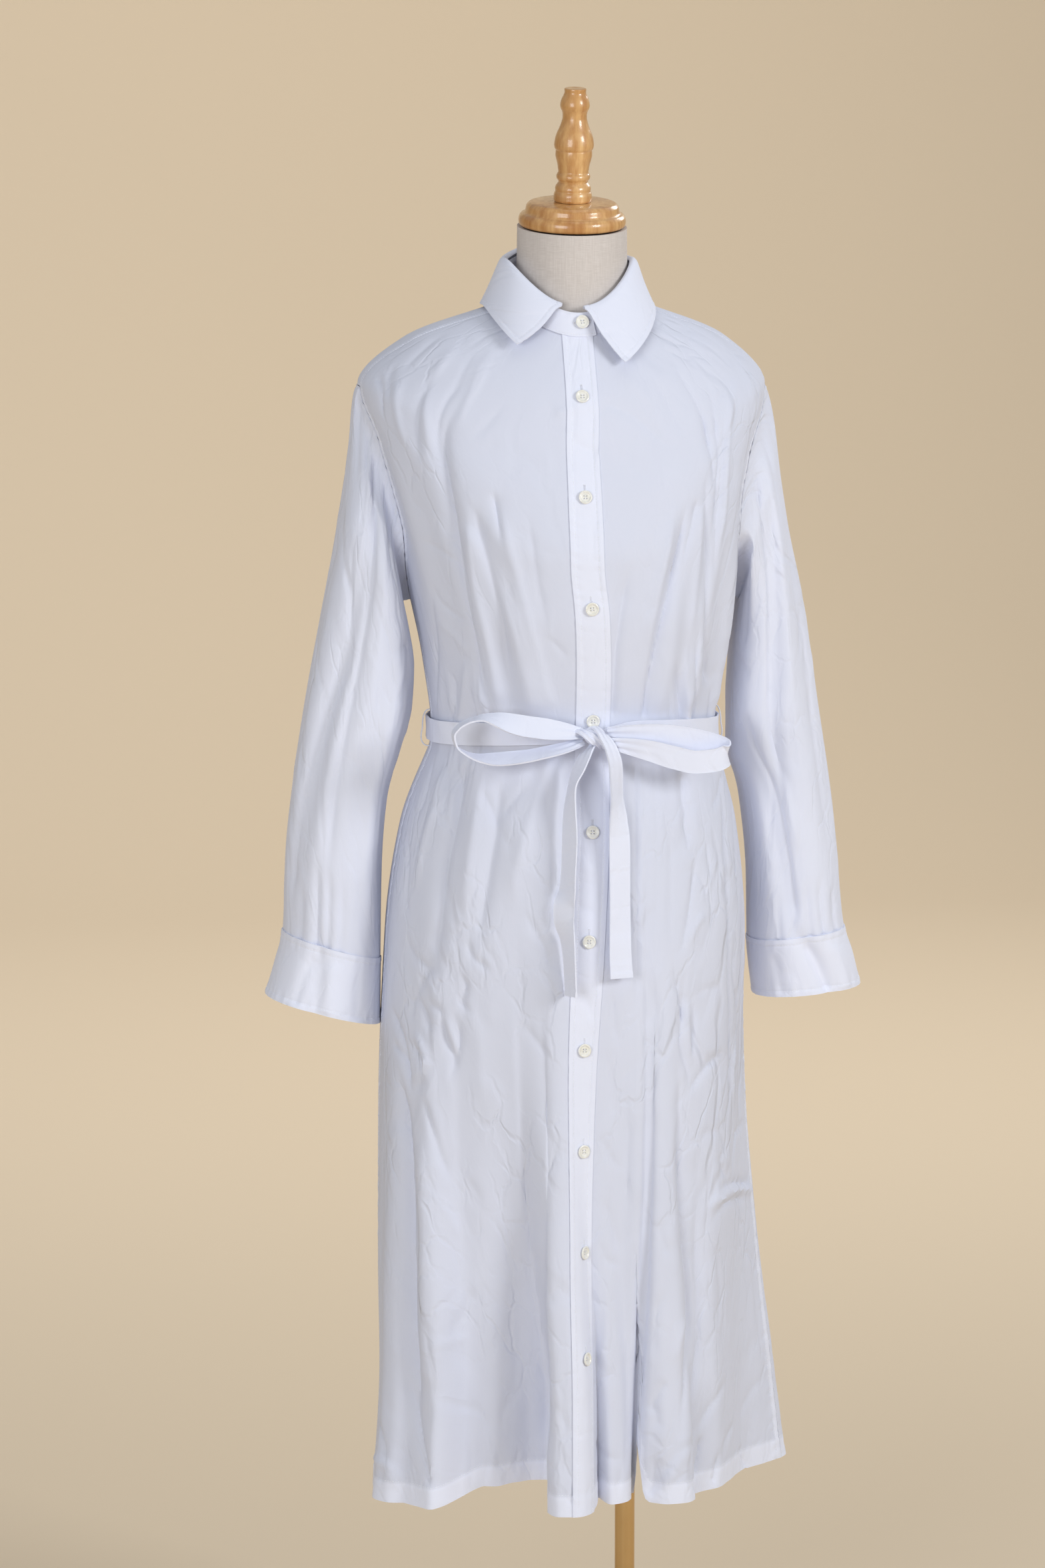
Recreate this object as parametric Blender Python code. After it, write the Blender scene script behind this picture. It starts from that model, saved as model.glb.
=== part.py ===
"""Shirt dress worn by a limbless dress form on a pole stand.

Metres. Z up, the front faces -Y, the floor is z = 0 and the pole stands on the origin.
Right and left are the wearer's, so right is -X. Each garment piece is one closed wall.
"""
import math

import bpy
import numpy as np

for old in list(bpy.data.objects):
    bpy.data.objects.remove(old, do_unlink=True)

# ---------------------------------------------------------------- sizes
WALL = 0.0012          # one layer of shirting, thickened for the solid
DOUBLE = 0.0016        # collar, cuffs and belt, cut double
SEAM = 0.0003          # gap between two pieces at a seam
LAY = 0.0004           # gap under a piece that lies on another
TORSO_X = -0.0530      # torso axis, off the pole
WAIST_Z = 1.008        # middle of the belt at the sides
BELT_WIDE = 0.021
BELT_PRESS = 0.70      # share of the folds flattened under the belt
BUTTON_R = 0.0063
BUTTON_THICK = 0.0022
SIGHT = (0.1564, 0.9877)   # direction in plan of the deep front fold

# Rings of the bodice and skirt, neckline to hem.
LEVEL_COLUMNS = ("z_front", "z_side", "z_back", "x_mid", "y_front", "y_mid", "y_back", "half", "square")
LEVELS = (
    ("neckline",   1.3705, 1.4020, 1.4120,  0.000, -0.066,  0.000, 0.062, 0.0640, 2.0),
    ("yoke",       1.3110, 1.3700, 1.3620, -0.004, -0.097,  0.017, 0.102, 0.1490, 2.0),
    ("shoulder",   1.2700, 1.3260, 1.3000, -0.006, -0.110,  0.026, 0.116, 0.1900, 2.1),
    ("chest",      1.2200, 1.2800, 1.2500, -0.006, -0.126,  0.020, 0.120, 0.1790, 2.2),
    ("armhole",    1.1700, 1.2050, 1.1950, -0.004, -0.136,  0.012, 0.118, 0.1620, 2.2),
    ("underarm",   1.1250, 1.1280, 1.1300, -0.002, -0.136,  0.004, 0.110, 0.1475, 2.2),
    ("under_bust", 1.0750, 1.0750, 1.0750,  0.000, -0.129,  0.000, 0.103, 0.1390, 2.2),
    ("belt_top",   1.0300, 1.0220, 1.0220,  0.000, -0.1185, -0.005, 0.0965, 0.1320, 2.2),
    ("waist",      1.0160, 1.0080, 1.0080,  0.000, -0.118, -0.006, 0.096, 0.1315, 2.2),
    ("belt_foot",  1.0020, 0.9940, 0.9940,  0.000, -0.1190, -0.006, 0.0968, 0.1323, 2.2),
    ("high_hip",   0.9200, 0.9200, 0.9200, -0.005, -0.141, -0.012, 0.112, 0.1560, 2.2),
    ("hip",        0.8200, 0.8200, 0.8200, -0.008, -0.153, -0.018, 0.118, 0.1680, 2.3),
    ("thigh",      0.6850, 0.6850, 0.6850, -0.0115, -0.163, -0.022, 0.122, 0.1705, 2.3),
    ("knee",       0.5250, 0.5250, 0.5250, -0.0073, -0.173, -0.026, 0.124, 0.1745, 2.3),
    ("shin",       0.3950, 0.3950, 0.3950,  0.0005, -0.180, -0.028, 0.126, 0.1780, 2.3),
    ("hem",        0.3000, 0.3000, 0.3000,  0.003, -0.185, -0.030, 0.127, 0.1830, 2.3),
)

# Seams that run down the body, read at the same rings: placket edges and deep fold (x of the
# base ring), front yoke seam and armhole (quarter turns from centre front, right and left side).
GUIDE_COLUMNS = ("placket_right", "placket_left", "fold_x", "fold_depth", "cut_right", "cut_left",
                 "back_right", "back_left")
GUIDES = (
    ("neckline",   -0.0190, 0.0090, 0.0300, 0.00, 0.83, 0.83, 1.00, 1.00),
    ("yoke",       -0.0200, 0.0090, 0.0380, 0.00, 0.88, 0.88, 1.00, 1.00),
    ("shoulder",   -0.0220, 0.0075, 0.0450, 0.00, 0.93, 0.93, 1.07, 1.07),
    ("chest",      -0.0225, 0.0080, 0.0500, 0.00, 0.84, 0.74, 1.20, 1.20),
    ("armhole",    -0.0220, 0.0085, 0.0500, 0.00, 0.83, 0.71, 1.20, 1.20),
    ("underarm",   -0.0180, 0.0130, 0.0510, 0.00, 1.00, 1.00, 1.00, 1.00),
    ("under_bust", -0.0155, 0.0155, 0.0520, 0.00, 1.00, 1.00, 1.00, 1.00),
    ("belt_top",   -0.0145, 0.0165, 0.0515, 0.00, 1.00, 1.00, 1.00, 1.00),
    ("waist",      -0.0150, 0.0160, 0.0515, 0.00, 1.00, 1.00, 1.00, 1.00),
    ("belt_foot",  -0.0155, 0.0155, 0.0515, 0.01, 1.00, 1.00, 1.00, 1.00),
    ("high_hip",   -0.0185, 0.0125, 0.0505, 0.06, 1.00, 1.00, 1.00, 1.00),
    ("hip",        -0.0235, 0.0070, 0.0495, 0.14, 1.00, 1.00, 1.00, 1.00),
    ("thigh",      -0.0285, -0.0020, 0.0490, 0.36, 1.00, 1.00, 1.00, 1.00),
    ("knee",       -0.0285, -0.0065, 0.0460, 0.62, 1.00, 1.00, 1.00, 1.00),
    ("shin",       -0.0265, -0.0080, 0.0430, 0.84, 1.00, 1.00, 1.00, 1.00),
    ("hem",        -0.0270, -0.0090, 0.0410, 1.00, 1.00, 1.00, 1.00, 1.00),
)
FOLD_MOUTH = 0.011     # half of the base ring taken by the deep fold
FOLD_GAP = 0.0032      # half of the gap between its two walls
FOLD_DEPTH = 0.120     # at the hem

# Main folds of the body. Quarter turns from centre front (right side below 0), rise outward.
FOLD_COLUMNS = ("z_top", "z_low", "q_top", "q_mid", "q_low", "wide_top", "wide_low",
                "rise_top", "rise_mid", "rise_low")
FOLDS = (
    ("bust_ridge_right_outer", 1.235, 0.940, -0.56, -0.49, -0.52, 0.014, 0.012, 0.000, 0.006, 0.000),
    ("bust_ridge_right_inner", 1.235, 0.940, -0.42, -0.30, -0.12, 0.013, 0.009, 0.000, 0.005, 0.000),
    ("bust_ridge_left_inner",  1.235, 0.940,  0.53,  0.50,  0.42, 0.013, 0.008, 0.000, 0.006, 0.000),
    ("bust_ridge_left_outer",  1.235, 0.940,  0.69,  0.72,  0.74, 0.014, 0.010, 0.000, 0.006, 0.000),
    ("bust_ridge_left_near",   1.180, 0.980,  0.34,  0.33,  0.31, 0.012, 0.007, 0.000, 0.004, 0.000),
    ("arm_pleat_right",        1.300, 1.080, -0.74, -0.69, -0.68, 0.014, 0.018, 0.000, 0.005, 0.000),
    ("arm_pleat_left",         1.300, 1.060,  0.60,  0.64,  0.78, 0.014, 0.018, 0.000, 0.005, 0.000),
    ("back_ridge_right",       0.960, 0.300, -1.34, -1.35, -1.36, 0.020, 0.032, 0.000, 0.007, 0.012),
    ("back_valley_right",      0.900, 0.300, -1.55, -1.55, -1.55, 0.020, 0.034, 0.000, -0.010, -0.022),
    ("back_ridge_mid_right",   0.960, 0.300, -1.72, -1.74, -1.76, 0.018, 0.030, 0.000, 0.008, 0.018),
    ("back_valley_mid",        0.900, 0.300,  2.00,  2.00,  2.00, 0.018, 0.034, 0.000, -0.010, -0.024),
    ("back_ridge_mid_left",    0.960, 0.300,  1.70,  1.72,  1.75, 0.018, 0.030, 0.000, 0.009, 0.018),
    ("back_valley_left",       0.900, 0.300,  1.46,  1.46,  1.47, 0.020, 0.034, 0.000, -0.010, -0.022),
    ("back_ridge_left",        0.960, 0.300,  1.24,  1.22,  1.20, 0.020, 0.032, 0.000, 0.010, 0.020),
    ("back_bodice_right",      1.200, 0.940, -1.55, -1.60, -1.62, 0.016, 0.010, 0.000, 0.005, 0.000),
    ("back_bodice_left",       1.200, 0.940,  1.52,  1.58,  1.61, 0.016, 0.010, 0.000, 0.005, 0.000),
)

# The skirt at its hem, from the right side round the front to the left: place in quarter turns,
# rise over the base ring and lift of the hem. Folds fade out upward to DRAPE_TOP.
DRAPE_COLUMNS = ("q", "rise", "lift")
DRAPE = (
    ("right_back",      -1.200,  0.0000, 0.000),
    ("right_side",      -1.000,  0.0080, 0.000),
    ("right_hollow",    -0.900,  0.0170, 0.000),
    ("corner_start",    -0.810,  0.0240, 0.000),
    ("corner",          -0.726,  0.0370, 0.000),
    ("corner_end",      -0.680,  0.0340, 0.000),
    ("small_valley",    -0.635,  0.0225, 0.000),
    ("ridge_start",     -0.580,  0.0225, 0.000),
    ("ridge",           -0.535,  0.0240, 0.000),
    ("ridge_end",       -0.512,  0.0120, 0.002),
    ("valley_wall",     -0.500, -0.0080, 0.005),
    ("valley_start",    -0.488, -0.0220, 0.008),
    ("valley_right",    -0.450, -0.0330, 0.012),
    ("valley_swell",    -0.405, -0.0370, 0.012),
    ("valley_mid",      -0.350, -0.0470, 0.014),
    ("valley_left",     -0.280, -0.0600, 0.014),
    ("valley_end",      -0.215, -0.0620, 0.014),
    ("panel_wall_in",   -0.192, -0.0590, 0.011),
    ("panel_wall_out",  -0.178,  0.0000, 0.000),
    ("panel_right",     -0.145,  0.0144, 0.000),
    ("panel_mid",       -0.091,  0.0152, 0.000),
    ("panel_left",      -0.052,  0.0056, 0.000),
    ("step_out",        -0.022, -0.0180, 0.001),
    ("step_in",         -0.004, -0.0350, 0.004),
    ("second_mid",       0.038, -0.0220, 0.000),
    ("second_left",      0.086, -0.0260, 0.000),
    ("fold_right",       0.120, -0.0350, 0.002),
    ("fold_left",        0.190, -0.0180, 0.000),
    ("third_right",      0.227, -0.0090, 0.000),
    ("third_left",       0.287, -0.0070, 0.000),
    ("third_wall_out",   0.325, -0.0120, 0.000),
    ("third_wall_in",    0.370, -0.0285, 0.000),
    ("left_valley",      0.430, -0.0310, 0.000),
    ("left_swell",       0.500, -0.0290, 0.000),
    ("left_mid",         0.600, -0.0330, 0.000),
    ("left_hollow",      0.700, -0.0340, 0.000),
    ("left_front",       0.780, -0.0310, 0.000),
    ("left_rise",        0.850, -0.0230, 0.000),
    ("left_side",        0.925, -0.0070, 0.000),
    ("left_corner",      1.040,  0.0160, 0.000),
    ("left_back",        1.200,  0.0050, 0.000),
    ("left_end",         1.350,  0.0000, 0.000),
)
DRAPE_TOP = 0.930
DRAPE_BLUR = 0.100     # quarter turns the folds soften by at their top

# Small gathers drawn in by the belt: part of the girth and height. Each runs into a fold of the
# skirt in front; the back has them at an even step.
GATHERS = (
    ("front_right", -0.90, -0.20, 0.0024),
    ("front_left",   0.25,  0.92, 0.0024),
    ("back_right",  -1.87, -1.23, 0.0022),
    ("back_left",    1.23,  1.87, 0.0022),
)
GATHER_REACH = 0.045
BACK_START = 1.25      # first gather column of the back and the step of its columns
BACK_STEP = 0.06

# Hem lifted further in from the outline: quarter turns, width in quarter turns, lift.
HEM_LIFTS = (
    ("deep_fold",    0.155, 0.020, 0.030),
)


# Finishes: colour, roughness and metallic value.
FINISHES = {
    "cloth": ((0.90, 0.91, 0.95), 0.85, 0.0),
    "buttons": ((0.86, 0.85, 0.80), 0.35, 0.0),
    "form_linen": ((0.66, 0.62, 0.59), 0.90, 0.0),
    "wood": ((0.70, 0.45, 0.20), 0.30, 0.0),
    "pole_metal": ((0.72, 0.50, 0.24), 0.25, 1.0),
    "base_metal": ((0.70, 0.49, 0.24), 0.35, 1.0),
}
OTHER_THAN_CLOTH = {
    "dress_form": "form_linen",
    "neck_cap": "wood",
    "finial": "wood",
    "pole": "pole_metal",
    "base_plate": "base_metal",
}


def smooth(low, high, value):
    t = np.clip((value - low) / (high - low), 0.0, 1.0)
    return t * t * (3.0 - 2.0 * t)


def curve(values, v):
    """Smooth curve through values at 0, 1, 2 ... without overshoot, read at v."""
    y = np.asarray(values, float)
    v = np.asarray(v, float)
    step = np.diff(y)
    slope = np.zeros(len(y))
    same = step[:-1] * step[1:] > 0
    slope[1:-1][same] = (2 * step[:-1] * step[1:])[same] / (step[:-1] + step[1:])[same]
    slope[0] = step[0]
    slope[-1] = step[-1]
    i = np.clip(np.floor(v).astype(int), 0, len(y) - 2)
    t = v - i
    a = 1 + t * t * (2 * t - 3)
    b = t * (t - 1) * (t - 1)
    c = t * t * (t - 1)
    return a * y[i] + (1 - a) * y[i + 1] + b * slope[i] + c * slope[i + 1]


def column(table, columns, name, v):
    k = columns.index(name) + 1
    return curve([row[k] for row in table], v)


def level(name, v):
    return column(LEVELS, LEVEL_COLUMNS, name, v)


def guide(name, v):
    return column(GUIDES, GUIDE_COLUMNS, name, v)


def table_ring(table, q, v):
    """Point of a ring of a table laid out as LEVELS, q quarter turns from centre front."""
    z_front, z_side, z_back, x_mid, y_front, y_mid, y_back, half, m = (
        column(table, LEVEL_COLUMNS, name, v) for name in LEVEL_COLUMNS)
    turn = np.asarray(q, float) * math.pi / 2
    s = np.sin(turn)
    c = np.cos(turn)
    size = (np.abs(s) ** m + np.abs(c) ** m) ** (-1 / m)
    deep = np.where(c > 0, y_mid - y_front, y_back - y_mid)
    z = z_side + (np.where(c > 0, z_front, z_back) - z_side) * c * c
    return np.stack([x_mid + half * s * size, y_mid - deep * c * size, z], axis=-1)


def three(top, middle, low, t):
    """Curve through three values at t = 0, 1/2 and 1."""
    return top * (1 - t) * (1 - 2 * t) + middle * 4 * t * (1 - t) + low * t * (2 * t - 1)


def quarter(x, v):
    """Quarter turns of the point of the front half ring that stands at x."""
    a = np.clip(np.abs(x - level("x_mid", v)) / level("half", v), 0, 0.999)
    m = level("square", v)
    power = a ** m
    turn = np.arctan((power / (1 - power)) ** (1 / m))
    return np.sign(x - level("x_mid", v)) * turn / (math.pi / 2)


def reach(v):
    """Metres of ring in a quarter turn."""
    return 0.5 * math.pi * (0.56 * level("half", v) + 0.44 * (level("y_back", v) - level("y_front", v)) / 2)


def near(q, centre):
    return (q - centre + 2.0) % 4.0 - 2.0


def drape_row(q):
    """Row number of the drape table at q, between rows by share."""
    return np.interp(near(q, 0.0), [row[1] for row in DRAPE], np.arange(len(DRAPE)))


def drape(name, q):
    return column(DRAPE, DRAPE_COLUMNS, name, drape_row(q))


def rise(q, v):
    """Folds and gathers: height over the base ring, outward."""
    h = level("z_side", v)
    long = reach(v)
    total = np.zeros(np.broadcast(q, v).shape)
    for row in FOLDS:
        z_top, z_low, q_top, q_mid, q_low, w_top, w_low, r_top, r_mid, r_low = row[1:]
        t = np.clip((z_top - h) / (z_top - z_low), 0.0, 1.0)
        wide = w_top + (w_low - w_top) * t
        d = near(q, three(q_top, q_mid, q_low, t)) * long / wide
        total = total + three(r_top, r_mid, r_low, t) * np.exp(-d * d)
    low = np.clip((DRAPE_TOP - h) / (DRAPE_TOP - 0.3), 0.0, 1.0)
    for tap in (-1.0, -0.5, 0.0, 0.5, 1.0):
        total = total + 0.2 * low ** 1.6 * drape("rise", q + tap * DRAPE_BLUR * (1 - low))
    close = np.exp(-((h - WAIST_Z) / GATHER_REACH) ** 2)
    turn = near(q, 0.0)
    front_wave = 0.5 - 0.5 * np.cos(math.pi * drape_row(q))
    back_wave = 0.5 - 0.5 * np.cos(math.pi * (np.abs(turn) - BACK_START) / BACK_STEP)
    wave = np.where(np.abs(turn) < 1.1, front_wave, back_wave)
    for name, q_low, q_high, height in GATHERS:
        f = (turn - q_low) / (q_high - q_low)
        total = total + height * close * smooth(0.0, 0.15, f) * smooth(1.0, 0.85, f) * wave
    return total * (1 - BELT_PRESS * np.exp(-((h - WAIST_Z) / 0.024) ** 4))


def fold_wall(a):
    """Deep fold in plan for a in -1 to 1: across and inward, as a U with rounded lips."""
    half = 0.5 * math.pi * FOLD_GAP
    lip = FOLD_MOUTH - FOLD_GAP
    arc = 0.5 * math.pi * lip
    straight = FOLD_DEPTH - lip - FOLD_GAP
    far = np.abs(a) * (half + straight + arc)
    turn = np.clip(far / FOLD_GAP, 0, 0.5 * math.pi)
    side = np.clip(far - half, 0, straight)
    bend = np.clip((far - half - straight) / lip, 0, 0.5 * math.pi)
    across = FOLD_GAP * np.sin(turn) + lip * (1 - np.cos(bend))
    inward = FOLD_DEPTH - FOLD_GAP * (1 - np.cos(turn)) - side - lip * np.sin(bend)
    return np.sign(a) * across, inward


def body(q, v):
    """Point of the body cloth, inner face: q quarter turns from centre front, v ring number."""
    q = np.asarray(q, float)
    v = np.asarray(v, float)
    x, y, z = np.moveaxis(table_ring(LEVELS, q, v), -1, 0)
    turn = q * math.pi / 2
    front = level("y_mid", v) - level("y_front", v)
    deep = np.where(np.cos(turn) > 0, front, level("y_back", v) - level("y_mid", v))
    nx = np.sin(turn) / level("half", v)
    ny = -np.cos(turn) / deep
    out = np.hypot(nx, ny)
    high = rise(q, v)
    x = x + high * nx / out
    y = y + high * ny / out
    low = smooth(11.0, 15.0, v)
    z = z + low * drape("lift", q)
    for name, q_at, wide, lift in HEM_LIFTS:
        z = z + lift * low * np.exp(-(near(q, q_at) / wide) ** 2)
    # the deep fold is let in along the line of sight
    fold = quarter(guide("fold_x", v), v)
    mouth = FOLD_MOUTH / reach(v)
    a = near(q, fold) / mouth
    inside = np.abs(a) < 1
    across, inward = fold_wall(np.clip(a, -1, 1))
    weight = guide("fold_depth", v) * inside
    slip = (across - FOLD_MOUTH * np.clip(a, -1, 1)) * inside * guide("fold_depth", v) ** 0.3
    x = x + slip * SIGHT[1] + inward * weight * SIGHT[0]
    y = y - slip * SIGHT[0] + inward * weight * SIGHT[1]
    return np.stack([x, y, z], axis=-1)


def normals(surface, u, v, flip=1.0):
    """Unit normals of surface(u, v) by small steps."""
    e = 2e-4
    f = 2e-3
    du = surface(u + e, v) - surface(u - e, v)
    dv = surface(u, v + f) - surface(u, v - f)
    n = np.cross(du, dv) * flip
    return n / np.maximum(np.linalg.norm(n, axis=-1, keepdims=True), 1e-12)


def body_normals(q, v):
    return normals(body, q, v, -1.0)


def finish_of(name):
    """Material of a node, made at its first use."""
    is_button = name.startswith("button_") and name != "button_band"
    slot = "buttons" if is_button else OTHER_THAN_CLOTH.get(name, "cloth")
    if slot not in bpy.data.materials:
        colour, roughness, metallic = FINISHES[slot]
        shader = bpy.data.materials.new(slot)
        shader.use_nodes = True
        inputs = shader.node_tree.nodes["Principled BSDF"].inputs
        inputs["Base Color"].default_value = (*colour, 1.0)
        inputs["Roughness"].default_value = roughness
        inputs["Metallic"].default_value = metallic
    return bpy.data.materials[slot]


def piece(name, points, faces):
    mesh = bpy.data.meshes.new(name)
    mesh.from_pydata([tuple(map(float, p)) for p in points], [], faces)
    mesh.validate()
    mesh.update()
    mesh.materials.append(finish_of(name))
    made = bpy.data.objects.new(name, mesh)
    bpy.context.scene.collection.objects.link(made)
    return made


def shell(name, low, high, around=False, mirror=False):
    """Closed wall between two equal grids of points, high outward. around: first axis is a loop."""
    if mirror:
        low = low[::-1]
        high = high[::-1]
    nu, nv = low.shape[:2]
    points = np.concatenate([low.reshape(-1, 3), high.reshape(-1, 3)]) + (TORSO_X, 0.0, 0.0)
    top = nu * nv
    faces = []
    last = nu if around else nu - 1
    for i in range(last):
        j = (i + 1) % nu
        for k in range(nv - 1):
            a, b, c, d = i * nv + k, j * nv + k, j * nv + k + 1, i * nv + k + 1
            faces.append((a, b, c, d))
            faces.append((top + a, top + d, top + c, top + b))
        for k, turn in ((0, 1), (nv - 1, -1)):
            edge = (i * nv + k, top + i * nv + k, top + j * nv + k, j * nv + k)
            faces.append(edge[::turn])
    if not around:
        for i, turn in ((0, -1), (nu - 1, 1)):
            for k in range(nv - 1):
                edge = (i * nv + k, top + i * nv + k, top + i * nv + k + 1, i * nv + k + 1)
                faces.append(edge[::turn])
    return piece(name, points, faces)


def sheet(name, surface, u, v, flip, low, high, around=False, mirror=False):
    """Wall on surface(u, v) from low to high along the normal."""
    p = surface(u, v)
    n = normals(surface, u, v, flip)
    low = np.asarray(low)
    high = np.asarray(high)
    if low.ndim:
        low = low[..., None]
        high = high[..., None]
    return shell(name, p + n * low, p + n * high, around, mirror)


# ---------------------------------------------------------------- body panels
BAND_LAP = 0.13        # the right front ends this share of the placket's width under it
HALF_SEAM = SEAM / 2


def inset(v):
    return HALF_SEAM / reach(v)


def strip_q(u, v):
    """Front edges: u is 0 at the stitched edge of the placket and 1 at its free edge."""
    start = quarter(guide("placket_right", v), v)
    end = quarter(guide("placket_left", v), v)
    return start + (end - start) * u


def front_right_q(u, v):
    start = strip_q(BAND_LAP, v) - inset(v)
    end = -guide("cut_right", v) + inset(v)
    return start + (end - start) * u


def front_left_q(u, v):
    """Columns keep to the deep fold: it takes u from 0.22 to 0.52 at every ring."""
    start = strip_q(1 + BAND_LAP, v) + inset(v)
    end = guide("cut_left", v) - inset(v)
    fold = quarter(guide("fold_x", v), v)
    mouth = FOLD_MOUTH / reach(v)
    first = start + (fold - mouth - start) * u / 0.22
    second = fold + mouth * (u - 0.37) / 0.15
    third = fold + mouth + (end - fold - mouth) * (u - 0.52) / 0.48
    return np.where(u < 0.22, first, np.where(u < 0.52, second, third))


def back_q(u, v):
    start = guide("back_left", v) + inset(v)
    end = 4.0 - guide("back_right", v) - inset(v)
    return start + (end - start) * u


def yoke_q(u, v):
    start = guide("cut_left", v) + inset(v)
    end = 4.0 - guide("cut_right", v) - inset(v)
    return start + (end - start) * u


def columns_at(across, places):
    """Shares u of the columns that reach the given quarter turns at the hem."""
    fine = np.linspace(0, 1, 2001)
    at = across(fine, 15.0 + 0 * fine)
    return np.interp(places, at, fine) if at[-1] > at[0] else np.interp(-np.array(places), -at, fine)


def drape_places(low, high):
    """Places of the drape table's rows between two quarter turns."""
    return np.array([row[1] for row in DRAPE if low < row[1] < high])


def back_places():
    half = BACK_START + BACK_STEP * np.arange(11)
    half = np.concatenate([[1.09, 1.18], half])
    return np.concatenate([half, [2.0], 4.0 - half[::-1]])


def wall_on_body(name, q, v, low, mirror=False):
    p = body(q, v)
    n = body_normals(q, v)
    return shell(name, p + n * low, p + n * (low + WALL), False, mirror)


ROWS = (0, 0.5, 1, 1.5, 2, 2.6, 3.2, 3.8, 4.4, 5, 5.6, 6.3, 7, 8, 9, 9.6, 10.3, 11.1, 12, 13, 14, 15)
BACK_ROWS = (2.006,) + ROWS[5:]
YOKE_ROWS = ROWS[:4] + (1.996,)
STRIP = (BAND_LAP, 0.35, 0.57, 0.79, 1.0)
RAISED = WALL + LAY
FOLD_COLUMNS_AT = (-0.97, -0.90, -0.45, -0.036, 0.036, 0.45, 0.90, 0.97)


def panel(name, across, u, rows, mirror=False):
    """Body piece between two seams: across(u, v) gives the quarter turns of each column."""
    u, v = np.meshgrid(u, np.array(rows), indexing="ij")
    wall_on_body(name, across(u, v), v, 0.0, mirror)


def make_body():
    u = columns_at(front_right_q, drape_places(-0.98, -0.12)[::-1])
    panel("front_right", front_right_q, np.concatenate([[0.0], u, [1.0]]), ROWS, True)
    before = columns_at(front_left_q, drape_places(-0.03, 0.10))
    beyond = columns_at(front_left_q, drape_places(0.22, 0.98))
    fold = 0.37 + 0.15 * np.array(FOLD_COLUMNS_AT)
    panel("front_left", front_left_q, np.concatenate([[0.0], before, [0.22], fold, [0.52], beyond, [1.0]]), ROWS)
    u = columns_at(back_q, back_places())
    panel("back", back_q, np.concatenate([[0.0], u, [1.0]]), BACK_ROWS)
    q = back_places()[::2]
    q = np.concatenate([[guide("cut_left", 2.0), 1.0], q, [3.0, 4.0 - guide("cut_right", 2.0)]])
    panel("yoke", yoke_q, (q - q[0]) / (q[-1] - q[0]), YOKE_ROWS)
    u, v = np.meshgrid((0.0,) + STRIP, ROWS, indexing="ij")
    wall_on_body("placket", strip_q(u, v), v, RAISED)
    u, v = np.meshgrid(STRIP + (1 + BAND_LAP,), ROWS, indexing="ij")
    q = strip_q(u, v)
    q[0] += inset(v[0])
    q[-1] -= 3 * inset(v[-1])
    wall_on_body("button_band", q, v, 0.0)


# ---------------------------------------------------------------- sleeves and cuffs
# Rings of each sleeve: outer and inner point, depth to the front and back of y_mid.
SLEEVE_COLUMNS = ("x_out", "z_out", "x_in", "z_in", "y_mid", "front", "back")
SLEEVE_RIGHT = (
    ("armhole",   -0.1975, 1.3220, -0.1500, 1.1270,  0.016, 0.066, 0.060),
    ("head",      -0.2040, 1.2820, -0.1570, 1.1180,  0.016, 0.066, 0.060),
    ("upper",     -0.2120, 1.2320, -0.1520, 1.0950,  0.014, 0.064, 0.058),
    ("biceps",    -0.2220, 1.1740, -0.1480, 1.0640,  0.012, 0.062, 0.056),
    ("elbow",     -0.2355, 1.1060, -0.1500, 1.0270,  0.010, 0.060, 0.054),
    ("forearm",   -0.2495, 1.0330, -0.1615, 0.9860,  0.008, 0.058, 0.052),
    ("lower",     -0.2610, 0.9610, -0.1740, 0.9420,  0.006, 0.056, 0.050),
    ("wrist",     -0.2690, 0.8930, -0.1795, 0.8790,  0.004, 0.054, 0.048),
    ("end",       -0.2725, 0.8190, -0.1815, 0.7930,  0.002, 0.052, 0.046),
    ("cuff_mid",  -0.2800, 0.7890, -0.1820, 0.7620,  0.001, 0.053, 0.047),
    ("cuff_edge", -0.2890, 0.7590, -0.1825, 0.7310,  0.000, 0.054, 0.048),
)
SLEEVE_LEFT = (
    ("armhole",    0.1800, 1.3220,  0.1440, 1.1270,  0.016, 0.066, 0.060),
    ("head",       0.1920, 1.2820,  0.1570, 1.1180,  0.020, 0.066, 0.058),
    ("upper",      0.2010, 1.2320,  0.1570, 1.0950,  0.024, 0.064, 0.056),
    ("biceps",     0.2125, 1.1660,  0.1560, 1.0640,  0.026, 0.062, 0.054),
    ("elbow",      0.2245, 1.0980,  0.1540, 1.0270,  0.028, 0.060, 0.052),
    ("forearm",    0.2340, 1.0350,  0.1540, 0.9850,  0.028, 0.058, 0.050),
    ("lower",      0.2460, 0.9540,  0.1660, 0.9350,  0.026, 0.056, 0.048),
    ("wrist",      0.2570, 0.8700,  0.1730, 0.8600,  0.022, 0.052, 0.046),
    ("end",        0.2655, 0.8090,  0.1735, 0.7990,  0.020, 0.050, 0.044),
    ("cuff_mid",   0.2740, 0.7830,  0.1755, 0.7720,  0.020, 0.048, 0.044),
    ("cuff_edge",  0.2815, 0.7530,  0.1795, 0.7440,  0.020, 0.046, 0.044),
)
SLEEVE_ROWS = (0.02, 0.35, 0.8, 1.4, 2.1, 3, 4, 5, 6, 7, 7.6, 7.985)
CUFF_ROWS = (8.0, 8.5, 9.2, 10.0)
CUFF_END = 10.0

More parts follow.
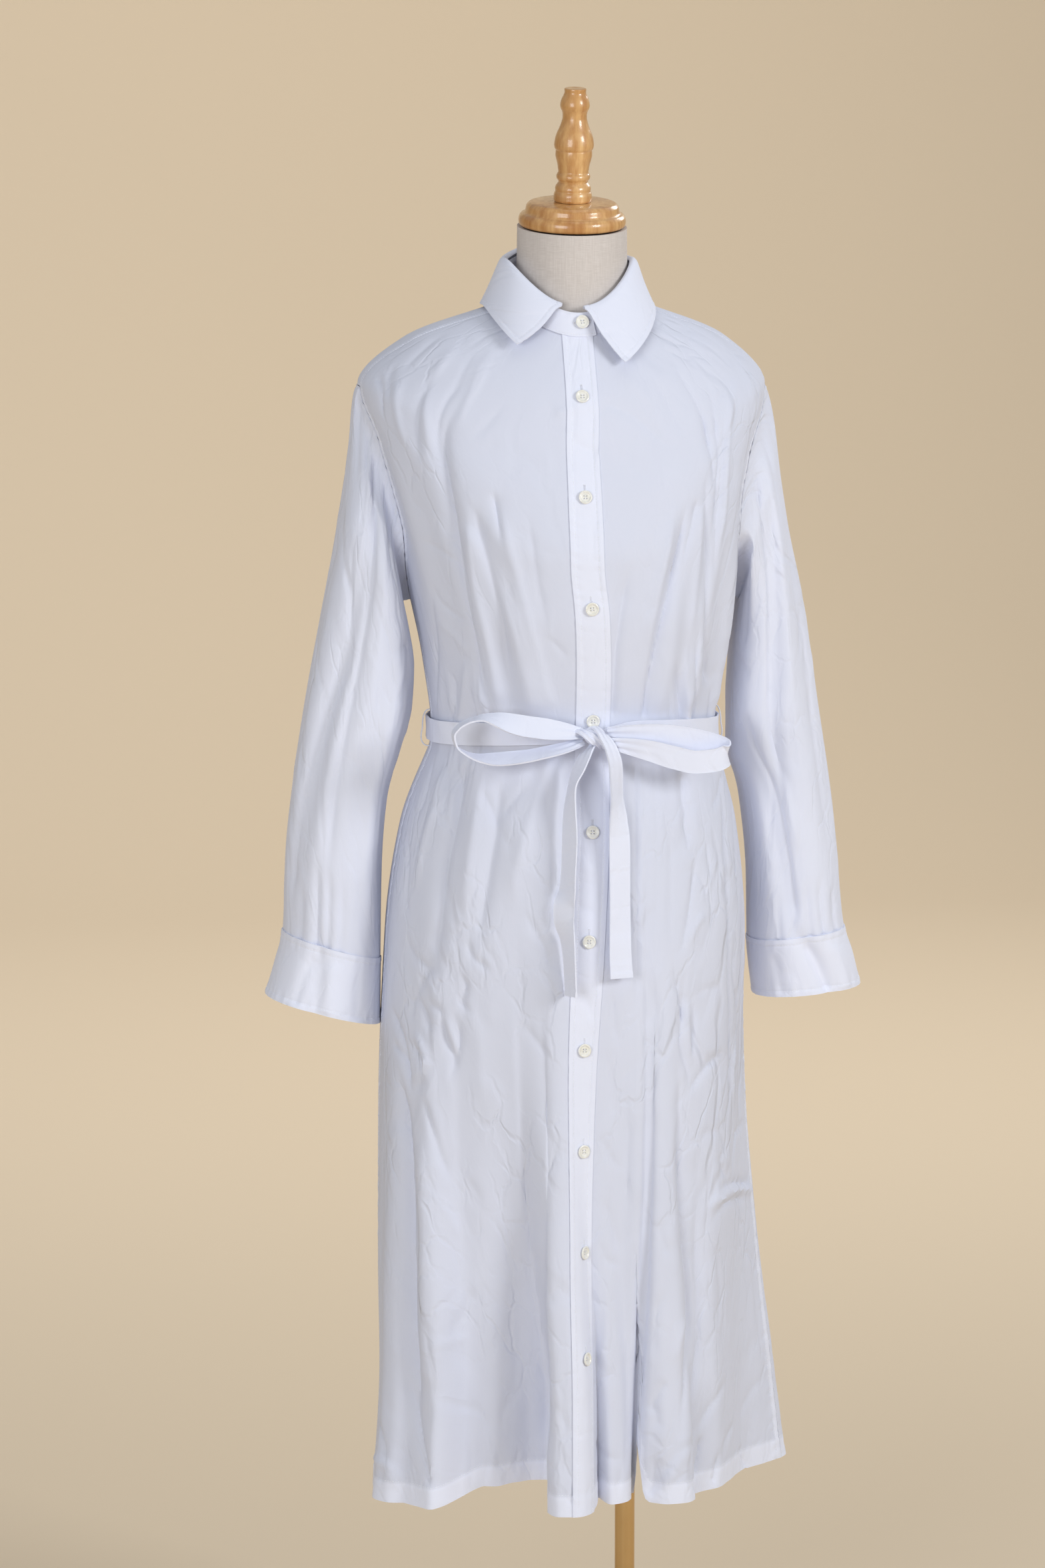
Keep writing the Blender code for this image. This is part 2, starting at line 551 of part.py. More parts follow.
# Sleeve folds: from ring to ring, place round the sleeve (0 outer, 0.25 front, 0.5 inner), width, rise.
SLEEVE_FOLDS = {
    "right": (
        ("long_crease",   0.6, 7.6, 0.20, 0.11, 0.011, -0.0050),
        ("outer_ridge",   1.5, 8.0, 0.10, 0.05, 0.012, 0.0030),
        ("inner_ridge",   2.5, 8.0, 0.33, 0.37, 0.014, 0.0035),
        ("inner_crease",  3.0, 8.0, 0.42, 0.43, 0.010, -0.0040),
        ("back_crease",   1.0, 8.0, 0.72, 0.74, 0.014, -0.0050),
        ("back_ridge",    1.5, 8.0, 0.84, 0.86, 0.014, 0.0030),
        ("cuff_fold",     7.6, 10.0, 0.19, 0.21, 0.010, -0.0035),
    ),
    "left": (
        ("long_crease",   0.6, 6.6, 0.18, 0.30, 0.012, -0.0050),
        ("inner_ridge",   2.0, 8.0, 0.38, 0.36, 0.012, 0.0035),
        ("low_crease",    4.5, 8.4, 0.40, 0.27, 0.010, -0.0040),
        ("outer_ridge",   2.5, 8.0, 0.08, 0.07, 0.014, 0.0025),
        ("back_crease",   1.0, 8.0, 0.70, 0.73, 0.014, -0.0050),
        ("back_ridge",    1.5, 8.0, 0.85, 0.83, 0.014, 0.0030),
        ("cuff_fold",     7.7, 10.0, 0.26, 0.20, 0.011, -0.0045),
    ),
}


def armhole(side):
    """Armhole seam on the body in 120 steps from the shoulder to the front, and the way out of it."""
    sign = -1.0 if side == "right" else 1.0
    v = np.array(ROWS[ROWS.index(2):ROWS.index(5) + 1], float)
    halves = []
    for edge in ("cut_", "back_"):
        q = np.concatenate([[1.0], guide(edge + side, v)])
        w = np.concatenate([[2.0], v])
        n = body_normals(sign * q, w)
        p = body(sign * q, w) + n * (WALL + LAY)
        step = np.linalg.norm(np.diff(p, axis=0), axis=1)
        far = np.concatenate([[0], np.cumsum(step)]) / step.sum()
        CORNERS[side, edge] = far / 2
        even = np.linspace(0, 1, 61)
        both = np.concatenate([p, n], axis=1)
        halves.append(np.stack([np.interp(even, far, both[:, k]) for k in range(6)], axis=-1))
    loop = np.concatenate([halves[0], halves[1][-2:0:-1]])
    p = loop[:, :3]
    n = loop[:, 3:]
    along = np.roll(p, -1, 0) - np.roll(p, 1, 0)
    into = np.cross(n, along)
    into /= np.linalg.norm(into, axis=1, keepdims=True)
    into *= np.sign(np.sum(into * (p.mean(axis=0) - p), axis=1, keepdims=True))
    a = np.minimum(np.arange(120), 120 - np.arange(120)) / 120.0
    open_out = np.radians(PEEL_TOP + (PEEL_FOOT - PEEL_TOP) * smooth(0.24, 0.46, a))[:, None]
    for i in range(6):
        into = (np.roll(into, 1, 0) + 2 * into + np.roll(into, -1, 0)) / 4
    return p, into * np.cos(open_out) + n * np.sin(open_out)


ARMHOLES = {}
CORNERS = {}           # places round the armhole where the rows of the body end on it
PEEL_TOP = 22.0        # degrees the sleeve lifts off the body's own surface at its head
PEEL_FOOT = 88.0       # and at the underarm
PEEL_LENGTH = 0.022


def sleeve_ring(side, a, s):
    """Plain sleeve ring before it meets the armhole; a in 0 to 1 round it."""
    table = SLEEVE_RIGHT if side == "right" else SLEEVE_LEFT
    x_out, z_out, x_in, z_in, y_mid, front, back = (
        column(table, SLEEVE_COLUMNS, name, s) for name in SLEEVE_COLUMNS)
    c = np.cos(2 * math.pi * a)
    d = np.sin(2 * math.pi * a)
    m = 2.25
    size = (np.abs(c) ** m + np.abs(d) ** m) ** (-1 / m)
    x = (x_out + x_in) / 2 + (x_out - x_in) / 2 * c * size
    z = (z_out + z_in) / 2 + (z_out - z_in) / 2 * c * size
    y = y_mid - np.where(d > 0, front, back) * d * size
    return np.stack([x, y, z], axis=-1)


def sleeve(side, a, s):
    """Outer face of a sleeve and its cuff, from the armhole at s = 0."""
    a = np.asarray(a, float)
    s = np.asarray(s, float)
    place = (a % 1.0) * 120
    i = np.floor(place).astype(int) % 120
    f = (place - np.floor(place))[..., None]
    start, way = (w[i] * (1 - f) + w[(i + 1) % 120] * f for w in ARMHOLES[side])
    base = sleeve_ring(side, a, s)
    left = (start - sleeve_ring(side, a, 0 * s)) * (1 - smooth(0.0, 2.6, s))[..., None]
    leave = smooth(0.0, 1.3, s)[..., None]
    p = (base + left) * leave + (start + way * (PEEL_LENGTH * s)[..., None]) * (1 - leave)
    out = base - sleeve_ring(side, a + 0.5, s)
    out = out / np.linalg.norm(out, axis=-1, keepdims=True)
    high = np.zeros(np.broadcast(a, s).shape)
    for name, s_top, s_low, a_top, a_low, wide, height in SLEEVE_FOLDS[side]:
        t = (s - s_top) / (s_low - s_top)
        fade = smooth(0.0, 0.25, t)
        if s_low < CUFF_END:
            fade = fade * smooth(1.0, 0.75, t)
        centre = a_top + (a_low - a_top) * np.clip(t, 0, 1)
        d = ((a - centre + 0.5) % 1.0 - 0.5) * 0.36 / wide
        high = high + height * fade * np.exp(-d * d)
    return p + out * high[..., None]


def sleeve_columns(side):
    """Columns of a sleeve: at each corner of the armhole and half way between."""
    front = CORNERS[side, "cut_"]
    back = 1.0 - CORNERS[side, "back_"][::-1]
    at = np.concatenate([front, back[1:]])
    return np.stack([at[:-1], (at[:-1] + at[1:]) / 2], axis=-1).ravel()


def make_sleeves():
    for side, flip in (("right", -1.0), ("left", 1.0)):
        ARMHOLES[side] = armhole(side)
        surface = lambda a, s: sleeve(side, a, s)
        columns = sleeve_columns(side)
        a, s = np.meshgrid(columns, SLEEVE_ROWS, indexing="ij")
        sheet("sleeve_" + side, surface, a, s, flip, -WALL, 0.0, True, side == "left")
        a, s = np.meshgrid(columns, CUFF_ROWS, indexing="ij")
        sheet("cuff_" + side, surface, a, s, flip, -WALL, DOUBLE - WALL, True, side == "left")


# ---------------------------------------------------------------- collar
COLLAR = (
    ("foot",      1.3730, 1.4040, 1.4145, -0.0010, -0.0655, 0.000, 0.0615, 0.0635, 2.0),
    ("top",       1.3950, 1.4375, 1.4510, -0.0035, -0.0600, 0.000, 0.0570, 0.0580, 2.0),
    ("crest_in",  1.3980, 1.4403, 1.4540, -0.0035, -0.0600, 0.000, 0.0570, 0.0580, 2.0),
    ("crest",     1.3992, 1.4422, 1.4556, -0.0035, -0.0623, 0.000, 0.0593, 0.0600, 2.0),
    ("crest_out", 1.3975, 1.4403, 1.4535, -0.0035, -0.0648, 0.000, 0.0618, 0.0622, 2.0),
    ("leaf",      1.3700, 1.4200, 1.4300, -0.0040, -0.0790, 0.001, 0.0720, 0.0700, 2.2),
    ("edge",      1.3350, 1.4000, 1.4000, -0.0040, -0.0950, 0.003, 0.0850, 0.0785, 2.4),
)
STAND_LAP = 0.13       # each end of the stand passes centre front by this, quarter turns
LEAF_ENDS = ((-0.167, -0.490), (0.054, 0.320))   # right and left front edge: at the fold, at the tip


def collar(q, k):
    """Collar surface: q quarter turns from centre front, k row of the collar table."""
    return table_ring(COLLAR, q, k)


def make_collar():
    # stand: from its under end at the right of centre, round the back, to its over end
    w = np.linspace(-STAND_LAP, 4 + STAND_LAP, 29)
    u, k = np.meshgrid(w, np.array([0.0, 0.5, 1.0]), indexing="ij")
    over = 0.0024 * smooth(3.3, 3.9, u)
    sheet("collar_stand", collar, u, k, -1.0, over - DOUBLE, over, False)
    rows = np.array([2.0, 3.0, 3.7, 4.4, 5.2, 6.0])
    f = np.linspace(0, 1, 27)
    f, k = np.meshgrid(f, rows, indexing="ij")
    t = np.clip((k - 4.0) / 2.0, 0, 1)
    start = LEAF_ENDS[1][0] + (LEAF_ENDS[1][1] - LEAF_ENDS[1][0]) * t
    end = 4 + LEAF_ENDS[0][0] + (LEAF_ENDS[0][1] - LEAF_ENDS[0][0]) * t
    sheet("collar_leaf", collar, start + (end - start) * f, k, -1.0, 0.0, DOUBLE, False)


# ---------------------------------------------------------------- belt
BELT_OUT = 0.0042      # inner face of the belt over the base ring
BELT_DRAWN = 0.60      # share of its width lost where the knot gathers it
BELT_DIP = 0.0030      # and how far its middle drops there
KNOT_AT = (0.0010, -0.1313, 1.0135)
KNOT_RADII = (0.0115, 0.0080, 0.0095)


def belt_surface(q, h):
    """Belt face on the waist ring; h metres above its middle. The knot draws it in."""
    p = table_ring(LEVELS, q, 8.0 + 0 * q)
    drawn = np.exp(-(q / 0.12) ** 2)
    p[..., 2] += h * (1 - BELT_DRAWN * drawn) - BELT_DIP * drawn
    return p


# Ribbons of the bow: points of the middle line, lean of the width in degrees, share of the width.
BOW_LOOP_RIGHT = (
    (-0.0103, -0.1325, 1.0160, -58, 0.50),
    (-0.0290, -0.1395, 1.0195, -60, 0.82),
    (-0.0490, -0.1420, 1.0226, -60, 1.00),
    (-0.0645, -0.1415, 1.0249, -60, 1.00),
    (-0.0770, -0.1405, 1.0276, -52, 1.00),
    (-0.0895, -0.1390, 1.0310, -32, 1.00),
    (-0.1014, -0.1370, 1.0330, -10, 1.00),
    (-0.1130, -0.1345, 1.0305,   0, 1.00),
    (-0.1240, -0.1320, 1.0245,   0, 1.00),
    (-0.1290, -0.1305, 1.0165,   0, 1.00),
    (-0.1270, -0.1305, 1.0075,   0, 1.00),
    (-0.1185, -0.1320, 1.0005,   4, 1.00),
    (-0.1060, -0.1345, 0.9960,  12, 1.00),
    (-0.0920, -0.1370, 0.9948,  24, 1.00),
    (-0.0780, -0.1395, 0.9958,  26, 1.00),
    (-0.0630, -0.1410, 0.9975,  22, 1.00),
    (-0.0480, -0.1415, 1.0004,  20, 1.00),
    (-0.0310, -0.1400, 1.0040,  24, 0.82),
    (-0.0106, -0.1335, 1.0095,  34, 0.45),
)
BOW_LOOP_LEFT = (
    (0.0125, -0.1325, 1.0160,   4, 0.50),
    (0.0310, -0.1390, 1.0165,   4, 0.75),
    (0.0491, -0.1415, 1.0158,   4, 0.90),
    (0.0722, -0.1410, 1.0131,   4, 1.00),
    (0.0916, -0.1395, 1.0095,   4, 1.00),
    (0.1080, -0.1385, 1.0050,   4, 1.00),
    (0.1185, -0.1400, 1.0005,   4, 1.00),
    (0.1215, -0.1440, 0.9965,   2, 1.00),
    (0.1165, -0.1480, 0.9935,   0, 1.00),
    (0.1060, -0.1500, 0.9912,   0, 1.00),
    (0.0910, -0.1510, 0.9905,   0, 1.00),
    (0.0722, -0.1500, 0.9945,   0, 1.00),
    (0.0491, -0.1480, 1.0012,  -4, 0.90),
    (0.0330, -0.1440, 1.0045,  -6, 0.75),
    (0.0130, -0.1365, 1.0075,  -8, 0.45),
)
TAIL_RIGHT = (
    (-0.0040, -0.1322, 1.0046, 40, 0.50),
    (-0.0110, -0.1440, 0.9860, 52, 0.85),
    (-0.0165, -0.1530, 0.9650, 66, 1.00),
    (-0.0180, -0.1590, 0.9200, 76, 1.00),
    (-0.0200, -0.1650, 0.8750, 78, 1.00),
    (-0.0230, -0.1690, 0.8350, 64, 1.00),
    (-0.0200, -0.1710, 0.8050, 58, 1.00),
    (-0.0140, -0.1740, 0.7780, 50, 1.00),
)
TAIL_LEFT = (
    (0.0062, -0.1325, 1.0040, -25, 0.50),
    (0.0170, -0.1440, 0.9850, -24, 0.90),
    (0.0250, -0.1500, 0.9660, -20, 1.00),
    (0.0290, -0.1580, 0.9350, 30, 1.00),
    (0.0280, -0.1590, 0.8900, 0, 1.00),
    (0.0280, -0.1620, 0.8450, -4, 1.00),
    (0.0290, -0.1660, 0.8150, -6, 1.00),
    (0.0300, -0.1700, 0.7860, -6, 1.00),
)


def ribbon(name, rows, axis, count, wide, wall):
    """Strip of cloth along a smooth line; lean turns its width about the line from axis."""
    t = np.linspace(0, len(rows) - 1, count)
    x, y, z, lean, share = (curve([row[k] for row in rows], t) for k in range(5))
    p = np.stack([x, y, z], axis=-1)
    along = np.gradient(p, axis=0)
    along /= np.linalg.norm(along, axis=1, keepdims=True)
    ref = np.array(axis) - along * (along @ np.array(axis))[:, None]
    ref /= np.linalg.norm(ref, axis=1, keepdims=True)
    side = np.cross(along, ref)
    angle = np.radians(lean)[:, None]
    w = ref * np.cos(angle) + side * np.sin(angle)
    n = np.cross(w, along)
    across = np.linspace(-0.5, 0.5, 3)
    mid = p[:, None, :] + (w * wide * share[:, None])[:, None, :] * across[None, :, None]
    n = n[:, None, :]
    return shell(name, mid - n * wall / 2, mid + n * wall / 2)


def make_belt():
    q = np.linspace(-2, 2, 49)[:-1]
    u, h = np.meshgrid(q, np.array([-BELT_WIDE / 2, BELT_WIDE / 2]), indexing="ij")
    p = belt_surface(u, h)
    n = np.zeros_like(p)
    flat = np.roll(p, -1, 0) - np.roll(p, 1, 0)
    n[..., 0] = flat[..., 1]
    n[..., 1] = -flat[..., 0]
    n /= np.linalg.norm(n, axis=-1, keepdims=True)
    inner = p + n * BELT_OUT
    outer = p + n * (BELT_OUT + DOUBLE)
    shell("belt", inner[:, ::-1], outer[:, ::-1], True)
    ribbon("bow_loop_right", BOW_LOOP_RIGHT, (0, 1, 0), 25, BELT_WIDE, WALL)
    ribbon("bow_loop_left", BOW_LOOP_LEFT, (0, 0, 1), 27, BELT_WIDE, WALL)
    ribbon("tail_right", TAIL_RIGHT, (1, 0, 0), 17, BELT_WIDE, WALL)
    ribbon("tail_left", TAIL_LEFT, (1, 0, 0), 17, BELT_WIDE, WALL)
    # knot: a folded bundle of the strip, rounded and drawn in at its middle
    rows = np.linspace(0, math.pi, 9)
    turns = np.arange(18) * 2 * math.pi / 18
    points = [(0.0, 0.0, 0.0)]
    for r in rows[1:-1]:
        for a in turns:
            fat = 1 - 0.14 * math.exp(-((math.cos(r)) / 0.25) ** 2)
            points.append((math.cos(r), math.sin(r) * math.cos(a) * fat, math.sin(r) * math.sin(a)))
    points[0] = (1.0, 0.0, 0.0)
    points.append((-1.0, 0.0, 0.0))
    faces = []
    for a in range(18):
        b = (a + 1) % 18
        faces.append((0, 1 + a, 1 + b))
        for r in range(6):
            faces.append((1 + r * 18 + a, 1 + (r + 1) * 18 + a, 1 + (r + 1) * 18 + b, 1 + r * 18 + b))
        faces.append((len(points) - 1, 1 + 6 * 18 + b, 1 + 6 * 18 + a))
    points = np.array(points) * KNOT_RADII
    lean = math.radians(-18)
    x = points[:, 0] * math.cos(lean) - points[:, 2] * math.sin(lean)
    z = points[:, 0] * math.sin(lean) + points[:, 2] * math.cos(lean)
    points = np.stack([x, points[:, 1], z], axis=-1) + KNOT_AT + (TORSO_X, 0.0, 0.0)
    piece("belt_knot", points, faces)


LOOP_OUT = 0.0100
LOOP_HALF = 0.0170


def make_belt_loops():
    """Thread carriers over the belt at the side seams."""
    for side, sign in (("right", -1.0), ("left", 1.0)):
        a = np.linspace(0, math.pi, 11)
        wide = 0.0032
        z = WAIST_Z + LOOP_HALF * np.cos(a)
        v = np.interp(-z, -level("z_side", np.linspace(6, 10, 401)), np.linspace(6, 10, 401))
        base = body(sign + 0 * v, v)
        x = base[:, 0] + sign * (RAISED + 0.0006 + LOOP_OUT * np.sin(a) ** 0.8)
        x = x + sign * 0.0040 * np.clip((WAIST_Z - z) / LOOP_HALF, 0, 1) * np.sin(a)
        line = np.stack([x, base[:, 1], z], axis=-1)
        along = np.gradient(line, axis=0)
        along /= np.linalg.norm(along, axis=1, keepdims=True)
        out = np.cross(along, (0, sign, 0))
        across = np.array([-wide / 2, wide / 2])
        mid = line[:, None, :] + np.array([0.0, 1.0, 0.0]) * across[None, :, None]
        low = mid - out[:, None, :] * 0.0006
        high = mid + out[:, None, :] * 0.0006
        if sign > 0:
            low, high = low[:, ::-1], high[:, ::-1]
        shell("belt_loop_" + side, low, high)


# ---------------------------------------------------------------- buttons
# Placket buttons: height, and place across the placket from its right edge.
BUTTONS = (
    (1.3195, 0.50), (1.2305, 0.50), (1.1305, 0.50), (1.0257, 0.50), (0.9260, 0.50), (0.8270, 0.50),
    (0.7275, 0.52), (0.6340, 0.55), (0.5400, 0.58), (0.4430, 0.60),
)


def make_button(name, centre, out, up):
    """Four-hole button with a raised rim: turned disc, holes in every third sector."""
    out = out / np.linalg.norm(out)
    up = up - out * (up @ out)
    up /= np.linalg.norm(up)
    side = np.cross(up, out)
    n = 12
    radii_top = ((1.0, 1.0), (0.74, 0.62), (0.42, 0.62), (0.14, 0.62))
    radii_low = ((0.94, 0.0), (0.42, 0.0), (0.14, 0.0))
    points = []
    for share, tall in radii_top + radii_low:
        for i in range(n):
            a = 2 * math.pi * (i + 0.5) / n
            points.append(centre + BUTTON_R * share * (side * math.cos(a) + up * math.sin(a))
                          + out * BUTTON_THICK * tall)
    top, low = len(points), len(points) + 1
    points.append(centre + out * BUTTON_THICK * 0.62)
    points.append(centre)
    faces = []
    for i in range(n):
        j = (i + 1) % n
        hole = i % 3 == 0
        for ring in (0, 1, 2):
            if ring == 2 and hole:
                continue
            a, b = ring * n, (ring + 1) * n
            faces.append((a + i, a + j, b + j, b + i))
        faces.append((3 * n + i, 3 * n + j, top))
        a, b, c = 4 * n, 5 * n, 6 * n
        faces.append((a + j, a + i, b + i, b + j))
        if not hole:
            faces.append((b + j, b + i, c + i, c + j))
        faces.append((c + j, c + i, low))
        faces.append((a + i, a + j, j, i))
        if hole:
            o, p = 2 * n, 3 * n
            for g, h in (((o + i), (o + j)), ((o + j), (p + j)), ((p + j), (p + i)), ((p + i), (o + i))):
                under = {o + i: b + i, o + j: b + j, p + i: c + i, p + j: c + j}
                faces.append((g, h, under[h], under[g]))
    piece(name, np.array(points) + (TORSO_X, 0.0, 0.0), faces)


def placket_point(across, v):
    """Point of the placket's under face between its rows and columns."""
    rows = np.array(ROWS, float)
    strip = np.array((0.0,) + STRIP)
    i = int(np.clip(np.searchsorted(rows, v) - 1, 0, len(rows) - 2))
    k = int(np.clip(np.searchsorted(strip, across) - 1, 0, len(strip) - 2))
    f = (v - rows[i]) / (rows[i + 1] - rows[i])
    g = (across - strip[k]) / (strip[k + 1] - strip[k])
    u, w = np.meshgrid(strip[k:k + 2], rows[i:i + 2], indexing="ij")
    p = body(strip_q(u, w), w)
    n = body_normals(strip_q(u, w), w)
    p = p + n * RAISED
    low = p[0] * (1 - g) + p[1] * g
    return low[0] * (1 - f) + low[1] * f


def make_buttons():
    fine = np.linspace(0, 15, 3001)
    for number, (height, across) in enumerate(BUTTONS):
        z = body(strip_q(across, fine), fine)[..., 2]
        v = float(np.interp(-height, -z, fine))
        p = placket_point(across, v)
        up = placket_point(across, v - 0.08) - placket_point(across, v + 0.08)
        side = placket_point(across + 0.2, v) - placket_point(across - 0.2, v)
        out = np.cross(side, up)
        out /= np.linalg.norm(out)
        up /= np.linalg.norm(up)
        # the rim rests on the highest cloth under it
        du = np.linalg.norm(placket_point(across + 0.1, v) - p) / 0.1
        dv = np.linalg.norm(placket_point(across, v + 0.1) - p) / 0.1
        rest = 0.0
        for a in np.arange(12) * math.pi / 6:
            under = placket_point(across + BUTTON_R * math.cos(a) / du, v - BUTTON_R * math.sin(a) / dv)
            rest = max(rest, float((under - p) @ out))
        make_button("button_%02d" % (number + 1), p + out * (rest + WALL + LAY), out, up)
    p = collar(np.array(0.02), np.array(0.5))
    n = normals(collar, np.array(0.02), np.array(0.5), -1.0)
    up = collar(np.array(0.02), np.array(0.7)) - p
    make_button("button_collar", p + n * (0.0024 + LAY + 0.0004), n, up)


# ---------------------------------------------------------------- dress form and stand
# Torso rings, laid out as LEVELS.
FORM = (
    ("foot",      0.7900, 0.7900, 0.7900, 0.0, -0.1180, -0.014, 0.0920, 0.1420, 2.15),
    ("hips",      0.8500, 0.8500, 0.8500, 0.0, -0.1300, -0.014, 0.1040, 0.1500, 2.15),
    ("high_hip",  0.9300, 0.9300, 0.9300, 0.0, -0.1220, -0.010, 0.1000, 0.1410, 2.15),
    ("waist",     1.0080, 1.0080, 1.0080, 0.0, -0.1130, -0.006, 0.0925, 0.1275, 2.2),
    ("ribs",      1.0750, 1.0750, 1.0750, 0.0, -0.1245,  0.000, 0.0990, 0.1320, 2.2),
    ("bust",      1.1250, 1.1280, 1.1300, -0.002, -0.1330, 0.004, 0.1065, 0.1400, 2.2),
    ("armhole",   1.1700, 1.2050, 1.1950, -0.004, -0.1330, 0.012, 0.1150, 0.1500, 2.2),
    ("chest",     1.2190, 1.2740, 1.2490, -0.006, -0.1230, 0.020, 0.1170, 0.1650, 2.2),
    ("shoulder",  1.2680, 1.3170, 1.2970, -0.006, -0.1070, 0.025, 0.1130, 0.1720, 2.1),
    ("slope",     1.3099, 1.3693, 1.3592, -0.004, -0.0963, 0.017, 0.0992, 0.1482, 2.0),
    ("neck_base", 1.3665, 1.3985, 1.4090,  0.000, -0.0625, 0.000, 0.0585, 0.0605, 2.0),
    ("neck_low",  1.3850, 1.4100, 1.4200,  0.000, -0.0540, 0.001, 0.0540, 0.0560, 2.0),
    ("neck_mid",  1.4220, 1.4350, 1.4450,  0.000, -0.0512, 0.000, 0.0506, 0.0514, 2.0),
    ("neck_top",  1.4720, 1.4720, 1.4720,  0.000, -0.0512, 0.000, 0.0508, 0.0508, 2.0),
)
CAP_TILT = math.radians(8.5)
CAP_Z = 1.4725         # underside of the cap at its middle
# Turned profiles: radius and height above the underside of the cap.
CAP_PROFILE = ((0.0470, 0.0000), (0.0492, 0.0030), (0.0496, 0.0070), (0.0482, 0.0105), (0.0440, 0.0135),
               (0.0428, 0.0165), (0.0420, 0.0190), (0.0392, 0.0215), (0.0370, 0.0225))
FINIAL_PROFILE = ((0.0172, 0.0000), (0.0174, 0.0080), (0.0161, 0.0143), (0.0134, 0.0186), (0.0155, 0.0235),
                  (0.0142, 0.0278), (0.0143, 0.0304), (0.0167, 0.0400), (0.0167, 0.0470), (0.0181, 0.0545),
                  (0.0143, 0.0672), (0.0112, 0.0750), (0.0112, 0.0815), (0.0136, 0.0890), (0.0099, 0.0995),
                  (0.0102, 0.1040))
POLE_R = 0.0095
POLE_FOOT = 0.0140
BASE_PROFILE = ((0.1690, 0.0000), (0.1700, 0.0015), (0.1700, 0.0065), (0.1670, 0.0090), (0.0300, 0.0100),
                (0.0240, 0.0120), (0.0220, 0.0136))


def make_form():
    turn = np.arange(26) * 4.0 / 26
    rows = (0, 1, 2, 3, 4, 5, 6, 7, 8, 9, 9.5, 10, 11, 12, 13)
    rings = [table_ring(FORM, turn, k + 0 * turn) for k in rows]
    rings[-1][:, 2] = CAP_Z - SEAM + rings[-1][:, 1] * math.tan(CAP_TILT)
    points = list(np.concatenate(rings))
    count = len(turn)
    faces = []
    for r in range(len(rows) - 1):
        for i in range(count):
            j = (i + 1) % count
            faces.append((r * count + i, r * count + j, (r + 1) * count + j, (r + 1) * count + i))
    foot, top = len(points), len(points) + 1
    points.append(rings[0].mean(axis=0))
    points.append(rings[-1].mean(axis=0))
    last = (len(rows) - 1) * count
    for i in range(count):
        j = (i + 1) % count
        faces.append((foot, j, i))
        faces.append((top, last + i, last + j))
    piece("dress_form", np.array(points) + (TORSO_X, 0.0, 0.0), faces)


def turned(name, profile, count, foot, tilt=0.0, centre=(0.0, 0.0), lift=0.0):
    """Turned solid about an axis that leans forward by tilt."""
    points = []
    for radius, height in profile:
        for i in range(count):
            a = 2 * math.pi * i / count
            x, y, z = radius * math.cos(a), radius * math.sin(a), height + lift
            points.append((centre[0] + x, centre[1] + y * math.cos(tilt) - z * math.sin(tilt),
                           foot + y * math.sin(tilt) + z * math.cos(tilt)))
    faces = [tuple(range(count))[::-1]]
    for r in range(len(profile) - 1):
        for i in range(count):
            j = (i + 1) % count
            faces.append((r * count + i, r * count + j, (r + 1) * count + j, (r + 1) * count + i))
    faces.append(tuple((len(profile) - 1) * count + i for i in range(count)))
    return piece(name, points, faces)


def make_stand():
    turned("base_plate", BASE_PROFILE, 36, 0.0)
    pole_top = FORM[0][1] - SEAM
    turned("pole", ((POLE_R, 0.0), (POLE_R, pole_top - POLE_FOOT)), 20, POLE_FOOT)
    turned("neck_cap", CAP_PROFILE, 28, CAP_Z, CAP_TILT, (TORSO_X, 0.0))
    turned("finial", FINIAL_PROFILE, 16, CAP_Z, CAP_TILT, (TORSO_X, 0.0), CAP_PROFILE[-1][1] + SEAM)


make_body()
make_sleeves()
make_collar()
make_belt()
make_belt_loops()
make_buttons()
make_form()
make_stand()
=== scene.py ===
"""Shirt dress on a limbless dress form: the looks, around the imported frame.

Metres, in the frame's own axes: Z up, the front faces -Y, the pole stands on the origin.
Right and left are the wearer's, so right is -X. The garment's surface is worked out as in the
part, with a shallower front fold and finer tables for hem and bow. This script adds small
folds, seams, thread, finishes, light and camera.
"""

import math

import bpy
import numpy as np
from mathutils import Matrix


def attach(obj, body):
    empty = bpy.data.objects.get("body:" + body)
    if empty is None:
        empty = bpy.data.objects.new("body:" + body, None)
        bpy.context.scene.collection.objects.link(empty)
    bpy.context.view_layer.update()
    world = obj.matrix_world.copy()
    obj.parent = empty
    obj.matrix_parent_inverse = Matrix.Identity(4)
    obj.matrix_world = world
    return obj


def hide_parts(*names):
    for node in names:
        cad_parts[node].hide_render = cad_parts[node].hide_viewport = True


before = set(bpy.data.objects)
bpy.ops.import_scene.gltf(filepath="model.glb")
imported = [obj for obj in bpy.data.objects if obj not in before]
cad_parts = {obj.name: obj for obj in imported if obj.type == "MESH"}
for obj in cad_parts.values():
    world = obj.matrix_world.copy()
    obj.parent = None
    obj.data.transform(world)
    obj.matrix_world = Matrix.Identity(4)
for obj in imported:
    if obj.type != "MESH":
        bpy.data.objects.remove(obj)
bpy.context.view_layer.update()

# ---------------------------------------------------------------- camera, floor and light
CAMERA_FAR = 4.60          # from the torso axis
CAMERA_HIGH = 1.600
CAMERA_TURN = -9.0         # degrees to the wearer's right of straight ahead
CAMERA_ASIDE = 0.57        # degrees it looks past the torso, to its left
CAMERA_DOWN = 8.03
PHOTO_SIDE = 36.0          # millimetres of sensor for the picture's height
LENS = 113.5
TORSO_X = -0.0530          # torso axis, off the pole
FLOOR_REACH = 24.0         # floor to the sides and the front
WALL_BACK = 7.5            # backdrop behind the pole
WALL_HIGH = 6.0
SWEEP = 2.6                # radius of the bend from floor to backdrop
